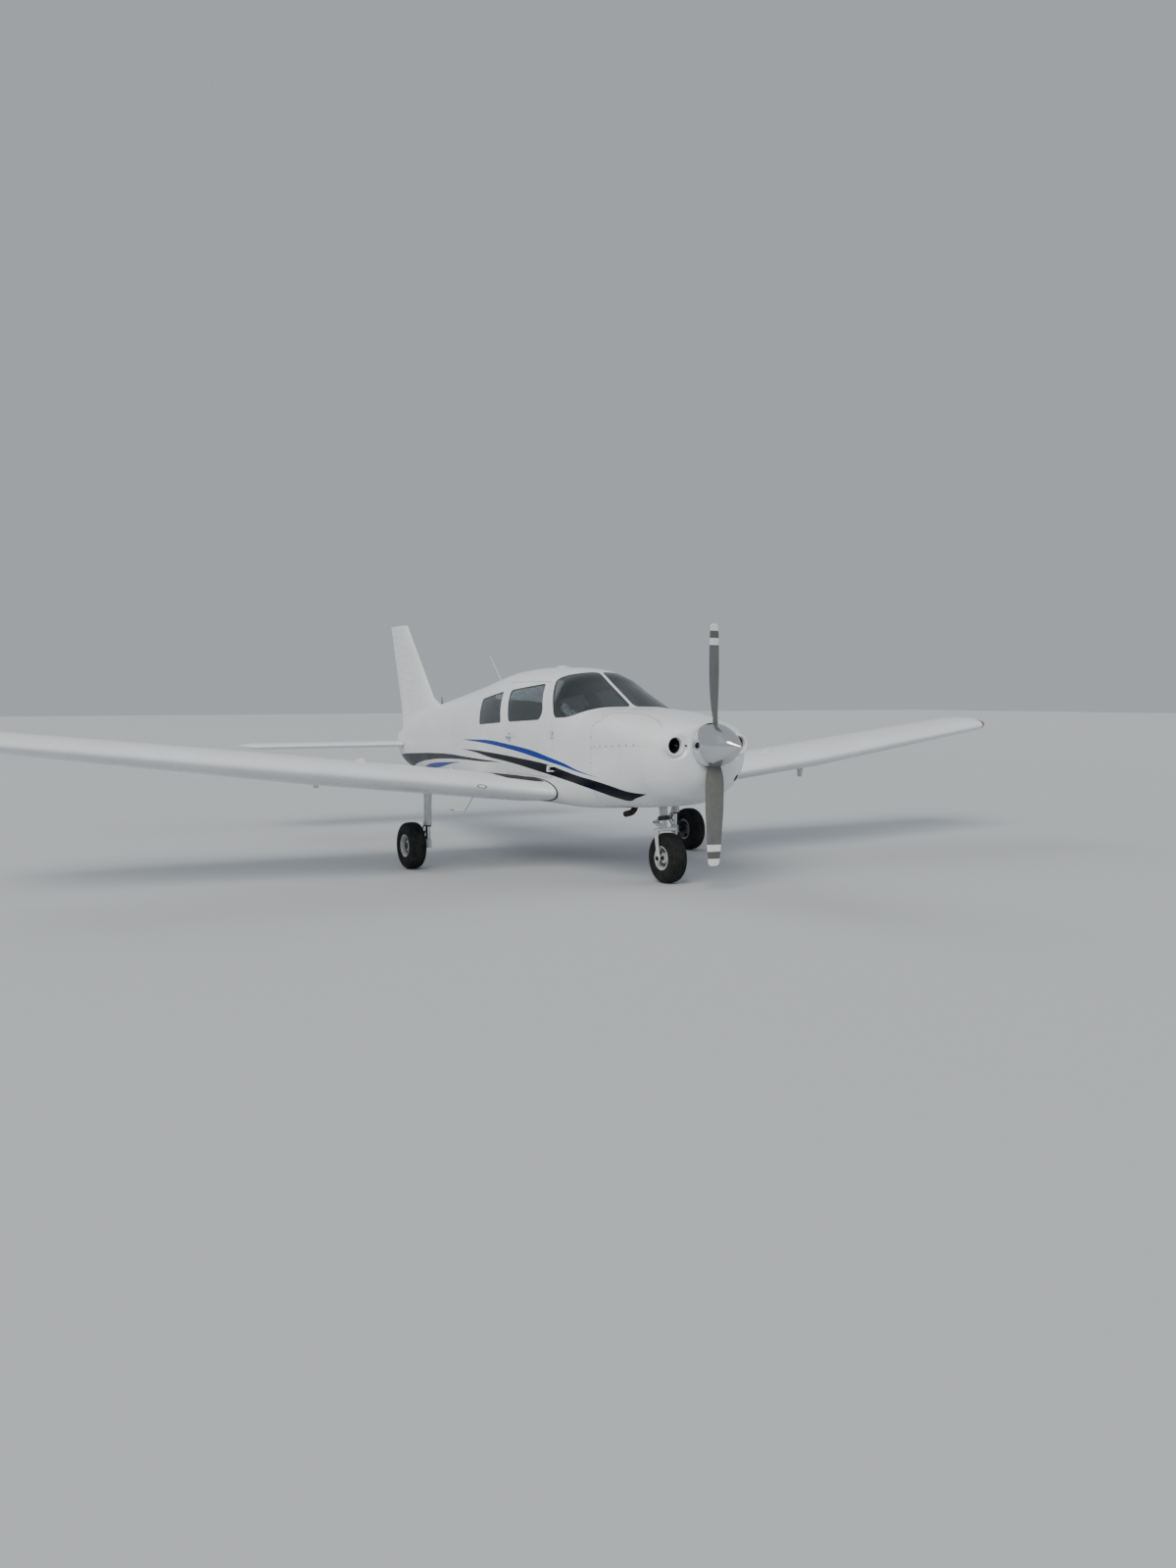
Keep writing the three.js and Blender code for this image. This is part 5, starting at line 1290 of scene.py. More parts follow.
stabilator_pieces = []
tab_share = (STABILATOR[0, 1] - TAB_HINGE_X - .002) / (STABILATOR[0, 1] - STABILATOR[0, 2])
for side, label in ((1, "left"), (-1, "right")):
    inner, outer = [], []
    for y, lift in [(0, 0.0), *beaded_levels(.20, TAB_HALF_SPAN + .002, STABILATOR_BEAD_PITCH)]:
        section = stabilator_section(y, tab_share, lift)
        inner.append([(x, side * (max(y, notch_half_width(x)) if y == 0 else y), z) for x, z in section])
    for y, lift in [
        *beaded_levels(TAB_HALF_SPAN + .002, 1.84, STABILATOR_BEAD_PITCH),
        *[(y, 0.0) for y in STABILATOR[1:, 0]],
    ]:
        outer.append([(x, side * y, z) for x, z in stabilator_section(y, 1.0, lift)])
    stabilator_pieces.append(ring_object(f"stabilator_inner_{label}", inner, sharp_angle=35))
    stabilator_pieces.append(ring_object(f"stabilator_outer_{label}", outer, sharp_angle=35))
tab_rings = []
for y in np.linspace(-TAB_HALF_SPAN, TAB_HALF_SPAN, 3):
    station = stabilator_frame(y)
    shares = np.linspace((station[0] - TAB_HINGE_X + .002) / station[1], 1, 6)
    upper, lower = skin_point(station, shares[::-1], 1), skin_point(station, shares, -1)
    nose = (upper[-1] + lower[0]) / 2 + np.array([.0022, 0])
    tab_rings.append([(x, y, z) for x, z in [*upper, nose, *lower]])
tab = ring_object("tab_sheet", tab_rings, sharp_angle=35)
tube = tube_profile(-TUBE_REACH, TUBE_REACH, TUBE_BORE, TUBE_RADIUS)
cross_tube = turned_object("cross_tube", tube, (PIVOT_X, 0, PIVOT_Z), axis="Y", count=32)
for piece in (*stabilator_pieces, tab, cross_tube):
    add_uv(piece, lambda points: points[:, :2])
    piece.data.materials.append(spun_aluminium if piece is cross_tube else tail_paint)
    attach(piece, "stabilator_unit")
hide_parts("stabilator")
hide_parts("trim_tab")

# Wheels. Black rubber tyres with four grooves round the tread, on split cast rims painted light grey. The
# rim has a bead flange on each side, a dished web with bolts, and a hub with a cap.
MAIN_X, MAIN_Y, STRUT_Y, AXLE_Z = .692, 1.525, 1.362, .21315
NOSE_WHEEL_X = 2.630
# half width, radius
TYRE_HALF = [
    (.0560, .0985), (.0605, .0990), (.0660, .1040), (.0715, .1130), (.0755, .1270), (.0772, .1450),
    (.0765, .1620), (.0735, .1780), (.0690, .1900), (.0630, .1985), (.0560, .2040), (.0500, .2066),
    (.0480, .2030), (.0445, .2040), (.0425, .2092), (.0200, .2124), (.0185, .2080), (.0145, .2084),
    (.0130, .2128),
]
RIM_HALF = [
    (.0500, .0935), (.0575, .0950), (.0605, .0972), (.0630, .1015), (.0660, .1035), (.0685, .1015),
    (.0690, .0965), (.0660, .0900), (.0560, .0840), (.0380, .0790), (.0300, .0690), (.0290, .0560),
    (.0350, .0470), (.0460, .0430), (.0490, .0380), (.0490, .0200),
]
HUB_CAP = [
    (.049, AXIS_HOLE), (.049, .034), (.053, .033), (.0575, .028), (.060, .020), (.061, .010),
    (.0612, AXIS_HOLE),
]
BOLT_CIRCLE, BOLT_COUNT, BOLT_RADIUS, BOLT_HEAD = .060, 6, .0065, (.026, .036)

tyre_rubber, tree, shader = new_material("tyre_rubber", Roughness=.8, Specular_IOR_Level=.3)
place = add_node(tree, "TexCoord")
dust = add_node(
    tree, "TexNoise", {"Scale": 14.0, "Detail": 6.0, "Roughness": .65}, {"Vector": place.outputs["Object"]},
)
shade = add_node(tree, "MapRange", {1: .42, 2: .75, 3: 0.0, 4: .6}, {0: dust})
set_tones(shader, shade, "#141516", "#3B3A38")
grain = add_node(tree, "TexNoise", {"Scale": 420.0, "Detail": 2.0}, {"Vector": place.outputs["Object"]})
set_grain(shader, grain, .25, .0006)


def worn_material(name, light, dark, scale, roughness, metallic=0.0, bump_depth=.0003, **settings):
    """A surface whose colour and gloss change slowly from place to place, with a fine grain."""
    material, tree, shader = new_material(name, Metallic=metallic, **settings)
    place = add_node(tree, "TexCoord")
    wear = add_node(
        tree, "TexNoise", {"Scale": scale, "Detail": 5.0, "Roughness": .6},
        {"Vector": place.outputs["Object"]},
    )
    set_tones(shader, add_node(tree, "MapRange", {1: .35, 2: .7}, {0: wear}), light, dark)
    set_gloss(shader, wear, (.3, .75), roughness)
    grain = add_node(
        tree, "TexNoise", {"Scale": scale * 25, "Detail": 2.0}, {"Vector": place.outputs["Object"]},
    )
    set_grain(shader, grain, .3, bump_depth)
    return material


# The dished web between WEB_RADII is coloured darker than the flanges: painted shade in the recess.
WEB_RADII = (.047, .079)
recessed_web_shade = worn_material("brake_dust_on_paint", "#6E6F6E", "#4B4A48", 16, (.5, .75))
cast_wheel_paint = worn_material("cast_wheel_paint", "#C2C5C6", "#9A9B98", 16, (.35, .6))
dark_steel = worn_material("dark_steel", "#55575A", "#34322F", 20, (.32, .6), metallic=1.0)
gear_enamel = worn_material("gear_enamel", "#DDE0E1", "#BFC1BF", 7, (.25, .5), Coat_Weight=.3)
hard_chrome = worn_material(
    "hard_chrome", "#DADCDE", "#C4C6C8", 9, (.05, .16), metallic=1.0, bump_depth=.00005,
)
hose_rubber = worn_material("hose_rubber", "#17181A", "#26272A", 30, (.5, .75))


def joined(name, pieces):
    """One object out of several, keeping their materials."""
    target = pieces[0]
    with bpy.context.temp_override(active_object=target, selected_editable_objects=pieces):
        bpy.ops.object.join()
    target.name = target.data.name = name
    return target


def painted(piece, material):
    piece.data.materials.append(material)
    return piece


def both_sides(half):
    return [(-a, r) for a, r in half] + [(a, r) for a, r in half[::-1]]


for name, x, y, body in (
    ("main_left", MAIN_X, MAIN_Y, "main_wheel_left"), ("main_right", MAIN_X, -MAIN_Y, "main_wheel_right"),
    ("nose", NOSE_WHEEL_X, 0, "nose_wheel"),
):
    centre = (x, y, AXLE_Z)
    tyre = painted(
        turned_object(f"{name}_tyre_rubber", both_sides(TYRE_HALF), centre, "Y", 96, 40), tyre_rubber,
    )
    parts = [painted(turned_object("rim", both_sides(RIM_HALF), centre, "Y", 64, 35), cast_wheel_paint)]
    # faces on the dished web take the darker painted shade
    parts[0].data.materials.append(recessed_web_shade)
    for face in parts[0].data.polygons:
        if WEB_RADII[0] < math.hypot(face.center.x - x, face.center.z - AXLE_Z) < WEB_RADII[1]:
            face.material_index = 1
    for k in range(BOLT_COUNT):
        turn = 2 * math.pi * k / BOLT_COUNT
        spot = (x + BOLT_CIRCLE * math.sin(turn), y, AXLE_Z + BOLT_CIRCLE * math.cos(turn))
        for way in (1, -1):
            bolt = tube_profile(way * BOLT_HEAD[0], way * BOLT_HEAD[1], AXIS_HOLE, BOLT_RADIUS)
            parts.append(painted(turned_object("bolt", bolt, spot, "Y", 6, 30), dark_steel))
    if name != "nose":
        way = 1 if y > 0 else -1
        cap = [(a * way, r) for a, r in HUB_CAP]
        parts.append(painted(turned_object("cap", cap, centre, "Y", 32, 35), dark_steel))
    rim = joined(f"{name}_rim_cast", parts)
    for piece, slot, node_name in (
        (tyre, "tyre_rubber", f"{name}_tyre"), (rim, "wheel_metal", f"{name}_rim"),
    ):
        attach(piece, body)
        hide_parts(node_name)


# Main legs. A white oleo strut comes out of the wing; its chrome piston carries the axle, brake disc and
# caliper, and scissor links on its rear side keep it straight. A brake hose runs down the strut.
def rod(name, points, radii, count=20, sharp_angle=40):
    """A round bar through points, with a radius at each."""
    points = np.array(points, float)
    radii = np.broadcast_to(radii, len(points))
    ahead = np.gradient(points, axis=0)
    ahead /= np.linalg.norm(ahead, axis=1)[:, None]
    side = np.cross(ahead[0], [0, 0, 1] if abs(ahead[0][2]) < .9 else [0, 1, 0])
    rings = []
    turn = np.linspace(0, 2 * math.pi, count, endpoint=False)[:, None]
    for point, way, radius in zip(points, ahead, radii):
        side = side - way * side.dot(way)
        side /= np.linalg.norm(side)
        rings.append(point + radius * (np.cos(turn) * side + np.sin(turn) * np.cross(way, side)))
    return ring_object(name, rings, sharp_angle=sharp_angle)


def plate(name, outline, y0, y1, corner=.006, edge=.0025):
    """A flat part cut to an outline of (x, z) pairs between two distances from the middle, edges eased."""
    loop = rounded(outline, corner, 5) if corner else np.array(outline, float)
    rings = []
    for y, shrink in ((y0, edge), (y0 + edge, 0), (y1 - edge, 0), (y1, edge)):
        ring = moved_out(loop, -shrink)
        rings.append([(x, y, z) for x, z in ring])
    return ring_object(name, rings, sharp_angle=35)


def beside(x, z, pairs):
    """The pairs moved from round the origin to round (x, z)."""
    return [(x + a, z + b) for a, b in pairs]


FOOT_PROFILE = [
    (.183, .002), (.183, .030), (.188, .034), (.250, .034), (.258, .030), (.262, .024), (.262, .002),
]
DISC_WIDTH, DISC_RADIUS = .0078, .0838
SCISSOR_LINKS = (
    [(-.024, .440), (-.024, .408), (-.104, .312), (-.122, .318), (-.118, .334)],
    [(-.120, .322), (-.110, .334), (-.096, .322), (-.026, .262), (-.026, .236)],
)
STRUT_PROFILE = [
    (.392, .030), (.392, .036), (.400, .0375), (.420, .0375), (.424, .036), (.640, .036), (.648, .038),
    (.749, .038), (.749, .030),
]
for side, label in ((1, "left"), (-1, "right")):
    y, wheel_side = side * STRUT_Y, side * (MAIN_Y - .0775)
    centre = (MAIN_X, y, 0)
    parts = [
        painted(turned_object("strut", STRUT_PROFILE, centre, "Z", 40), gear_enamel),
        painted(turned_object("gland", tube_profile(.378, .391, .0225, .031), centre, "Z", 32), dark_steel),
        painted(rod("piston", [(MAIN_X, y, .232), (MAIN_X, y, .400)], .0225, 32), hard_chrome),
        painted(turned_object("foot", FOOT_PROFILE, centre, "Z", 32), gear_enamel),
        painted(
            rod("axle", [(MAIN_X, y, AXLE_Z), (MAIN_X, side * (MAIN_Y + .045), AXLE_Z)], .0168, 24),
            dark_steel,
        ),
        painted(
            turned_object(
                "disc", tube_profile(0, DISC_WIDTH, .030, DISC_RADIUS),
                (MAIN_X, wheel_side - side * .018 - DISC_WIDTH / 2, AXLE_Z), "Y", 64,
            ),
            dark_steel,
        ),
    ]
    edges = sorted((wheel_side - side * .040, wheel_side - side * .0245))
    caliper = beside(MAIN_X, AXLE_Z, box(-.110, -.004, -.042, .058))
    parts.append(painted(plate("caliper", caliper, *edges, corner=.014, edge=.004), gear_enamel))
    for spot in (.012, .042):
        piston_side = edges[0] if side > 0 else edges[1]
        parts.append(painted(
            rod(
                "cylinder",
                [
                    (MAIN_X - .076, piston_side - side * .016, AXLE_Z + spot),
                    (MAIN_X - .076, piston_side + side * .001, AXLE_Z + spot),
                ],
                .014,
            ),
            dark_steel,
        ))
    arm = sorted((y - side * .012, y + side * .040))
    parts.append(painted(plate("arm", beside(MAIN_X, AXLE_Z, box(-.100, -.006, 0, .022)), *arm), gear_enamel))
    for link in SCISSOR_LINKS:
        for offset in (-.017, .017):
            sides = (y + offset - .006, y + offset + .006)
            parts.append(painted(plate("link", beside(MAIN_X, 0, link), *sides, .004, .0015), gear_enamel))
    for x, z in beside(MAIN_X, 0, ((-.112, .321), (-.036, .418), (-.036, .250))):
        parts.append(painted(rod("link_bolt", [(x, y - .026, z), (x, y + .026, z)], .0075, 12), dark_steel))
    hose = [
        (MAIN_X - .039, y - side * .012, .70), (MAIN_X - .041, y - side * .012, .48),
        (MAIN_X - .052, y - side * .018, .40), (MAIN_X - .066, y - side * .004, .33),
        (MAIN_X - .078, y + side * .022, .285), (MAIN_X - .078, piston_side - side * .010, AXLE_Z + .056),
    ]
    hose = [smooth_curve(np.arange(6.0), np.array(hose)[:, k], np.linspace(0, 5, 26)) for k in range(3)]
    parts.append(painted(rod("hose", np.stack(hose, -1), .0042, 8), hose_rubber))
    leg = joined(f"main_gear_leg_{label}", parts)
    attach(leg, "airframe")
    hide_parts(f"main_leg_{label}")

# Nose leg. A fixed white housing leans back from the firewall. The fork turns in it on a chrome piston, with
# a steering collar, scissor links behind and a wide crown; the tyre runs between its two flat legs.
STEER_X, STEER_Z, STEER_TILT = 2.580, .500, math.radians(10)


def steer_point(z, y=0.0, ahead=0.0):
    return (STEER_X - math.tan(STEER_TILT) * (z - STEER_Z) + ahead, y, z)


housing = [(.528, .036), (.536, .038), (.560, .038), (.566, .0355), (.700, .0355), (.706, .038), (.800, .038)]
mount_x = FIREWALL_X + .002
bracket = [(mount_x, .752), (steer_point(.78)[0], .752), (steer_point(.80)[0], .812), (mount_x, .812)]
brace = [(mount_x, .752), (mount_x, .700), (steer_point(.65)[0] - .03, .640), (steer_point(.66)[0], .670),
         (steer_point(.76)[0], .752)]
housing_parts = [
    painted(rod("housing", [steer_point(z) for z, _ in housing], [r for _, r in housing], 36), gear_enamel),
    painted(plate("bracket", bracket, -.042, .042), gear_enamel),
]
for offset in (-.030, .030):
    housing_parts.append(painted(
        plate("brace", brace, offset - .004, offset + .004, .004, .0015), gear_enamel,
    ))
housing_piece = joined("nose_gear_housing", housing_parts)
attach(housing_piece, "airframe")
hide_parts("nose_leg")

LEG_Y, LEG_HALF = .0945, .007  # each fork leg's distance from the middle and half its thickness
FORK_LEG = [
    (-.060, .462), (-.022, .462), (-.010, .440), (-.002, .340), (.012, .250), (.024, .226), (.024, .200),
    (.006, .186), (-.016, .190), (-.024, .212), (-.024, .250), (-.040, .340), (-.060, .440),
]
fork_parts = [
    painted(rod("nose_piston", [steer_point(z) for z in (.452, .527)], .0225, 32), hard_chrome),
    painted(
        rod(
            "collar", [steer_point(z) for z in (.5265, .529, .531, .5595, .562)],
            [.036, .050, .053, .053, .050], 36,
        ),
        dark_steel,
    ),
    painted(
        plate(
            "crown", beside(NOSE_WHEEL_X, 0, box(-.084, .438, -.004, .462)), -LEG_Y - .004, LEG_Y + .004,
            .010, .006,
        ),
        gear_enamel,
    ),
    painted(
        rod("nose_axle", [(NOSE_WHEEL_X, way * (LEG_Y + .0215), AXLE_Z) for way in (-1, 1)], .0125, 24),
        dark_steel,
    ),
]
for side in (1, -1):
    sides = (side * LEG_Y - LEG_HALF, side * LEG_Y + LEG_HALF)
    leg = plate("fork_leg", beside(NOSE_WHEEL_X, 0, FORK_LEG), *sides, corner=.01, edge=.003)
    nut = rod(
        "axle_nut", [(NOSE_WHEEL_X, side * (LEG_Y + LEG_HALF + reach), AXLE_Z) for reach in (-.001, .012)],
        .019, 6,
    )
    sides = sorted((side * (LEG_Y - .030), side * (LEG_Y - .004)))
    gusset = beside(NOSE_WHEEL_X, 0, [(-.056, .440), (-.030, .440), (-.026, .405)])
    gusset = plate("gusset", gusset, *sides, corner=0, edge=.002)
    fork_parts += [painted(leg, gear_enamel), painted(nut, dark_steel), painted(gusset, gear_enamel)]
upper_arm, lower_arm = [
    [steer_point(z, ahead=ahead)[::2] for z in heights]
    for heights, ahead in (((.556, .536), -.040), ((.464, .448), -.016))
]
links = (
    [*upper_arm, *beside(STEER_X, 0, [(-.124, .496), (-.152, .498), (-.140, .512)])],
    [*beside(STEER_X, 0, [(-.140, .510), (-.122, .504)]), *lower_arm, (STEER_X - .150, .492)],
)
for outline, spread in zip(links, (.012, .019)):
    for offset in (-spread, spread):
        link = plate("link", outline, offset - .0035, offset + .0035, .003, .0012)
        fork_parts.append(painted(link, gear_enamel))
fork_parts.append(painted(
    rod("link_bolt", [(STEER_X - .140, -.026, .501), (STEER_X - .140, .026, .501)], .007, 12), dark_steel,
))
fork = joined("nose_gear_fork", fork_parts)
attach(fork, "nose_fork_unit")
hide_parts("nose_fork")

# Cabin floor and bulkheads. Looped grey carpet lies on the floor; trim panels close the cabin behind the
# baggage space and at the firewall.
def cabin_slice(x, inset, low_z):
    """The outline of the cabin's inside at a station, down to a height."""
    start = float(girth_at(x, low_z))
    turn = np.linspace(start, math.pi * GIRTH - start, 48)
    ring = hull_place(np.stack([np.full(48, x), turn], -1))
    centre = np.array([x, 0, (ring[:, 2].max() + low_z) / 2])
    way = ring - centre
    return ring - way / np.linalg.norm(way, axis=1)[:, None] * inset


carpet_pile = worn_material("carpet_pile", "#55585B", "#47494C", 60, (.9, 1.0), bump_depth=.002)
trim_vinyl = worn_material("trim_vinyl", "#B9B6AE", "#A9A69D", 5, (.5, .65), bump_depth=.0004)
carpet_rings = []
for x in np.linspace(-.478, 2.296, 15):
    half = float(hull_half_width(x, .682)) - .034
    carpet_rings.append([(x, y, z) for y, z in box(-half, .673, half, .681)])
carpet = painted(ring_object("cabin_carpet", carpet_rings, sharp_angle=30), carpet_pile)
rear_trim, foot_trim = [
    painted(ring_object(name, [cabin_slice(x, .031, .684) + [step, 0, 0] for step in (0, .006)]), trim_vinyl)
    for name, x in (("baggage_bulkhead", -.485), ("foot_bulkhead", 2.300))
]
for piece in (carpet, rear_trim, foot_trim):
    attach(piece, "airframe")

# Seats. Two front seats on tube frames and a bench for two behind. Foam cushions in stitched grey-tan
# leather, swollen by a cloth simulation, with sewn channels.
SEATS = {  # name: x, half width, cushion height, top of the back
    "front": (1.400, .215, .960, 1.500),
    "bench": (.470, .440, .950, 1.460),
}
PAD_INSET, PAD_VOXEL, PAD_SWELL, PAD_PRESSURE, PAD_FRAMES = .014, .008, .024, 4.0, 20
CHANNEL_HALF_WIDTH, CHANNEL_DEPTH, CHANNEL_FADE = .007, .006, .02
# distance from the middle
CHANNELS = {"front": (-.075, 0, .075), "bench": (-.30, -.20, -.10, 0, .10, .20, .30)}
CROSS_SEAM_X, CROSS_SEAM_DOWN = .15, .13  # ahead of the cushion's middle, and below the top of the back

seat_leather, tree, shader = new_material("seat_leather", Roughness=.5, Specular_IOR_Level=.4)
place = add_node(tree, "TexCoord")
patch = add_node(tree, "TexNoise", {"Scale": 7.0, "Detail": 5.0}, {"Vector": place.outputs["Object"]})
set_tones(shader, patch, "#8E8170", "#776B5C")
grain = add_node(tree, "TexVoronoi", {"Scale": 420.0}, {"Vector": place.outputs["Object"]})
set_grain(shader, grain, .35, .0006)
set_gloss(shader, patch, (.3, .7), (.42, .6))


def apply_modifiers(piece):
    mesh = bpy.data.meshes.new_from_object(piece.evaluated_get(bpy.context.evaluated_depsgraph_get()))
    piece.modifiers.clear()
    piece.data = mesh


def pad_base(name, outline, half_width):
    """The slightly small closed block that a pad swells from, voxel remeshed."""
    pad = plate(name, outline, -half_width + PAD_INSET, half_width - PAD_INSET, corner=.03, edge=.014)
    remesh = pad.modifiers.new("remesh", "REMESH")
    remesh.mode, remesh.voxel_size, remesh.use_smooth_shade = "VOXEL", PAD_VOXEL, True
    apply_modifiers(pad)
    return pad


def mesh_points(mesh):
    points = np.zeros(len(mesh.vertices) * 3)
    mesh.vertices.foreach_get("co", points)
    return points.reshape(-1, 3)


pads, pad_holds = {}, {}
for kind, (x, half, high, top) in SEATS.items():
    pads[f"{kind}_cushion"] = pad_base(
        f"{kind}_cushion",
        [
            (x - .212, high - .094), (x + .212, high - .080), (x + .216, high - .016),
            (x + .13, high + .001), (x - .200, high - .016),
        ],
        half,
    )
    pad_holds[f"{kind}_cushion"] = lambda p, z=high - .084: p[:, 2] < z
    pads[f"{kind}_back"] = pad_base(f"{kind}_back", [
        (x - .232, high - .030), (x - .176, high + .004), (x - .252, top - .030), (x - .300, top - .028),
    ], half - .010)
    pad_holds[f"{kind}_back"] = lambda p, x=x, high=high: p[:, 0] < x - .230 - (p[:, 2] - high) * .126
before = {}
for name, pad in pads.items():
    before[name] = mesh_points(pad.data)
    group = pad.vertex_groups.new(name="held")
    group.add([int(i) for i in np.where(pad_holds[name](before[name]))[0]], 1.0, "REPLACE")
    cloth = pad.modifiers.new("cloth", "CLOTH")
    cloth.settings.use_pressure = True
    cloth.settings.uniform_pressure_force = PAD_PRESSURE
    cloth.settings.effector_weights.gravity = 0
    cloth.settings.vertex_group_mass = "held"
    cloth.point_cache.frame_end = PAD_FRAMES
for frame_number in range(1, PAD_FRAMES + 1):
    bpy.context.scene.frame_set(frame_number)
graph = bpy.context.evaluated_depsgraph_get()
for name, pad in pads.items():
    moved = mesh_points(pad.evaluated_get(graph).data) - before[name]
    reach = np.linalg.norm(moved, axis=1)[:, None]
    moved *= np.minimum(1, PAD_SWELL / np.maximum(reach, 1e-9))
    pad.modifiers.clear()
    pad.data.vertices.foreach_set("co", (before[name] + moved).ravel())
bpy.context.scene.frame_set(1)

RAIL_Z, FRAME_INSET = (.6825, .697), .060
seat_shell = worn_material("seat_shell_plastic", "#7D776D", "#6E695F", 8, (.45, .6))
for name, pad in pads.items():
    smoother = pad.modifiers.new("subdivision", "SUBSURF")
    smoother.levels = 1 if name.startswith("front") else 0
    apply_modifiers(pad)
    kind = name.split("_")[0]
    x, half, high, top = SEATS[kind]
    points = mesh_points(pad.data)
    normals = np.zeros(points.size)
    pad.data.vertices.foreach_get("normal", normals)
    normals = normals.reshape(-1, 3)
    groove = sum(np.exp(-((points[:, 1] - line) / CHANNEL_HALF_WIDTH) ** 2) for line in CHANNELS[kind])
    if name.endswith("cushion"):  # channels run along x and end at a cross seam; the leather faces up
        run, start, seam, facing = points[:, 0], x - .19, x + CROSS_SEAM_X, normals[:, 2]
    else:
        run, start, seam, facing = points[:, 2], high + .05, top - CROSS_SEAM_DOWN, normals[:, 0]
    groove *= np.clip((run - start) / CHANNEL_FADE, 0, 1) * np.clip((seam - run) / CHANNEL_FADE, 0, 1)
    groove += np.exp(-((run - seam) / CHANNEL_HALF_WIDTH) ** 2)
    points -= normals * (np.clip(groove, 0, 1) * np.clip(facing * 3 - 1, 0, 1) * CHANNEL_DEPTH)[:, None]
    pad.data.vertices.foreach_set("co", points.ravel())
    pad.data.polygons.foreach_set("use_smooth", [True] * len(pad.data.polygons))
    pad.data.materials.clear()
    pad.data.materials.append(seat_leather)


def seat_frame(name, kind, middle):
    """Tube legs on floor rails, cross tubes under the cushion and a moulded shell behind the back."""
    x, half, high, top = SEATS[kind]
    parts, tubes = [], []
    tube_y = (middle - half + FRAME_INSET, middle + half - FRAME_INSET)
    for y in tube_y:
        parts.append(painted(
            plate("rail", box(x - .200, RAIL_Z[0], x + .200, RAIL_Z[1]), y - .011, y + .011, .004),
            dark_steel,
        ))
        tubes += [
            ([(x - .175, y, RAIL_Z[1]), (x - .150, y, high - .118)], .011),
            ([(x + .175, y, RAIL_Z[1]), (x + .150, y, high - .118)], .011),
            ([(x - .200, y, high - .118), (x + .200, y, high - .108)], .011),
            ([(x - .200, y, high - .112), (x - .246, y, high - .03), (x - .318, y, top - .12)], .010),
        ]
    tubes += [([(x + spot, y, high - .116) for y in tube_y], .010) for spot in (-.15, .15)]
    parts += [painted(rod("tube", points, radius, 16), gear_enamel) for points, radius in tubes]
    shell = [(x - .238, high - .028), (x - .242, high - .030), (x - .312, top - .022), (x - .306, top - .020)]
    parts.append(painted(
        plate("shell", shell, tube_y[0] - .038, tube_y[1] + .038, corner=0, edge=.001), seat_shell,
    ))
    return joined(name, parts)


for name, kind, middle in (
    ("front_seat_left", "front", .262), ("front_seat_right", "front", -.262), ("rear_bench", "bench", 0),
):
    frame_piece = seat_frame(f"{name}_frame", kind, middle)
    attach(frame_piece, "airframe")
    for part in ("cushion", "back"):
        pad = pads[f"{kind}_{part}"]
        if middle <= 0 and kind == "front":
            pad = bpy.data.objects.new(f"{name}_{part}", pad.data.copy())
            bpy.context.scene.collection.objects.link(pad)
        pad.name = f"{name}_{part}"
        pad.data.transform(Matrix.Translation((0, middle if middle >= 0 else 2 * middle, 0)))
        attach(pad, "airframe")
    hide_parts(name)

# Instrument panel. A black metal panel with round dials in front of the pilot, a radio stack in the middle
# and a padded glareshield on top. Each control wheel is a horned yoke on a chrome shaft.
PANEL_X, PANEL_LOW, PANEL_HIGH, YOKE_Z = 1.830, .930, 1.388, 1.130
panel_black = worn_material("panel_crackle_black", "#1B1C1E", "#242628", 25, (.55, .75), bump_depth=.0006)
bezel_black = worn_material("bezel_black", "#0D0E0F", "#151617", 30, (.3, .45))
dial_face = worn_material("dial_face", "#101113", "#191A1C", 30, (.25, .4))
marking_white = worn_material("marking_white", "#D8D8D2", "#C6C6BF", 30, (.5, .6))
panel_edge = [
    (float(hull_half_width(PANEL_X + .02, z)) - .036, z) for z in np.linspace(PANEL_LOW, PANEL_HIGH - .02, 9)
]
panel_edge += [(-w, z) for w, z in panel_edge[::-1]]


def panel_slab(name, outline, back, front):
    """A flat piece parallel to the panel, from one distance ahead of it to another."""
    return ring_object(name, [[(PANEL_X + step, y, z) for y, z in outline] for step in (back, front)])


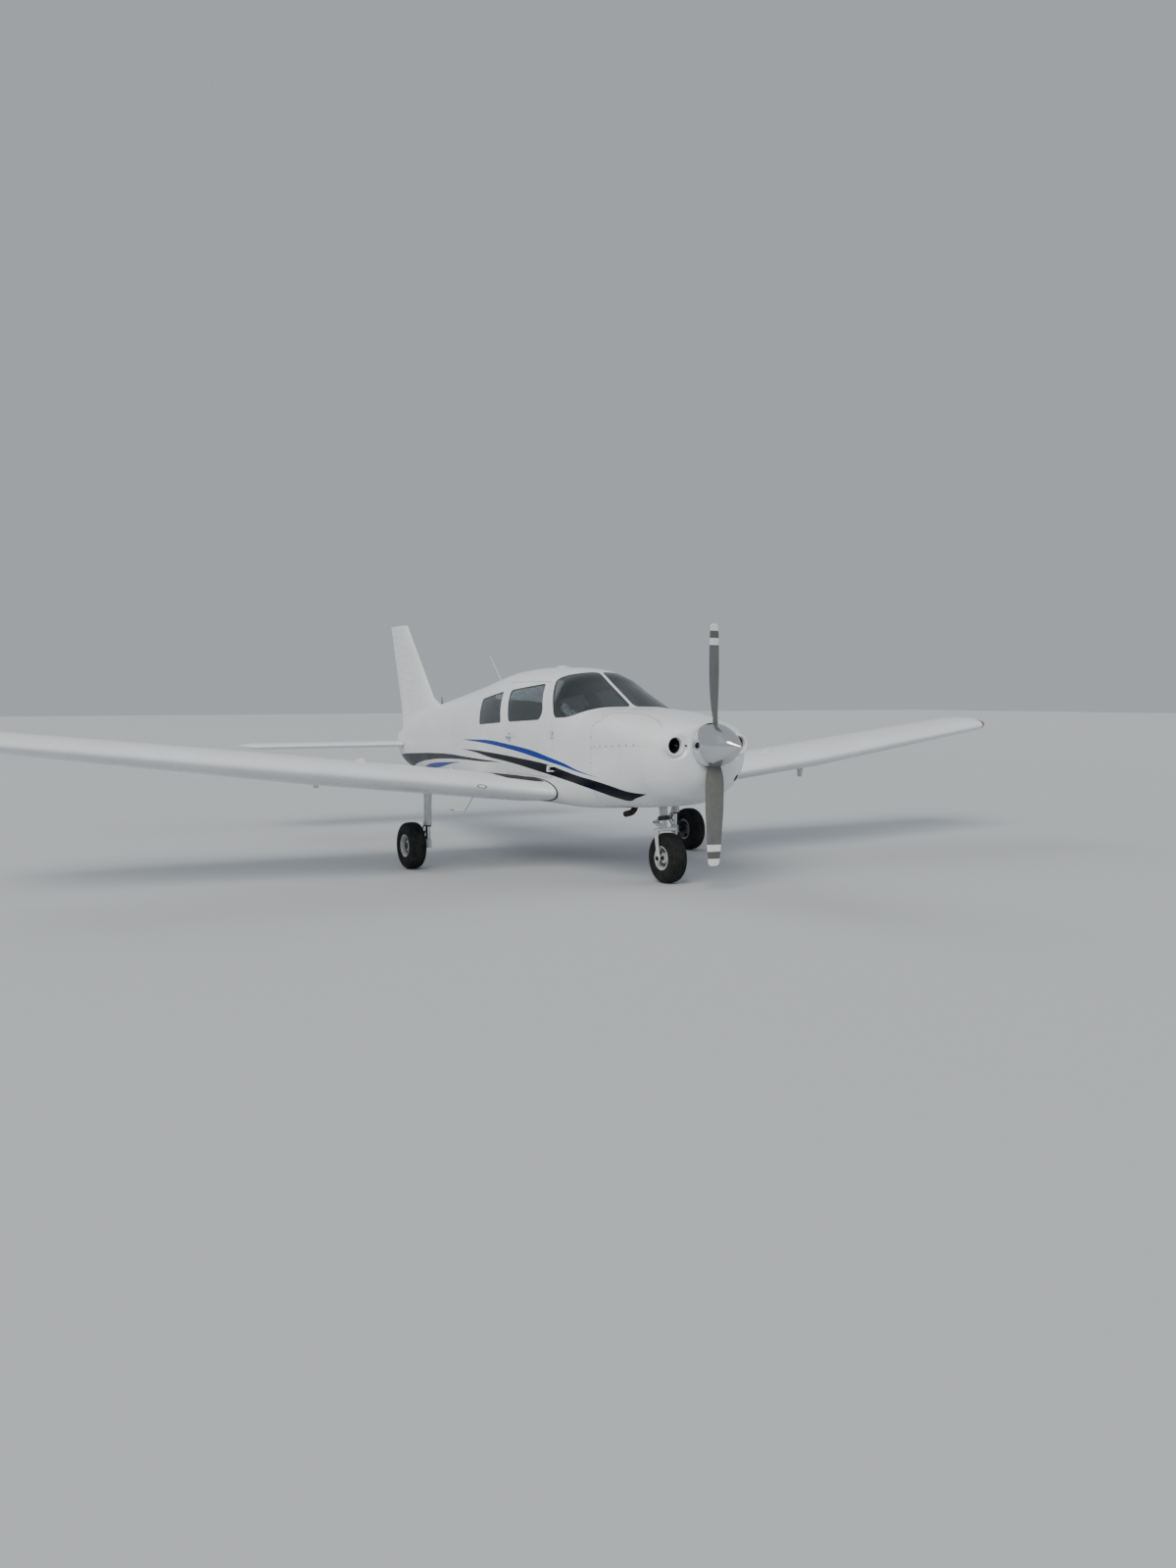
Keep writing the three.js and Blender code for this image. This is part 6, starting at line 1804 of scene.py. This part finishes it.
panel_parts = [painted(panel_slab("panel_plate", panel_edge, .001, .004), panel_black)]
shield = beside(
    PANEL_X, 0, [(-.038, 1.372), (-.034, 1.360), (.01, 1.366), (.145, 1.394), (.150, 1.404), (.01, 1.384)],
)
shield_half = float(hull_half_width(PANEL_X + .15, 1.404)) - .034
panel_parts.append(painted(
    plate("glareshield", shield, -shield_half, shield_half, corner=.004, edge=.004), panel_black,
))
DIALS = [(y, z, .040) for y in (.400, .310, .220, .130) for z in (1.285, 1.185)]
DIALS += [(y, z, .028) for z in (1.290, 1.215) for y in (-.20, -.28, -.36)]
for y, z, radius in DIALS:
    inner = radius * .86
    ring = beside(
        PANEL_X, 0, [(.001, inner), (-.006, inner), (-.007, radius * .9), (-.007, radius), (.001, radius)],
    )
    panel_parts.append(painted(turned_object("bezel", ring, (0, y, z), "X", 32), bezel_black))
    face = beside(PANEL_X, 0, [(.001, .0002), (-.002, .0002), (-.002, radius * .88), (0, radius * .88)])
    panel_parts.append(painted(turned_object("face", face, (0, y, z), "X", 32), dial_face))
    for k in range(12):
        turn = 2 * math.pi * k / 12
        outwards = radius * np.array([0, math.sin(turn), math.cos(turn)])
        tick = [np.array([PANEL_X - .0022, y, z]) + outwards * share for share in (.66, .82)]
        panel_parts.append(painted(rod("tick", tick, radius * .018, 6), marking_white))
    needle = [(PANEL_X - .0032, y + radius * a, z + radius * b) for a, b in ((-.12, -.08), (.55, .36))]
    panel_parts.append(painted(rod("needle", needle, [radius * .035, radius * .012], 6), marking_white))
for z in (1.305, 1.255, 1.205, 1.155, 1.105):
    panel_parts.append(painted(
        panel_slab("radio", box(-.085, z - .021, .065, z + .021), .001, -.010), bezel_black,
    ))
    panel_parts.append(painted(
        panel_slab("display", box(-.055, z - .011, .035, z + .011), -.0095, -.0108), dial_face,
    ))
    for y in (-.072, .052):
        panel_parts.append(painted(
            rod("knob", [(PANEL_X - .0095, y, z), (PANEL_X - .024, y, z)], .0085, 16), bezel_black,
        ))
for y in (-.02, -.06, .02):
    lever = [(PANEL_X + .001, y, 1.00), (PANEL_X - .060, y, 1.01)]
    panel_parts.append(painted(rod("lever", lever, .005, 12), spun_aluminium))
    knob = [
        (x, y, z)
        for x, z in beside(PANEL_X, 0, [(-.058, 1.010), (-.064, 1.0105), (-.084, 1.013), (-.088, 1.0135)])
    ]
    panel_parts.append(painted(rod("lever_knob", knob, [.008, .013, .013, .008], 16), bezel_black))
for y in (-.262, .262):
    shaft, hub = [
        [(PANEL_X + x, y, YOKE_Z) for x in stations]
        for stations in ((.004, -.180), (-.168, -.172, -.194, -.196))
    ]
    panel_parts.append(painted(rod("yoke_shaft", shaft, .0115, 20), hard_chrome))
    panel_parts.append(painted(rod("yoke_hub", hub, [.026, .030, .030, .024], 24), bezel_black))
    arc = [
        (y + .116 * math.sin(t), 1.146 - .020 * math.cos(t))
        for t in np.linspace(-math.pi / 2, math.pi / 2, 11)
    ]
    horn = [(y - .120, 1.214), (y - .124, 1.190), *arc, (y + .124, 1.190), (y + .120, 1.214)]
    horn = [(PANEL_X - .182, a, b) for a, b in horn]
    thickness = [.008, .0115, .012, *[.0095] * 9, .012, .0115, .008]
    panel_parts.append(painted(rod("yoke_horns", horn, thickness, 16), bezel_black))
panel = joined("panel_with_yokes", panel_parts)
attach(panel, "airframe")
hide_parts("instrument_panel")

# Wing root. A black rubber seal follows the joint, and the right wing carries a strip of grit to walk on.
# Black rubber for seals and antenna bases, also used as painted shade in vents, port, cheek lines and gaps.
seal_rubber = worn_material("seal_rubber", "#141517", "#222326", 20, (.6, .8))
grit_black = worn_material("walkway_grit", "#2B2C2E", "#3A3B3C", 18, (.85, 1.0), bump_depth=.003)
WALKWAY = [
    (1.56, .604), (1.40, .900), (1.30, .950), (.30, .950), (.30, .700), (.235, .660), (-.02, .660),
    (-.02, .600), (.40, .575), (1.0, .588),
]
SEAL_RADIUS = .0085


def wing_top(pairs, side):
    """Points of the wing's upper skin for (x, distance from the middle) pairs."""
    points = []
    for x, y in np.asarray(pairs).reshape(-1, 2):
        station = wing_frame(y)
        height = skin_point(station, (station[0] - x) / station[1], 1)[1]
        points.append((x, side * y, height))
    return np.array(points).reshape(*np.shape(pairs)[:-1], 3)


for side, label in ((1, "left"), (-1, "right")):
    ring = np.concatenate([root_line(key, side) for key in ("front", "tail")])
    ring[:, 1] += side * .005
    seal = painted(
        rod(f"root_seal_{label}", np.roll(ring, len(ring) // 4, axis=0), SEAL_RADIUS, 10), seal_rubber,
    )
    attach(seal, "airframe")
walkway = skin_sheet(
    "walkway", rounded(WALKWAY, .03), place=lambda pairs: wing_top(pairs, -1), depth=(-.0012, -.0003),
    step=.05,
)
painted(walkway, grit_black)
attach(walkway, "airframe")

# Small pieces on the wings: fuel caps, fresh air ovals in the leading edge, a pitot mast, vents, the pads for
# jacking, round inspection covers below, and coloured lights in the tips.
cap_enamel = worn_material("cap_enamel", "#E6E8E8", "#D2D4D3", 10, (.3, .45))
lenses = []
for name, base, light, dark in (
    ("lens_red", "#8E1512", "#A81A16", "#7A100E"), ("lens_green", "#0F6A3C", "#138049", "#0B5630"),
):
    lens, tree, shader = new_material(name, Base_Color=linear(base), Roughness=.12, Coat_Weight=.5)
    set_tones(shader, add_node(tree, "TexWave", {"Scale": 60.0}), light, dark)
    lenses.append(lens)
FUEL_CAP, POST, OVAL_Y, PITOT = (1.140, 2.160), (.573, 1.076), 1.185, (.946, 2.761)
NOSE_CURVE = .040  # radius of the wing's leading edge
FILLER_RING = [(-.010, .030), (-.010, .062), (.0015, .062), (.003, .058), (.003, .030)]
FUEL_CAP_EDGE = [(-.004, AXIS_HOLE), (-.004, .044), (.016, .044), (.020, .040), (.020, AXIS_HOLE)]
PAD_PLACE = (.760, 2.440)
JACK_PAD = [(.774, AXIS_HOLE), (.774, .019), (.777, .022), (.835, .022), (.835, AXIS_HOLE)]
COVER = [(-.0025, AXIS_HOLE), (-.0025, .055), (-.001, .060), (.004, .060), (.004, AXIS_HOLE)]
COVER_COUNT, COVER_Y, COVER_PITCH, COVER_SHARE = 5, .95, .70, .62
for side, label in ((1, "left"), (-1, "right")):
    parts = []
    cap_at = wing_top([FUEL_CAP], side)[0]
    parts.append(painted(turned_object("filler_ring", FILLER_RING, cap_at, "Z", 40), cap_enamel))
    parts.append(painted(turned_object("fuel_cap", FUEL_CAP_EDGE, cap_at, "Z", 40), cap_enamel))
    tab = beside(cap_at[0], cap_at[2], [(-.034, .0195), (.034, .0195), (.028, .030), (-.028, .030)])
    parts.append(painted(plate("cap_tab", tab, cap_at[1] - .004, cap_at[1] + .004, .004, .001), cap_enamel))
    post_at = wing_top([POST], side)[0]
    post = [post_at - [0, 0, .006], post_at + [0, 0, .040], post_at + [-.008, 0, .050]]
    parts.append(painted(rod("vent_post", post, [.009, .0085, .006], 16), cap_enamel))
    # each fresh air vent is a black oval disc: painted shade in the opening
    turn = np.linspace(0, 2 * math.pi, 32, endpoint=False)
    oval_rings = []
    for reach, ahead in ((1, -.006), (1, .0015), (.86, .0018), (.84, -.0004)):
        across, height = .046 * reach * np.cos(turn), .017 * reach * np.sin(turn)
        bases = [wing_frame(OVAL_Y + a) for a in across]
        oval_rings.append([(base[0] - h * h / (2 * NOSE_CURVE) + ahead, side * (OVAL_Y + a), base[2] + h)
                           for base, a, h in zip(bases, across, height)])
    parts.append(painted(ring_object("air_oval", oval_rings), seal_rubber))
    parts.append(painted(
        turned_object("jack_pad", JACK_PAD, (PAD_PLACE[0], side * PAD_PLACE[1], 0), "Z", 32), gear_enamel,
    ))
    for step in range(COVER_COUNT):
        y = side * (COVER_Y + step * COVER_PITCH)
        low = skin_point(wing_frame(y), COVER_SHARE, -1)
        parts.append(painted(
            turned_object("inspection_cover", COVER, (low[0], y, low[1]), "Z", 36), cap_enamel,
        ))
    lens_rows = []
    for y in np.linspace(5.262, 5.372, 9):
        station = wing_frame(y)
        share = .10 * (1 - ((y - 5.318) / .060) ** 2) + .004
        shares = np.linspace(0, share, 9)
        loop = np.concatenate([skin_point(station, shares[::-1], 1), skin_point(station, shares[1:], -1)])
        middle = skin_point(station, share, 0)
        way = loop - middle
        loop = loop + way / np.linalg.norm(way, axis=1)[:, None] * .0022
        lens_rows.append([(x, side * y, z) for x, z in loop])
    parts.append(painted(ring_object("tip_light", lens_rows, sharp_angle=50), lenses[0 if side > 0 else 1]))
    if side > 0:
        station = wing_frame(PITOT[1])
        low = skin_point(station, (station[0] - PITOT[0]) / station[1], -1)
        mast = beside(*low, [(.050, .012), (.020, -.120), (-.045, -.120), (-.055, .010)])
        parts.append(painted(
            plate("pitot_mast", mast, PITOT[1] - .010, PITOT[1] + .010, .008, .006), cap_enamel,
        ))
    fittings = joined(f"wing_fittings_{label}", parts)
    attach(fittings, "airframe")

# Cowl details. Quarter-turn screws along the parting line and the firewall, a dark line round each cheek
# that is painted shade along its raised step, two larger studs on each side of the spinner and a round port
# low on the left, drawn as a black disc that is painted shade in the opening.
SCREW_RADIUS = .0062
CHEEK = [
    (2.345, .545, 1.330), (2.40, .516, 1.374), (2.39, .440, 1.420), (2.46, .380, 1.434), (2.59, .330, 1.436),
    (2.76, .300, 1.424), (2.95, .320, 1.388), (3.14, .353, 1.331),
]


def skin_frame(place, pair):
    """A point of a skin and its outward direction."""
    pair = np.array(pair, float)
    return place(pair), skin_normal(place, pair)


def screw_at(place, pair, radius=SCREW_RADIUS, rise=.0013):
    point, way = skin_frame(place, pair)
    path = [point - way * .003, point + way * rise * .6, point + way * rise]
    return painted(rod("screw", path, [radius, radius, radius * .8], 14), dark_steel)


parts = []
for along in np.linspace(FIREWALL_X + .06, 2.92, 7):
    girth = float(split_girth(along)) + .020
    parts += [screw_at(cowl_place, (along, g)) for g in (girth, math.pi * GIRTH - girth)]
for girth in np.linspace(-.28, math.pi * GIRTH + .28, 17):
    parts.append(screw_at(cowl_place, (FIREWALL_X + .016, girth), .0045, .001))
for along in (BOWL_X + .30, BOWL_X + .375):
    girth = float(split_girth(along))
    for g in (girth, math.pi * GIRTH - girth):
        parts.append(screw_at(cowl_place, (along, g), .0095, .003))
cheek = np.array(CHEEK)
cheek_x = np.linspace(0, 1, 41)
for side in (1, -1):
    path = np.stack([smooth_curve(np.linspace(0, 1, len(cheek)), cheek[:, k], cheek_x) for k in range(3)], -1)
    pairs = cowl_pair_at(path[:, 1], path[:, 2])
    hull_pairs = np.stack([path[:, 0], [float(roof_girth(min(x, BOWL_X), y)) for x, y in path[:, :2]]], -1)
    pairs = np.where(path[:, :1] > BOWL_X, pairs, hull_pairs)
    points = []
    for pair in pairs:
        point, way = skin_frame(cowl_place, pair)
        points.append(point * [1, side, 1] - way * [1, side, 1] * .0009)
    # a thin black line just proud of the skin: painted shade along the cheek's raised step
    parts.append(painted(rod("cheek_seam", points, .0020, 8), seal_rubber))
# the port is a black disc: painted shade in the opening
port = skin_frame(cowl_place, cowl_pair_at(np.array([.345]), np.array([.905]))[0])
parts.append(painted(
    rod("oval_port", [port[0] - port[1] * .004, port[0] + port[1] * .001], .030, 28), seal_rubber,
))
cowl_fittings = joined("cowl_fittings", parts)
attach(cowl_fittings, "airframe")

# Seams. A black bead just under the skin shows in the joints at the firewall, along the cowl's parting line
# and
# where the tail cone begins: painted shade in the gaps.
# depth and radius of the black beads that stand as painted shade in the gaps
GAP_SHADE_DEPTH, GAP_SHADE_RADIUS = .0042, .0036


def gap_shade_bead(name, place, pairs):
    """A black bead just under a skin along (length, girth) pairs: painted shade in a gap."""
    points = []
    for pair in pairs:
        point, way = skin_frame(place, pair)
        points.append(point - way * GAP_SHADE_DEPTH)
    return painted(rod(name, points, GAP_SHADE_RADIUS, 8), seal_rubber)


whole_girth = np.linspace(BOTTOM, TOP, 161)
parts = [
    gap_shade_bead("joint", hull_place, np.stack([np.full(161, x), whole_girth], -1))
    for x in (FIREWALL_X, CABIN_REAR_X)
]
split_rear = np.linspace(FIREWALL_X, foot_pairs[0, 0] - .004, 40)
for side in (1, -1):
    line = np.stack([split_rear, split_girth(split_rear)], -1)
    if side < 0:
        line[:, 1] = math.pi * GIRTH - line[:, 1]
    parts.append(gap_shade_bead("joint", cowl_place, line))
seams = joined("sealant_beads", parts)
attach(seams, "airframe")

# Door furniture. A flush paddle handle in a dished ring with a keyhole ahead of it, and two small strap
# hinges on pins at the front edge.
HANDLE, KEYHOLE = (.759, 1.186), (.869, 1.202)
HINGES = [(-.592, 1.240), (-.619, .936)]
HINGE_X, KNUCKLE_HALF, KNUCKLE_RADIUS = 1.648, .0064, .0135
parts = []
(handle_at, handle_way), (key_at, key_way) = [
    skin_frame(hull_place, (x, math.pi * GIRTH - float(girth_at(x, z)))) for x, z in (HANDLE, KEYHOLE)
]
ring = [handle_at + handle_way * reach for reach in (-.006, .001, .0028)]
parts.append(painted(rod("handle_ring", ring, [.044, .044, .041], 36), spun_aluminium))
parts.append(painted(
    rod("handle_dish", [handle_at + handle_way * .001, handle_at + handle_way * .0032], .035, 36),
    gear_enamel,
))
lever = [handle_at + handle_way * .006 + np.array([a, 0, 0]) for a in (-.060, -.054, .030, .036)]
parts.append(painted(rod("handle_lever", lever, [.005, .0085, .0095, .006], 14), spun_aluminium))
parts.append(painted(
    rod("keyhole", [key_at - key_way * .004, key_at + key_way * .002], .011, 20), spun_aluminium,
))
door_fittings = joined("door_furniture", parts)
hinge_way = np.array([0, *np.subtract(*HINGES)])
hinge_way /= np.linalg.norm(hinge_way)
fixed_parts, swing_parts = [], []
for y, z in HINGES:
    middle = np.array([HINGE_X, y, z])
    for offset in (-.021, .021):
        ends = [middle + hinge_way * (offset + reach) for reach in (-KNUCKLE_HALF, KNUCKLE_HALF)]
        fixed_parts.append(painted(rod("knuckle", ends, KNUCKLE_RADIUS, 20), gear_enamel))
    pin = [middle + hinge_way * reach for reach in (-.031, .031)]
    fixed_parts.append(painted(rod("hinge_pin", pin, .0065, 14), hard_chrome))
    eye = tube_profile(-.0125, .0125, .0072, KNUCKLE_RADIUS)
    swing_parts.append(painted(turned_object("eye", eye, (0, 0, 0), "Z", 20), gear_enamel))
    lean = Matrix.Rotation(-math.asin(hinge_way[1]), 4, "X")
    swing_parts[-1].data.transform(Matrix.Translation(middle) @ lean)
    for way, bucket, spans in ((1, fixed_parts, (-.021, .021)), (-1, swing_parts, (0,))):
        for offset in spans:
            tall = .0060 if way > 0 else .0120
            start = middle + hinge_way * offset + np.array([way * .009, 0, 0])
            skin_x = HINGE_X + way * .034
            skin_y = -float(hull_half_width(skin_x, start[2])) + .001
            corners = ((start[0], start[1] - .003), (skin_x, skin_y - .004), (skin_x, skin_y + .001),
                       (start[0], start[1] + .004))
            leaf = [[(a, b, start[2] + step) for a, b in corners] for step in (-tall, tall)]
            bucket.append(painted(ring_object("leaf", leaf), gear_enamel))
hinge_fixed = joined("hinge_knuckles_fixed", fixed_parts)
hinge_swing = joined("hinge_knuckles_door", swing_parts)
for piece, body in ((door_fittings, "cabin_door"), (hinge_swing, "cabin_door"), (hinge_fixed, "airframe")):
    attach(piece, body)

# Exhaust, step and antennas. A scorched steel pipe under the cowl, a painted step behind the right wing with
# a grit pad, and white fibreglass or black plastic antennas on the spine.
scorched_steel = worn_material("scorched_steel", "#4B423C", "#1F1C1A", 18, (.5, .8), metallic=.85)
EXHAUST = np.array([(2.452, .872), (2.452, .760), (2.444, .650), (2.390, .592), (2.286, .566)])
EXHAUST_Y = -.205
at = np.concatenate([[0], np.cumsum(np.hypot(*np.diff(EXHAUST, axis=0).T))])
pipe_x, pipe_z = [smooth_curve(at, EXHAUST[:, k], np.linspace(0, at[-1], 32)) for k in (0, 1)]
pipe = np.stack([pipe_x, np.full(32, EXHAUST_Y), pipe_z], -1)
end_way = (pipe[-1] - pipe[-2]) / np.linalg.norm(pipe[-1] - pipe[-2])
exhaust = painted(rod("exhaust_bend", pipe[:-1], .0265, 28), scorched_steel)
rim_turn = np.linspace(0, 2 * math.pi, 28, endpoint=False)[:, None]
one, two = np.array([0, 1.0, 0]), np.cross(end_way, [0, 1.0, 0])
mouth = [pipe[-2] + end_way * a + r * (np.cos(rim_turn) * one + np.sin(rim_turn) * two)
         for a, r in ((-.001, .0265), (.0145, .0265), (.0145, .0240), (-.0005, .0235))]
lip = painted(ring_object("exhaust_mouth", mouth, sharp_angle=35), scorched_steel)
exhaust = joined("exhaust_stack", [exhaust, lip])
STEP_STRUT = [
    (-.405, -.310, .690), (-.545, -.424, .406), (-.556, -.430, .392), (-.575, -.430, .388),
    (-.800, -.430, .3725),
]
step = joined("step_with_pad", [
    painted(rod("step_strut", STEP_STRUT, [.0125, .0125, .012, .0105, .0095], 20), gear_enamel),
    painted(plate("step_pad", box(-.860, .3625, -.780, .3735), -.480, -.370, .004, .002), gear_enamel),
    painted(plate("step_grip", box(-.854, .3732, -.786, .3755), -.474, -.376, .001, .0006), grit_black),
])
fibreglass = worn_material("antenna_fibreglass", "#DFE1E0", "#CDCFCD", 14, (.35, .5))
whip = joined(
    "whip_with_base",
    [
        painted(
            rod("whip", [(-.508, 0, 1.690), (-.552, 0, 1.733), (-.812, 0, 1.985)], [.005, .0048, .0026], 12),
            fibreglass,
        ),
        painted(
            rod(
                "whip_base", [(-.508, 0, 1.684), (-.508, 0, 1.698), (-.511, 0, 1.710), (-.518, 0, 1.720)],
                [.0215, .021, .014, .0095], 24,
            ),
            seal_rubber,
        ),
    ],
)
stub = joined(
    "stub_with_base",
    [painted(
        rod(
            "stub", [(-2.098, 0, 1.440), (-2.104, 0, 1.553), (-2.1042, 0, 1.556)], [.0068, .0042, .0028], 14,
        ),
        seal_rubber,
    )],
)
DOME = [(1.830, AXIS_HOLE), (1.830, .061), (1.8445, .061), (1.8500, .058), (1.8570, .048), (1.8605, .034),
        (1.8618, .016), (1.8620, AXIS_HOLE)]
dome = painted(turned_object("antenna_puck", DOME, (.792, 0, 0), "Z", 48), fibreglass)
for piece, slot, node_name in (
    (exhaust, "exhaust_steel", "exhaust_pipe"), (step, "gear_paint", "boarding_step"),
    (whip, "antenna_plastic", "whip_antenna"), (stub, "antenna_plastic", "stub_antenna"),
    (dome, "antenna_plastic", "roof_antenna"),
):
    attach(piece, "airframe")
    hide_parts(node_name)

# Engine. A real one is a finned block on a tube mount. It shows only through the inlets and the air exit, so
# the plain CAD block stays, in cast aluminium that oil and heat have darkened.
cast_aluminium = worn_material(
    "oily_cast_aluminium", "#6C6E6F", "#3F3E3B", 12, (.45, .7), metallic=.8, bump_depth=.001,
)
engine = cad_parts["engine_block"]
for index in range(len(engine.material_slots)):
    engine.material_slots[index].material = cast_aluminium

# Studio. A plain pale floor under a pale surround, one soft light from the camera's side and two weaker ones.
studio_floor, tree, shader = new_material("matt_studio_floor", Roughness=.85, Specular_IOR_Level=.2)
speckle = add_node(tree, "TexNoise", {"Scale": 6.0, "Detail": 6.0})
set_tones(shader, speckle, "#B9BCBE", "#C1C4C6")
floor = add_object("floor", [(x, y, 0) for x, y in box(-90, -90, 90, 90)], [(0, 1, 2, 3)])
floor.data.materials.append(studio_floor)

surround = bpy.data.worlds.new("surround")
bpy.context.scene.world = surround
surround.use_nodes = True
surround.node_tree.nodes["Background"].inputs["Color"].default_value = linear("#DCE3EA")
surround.node_tree.nodes["Background"].inputs["Strength"].default_value = .55
# name, direction that it comes from, strength, angle across in degrees, colour
SUNS = [
    ("key", (7, -8, 9), 2.1, 34, "#FFF9F2"), ("fill", (6, 10, 6), .55, 50, "#EEF4FF"),
    ("rim", (-10, -2, 6), .8, 30, "#F4F8FF"),
]
for name, source, strength, angle, code in SUNS:
    data = bpy.data.lights.new(name, "SUN")
    data.energy, data.angle, data.color = strength, math.radians(angle), linear(code)[:3]
    light = bpy.data.objects.new(name, data)
    light.visible_glossy = name == "key"  # one lamp in the windows is enough
    light.rotation_euler = Vector(source).to_track_quat("Z", "Y").to_euler()
    bpy.context.scene.collection.objects.link(light)
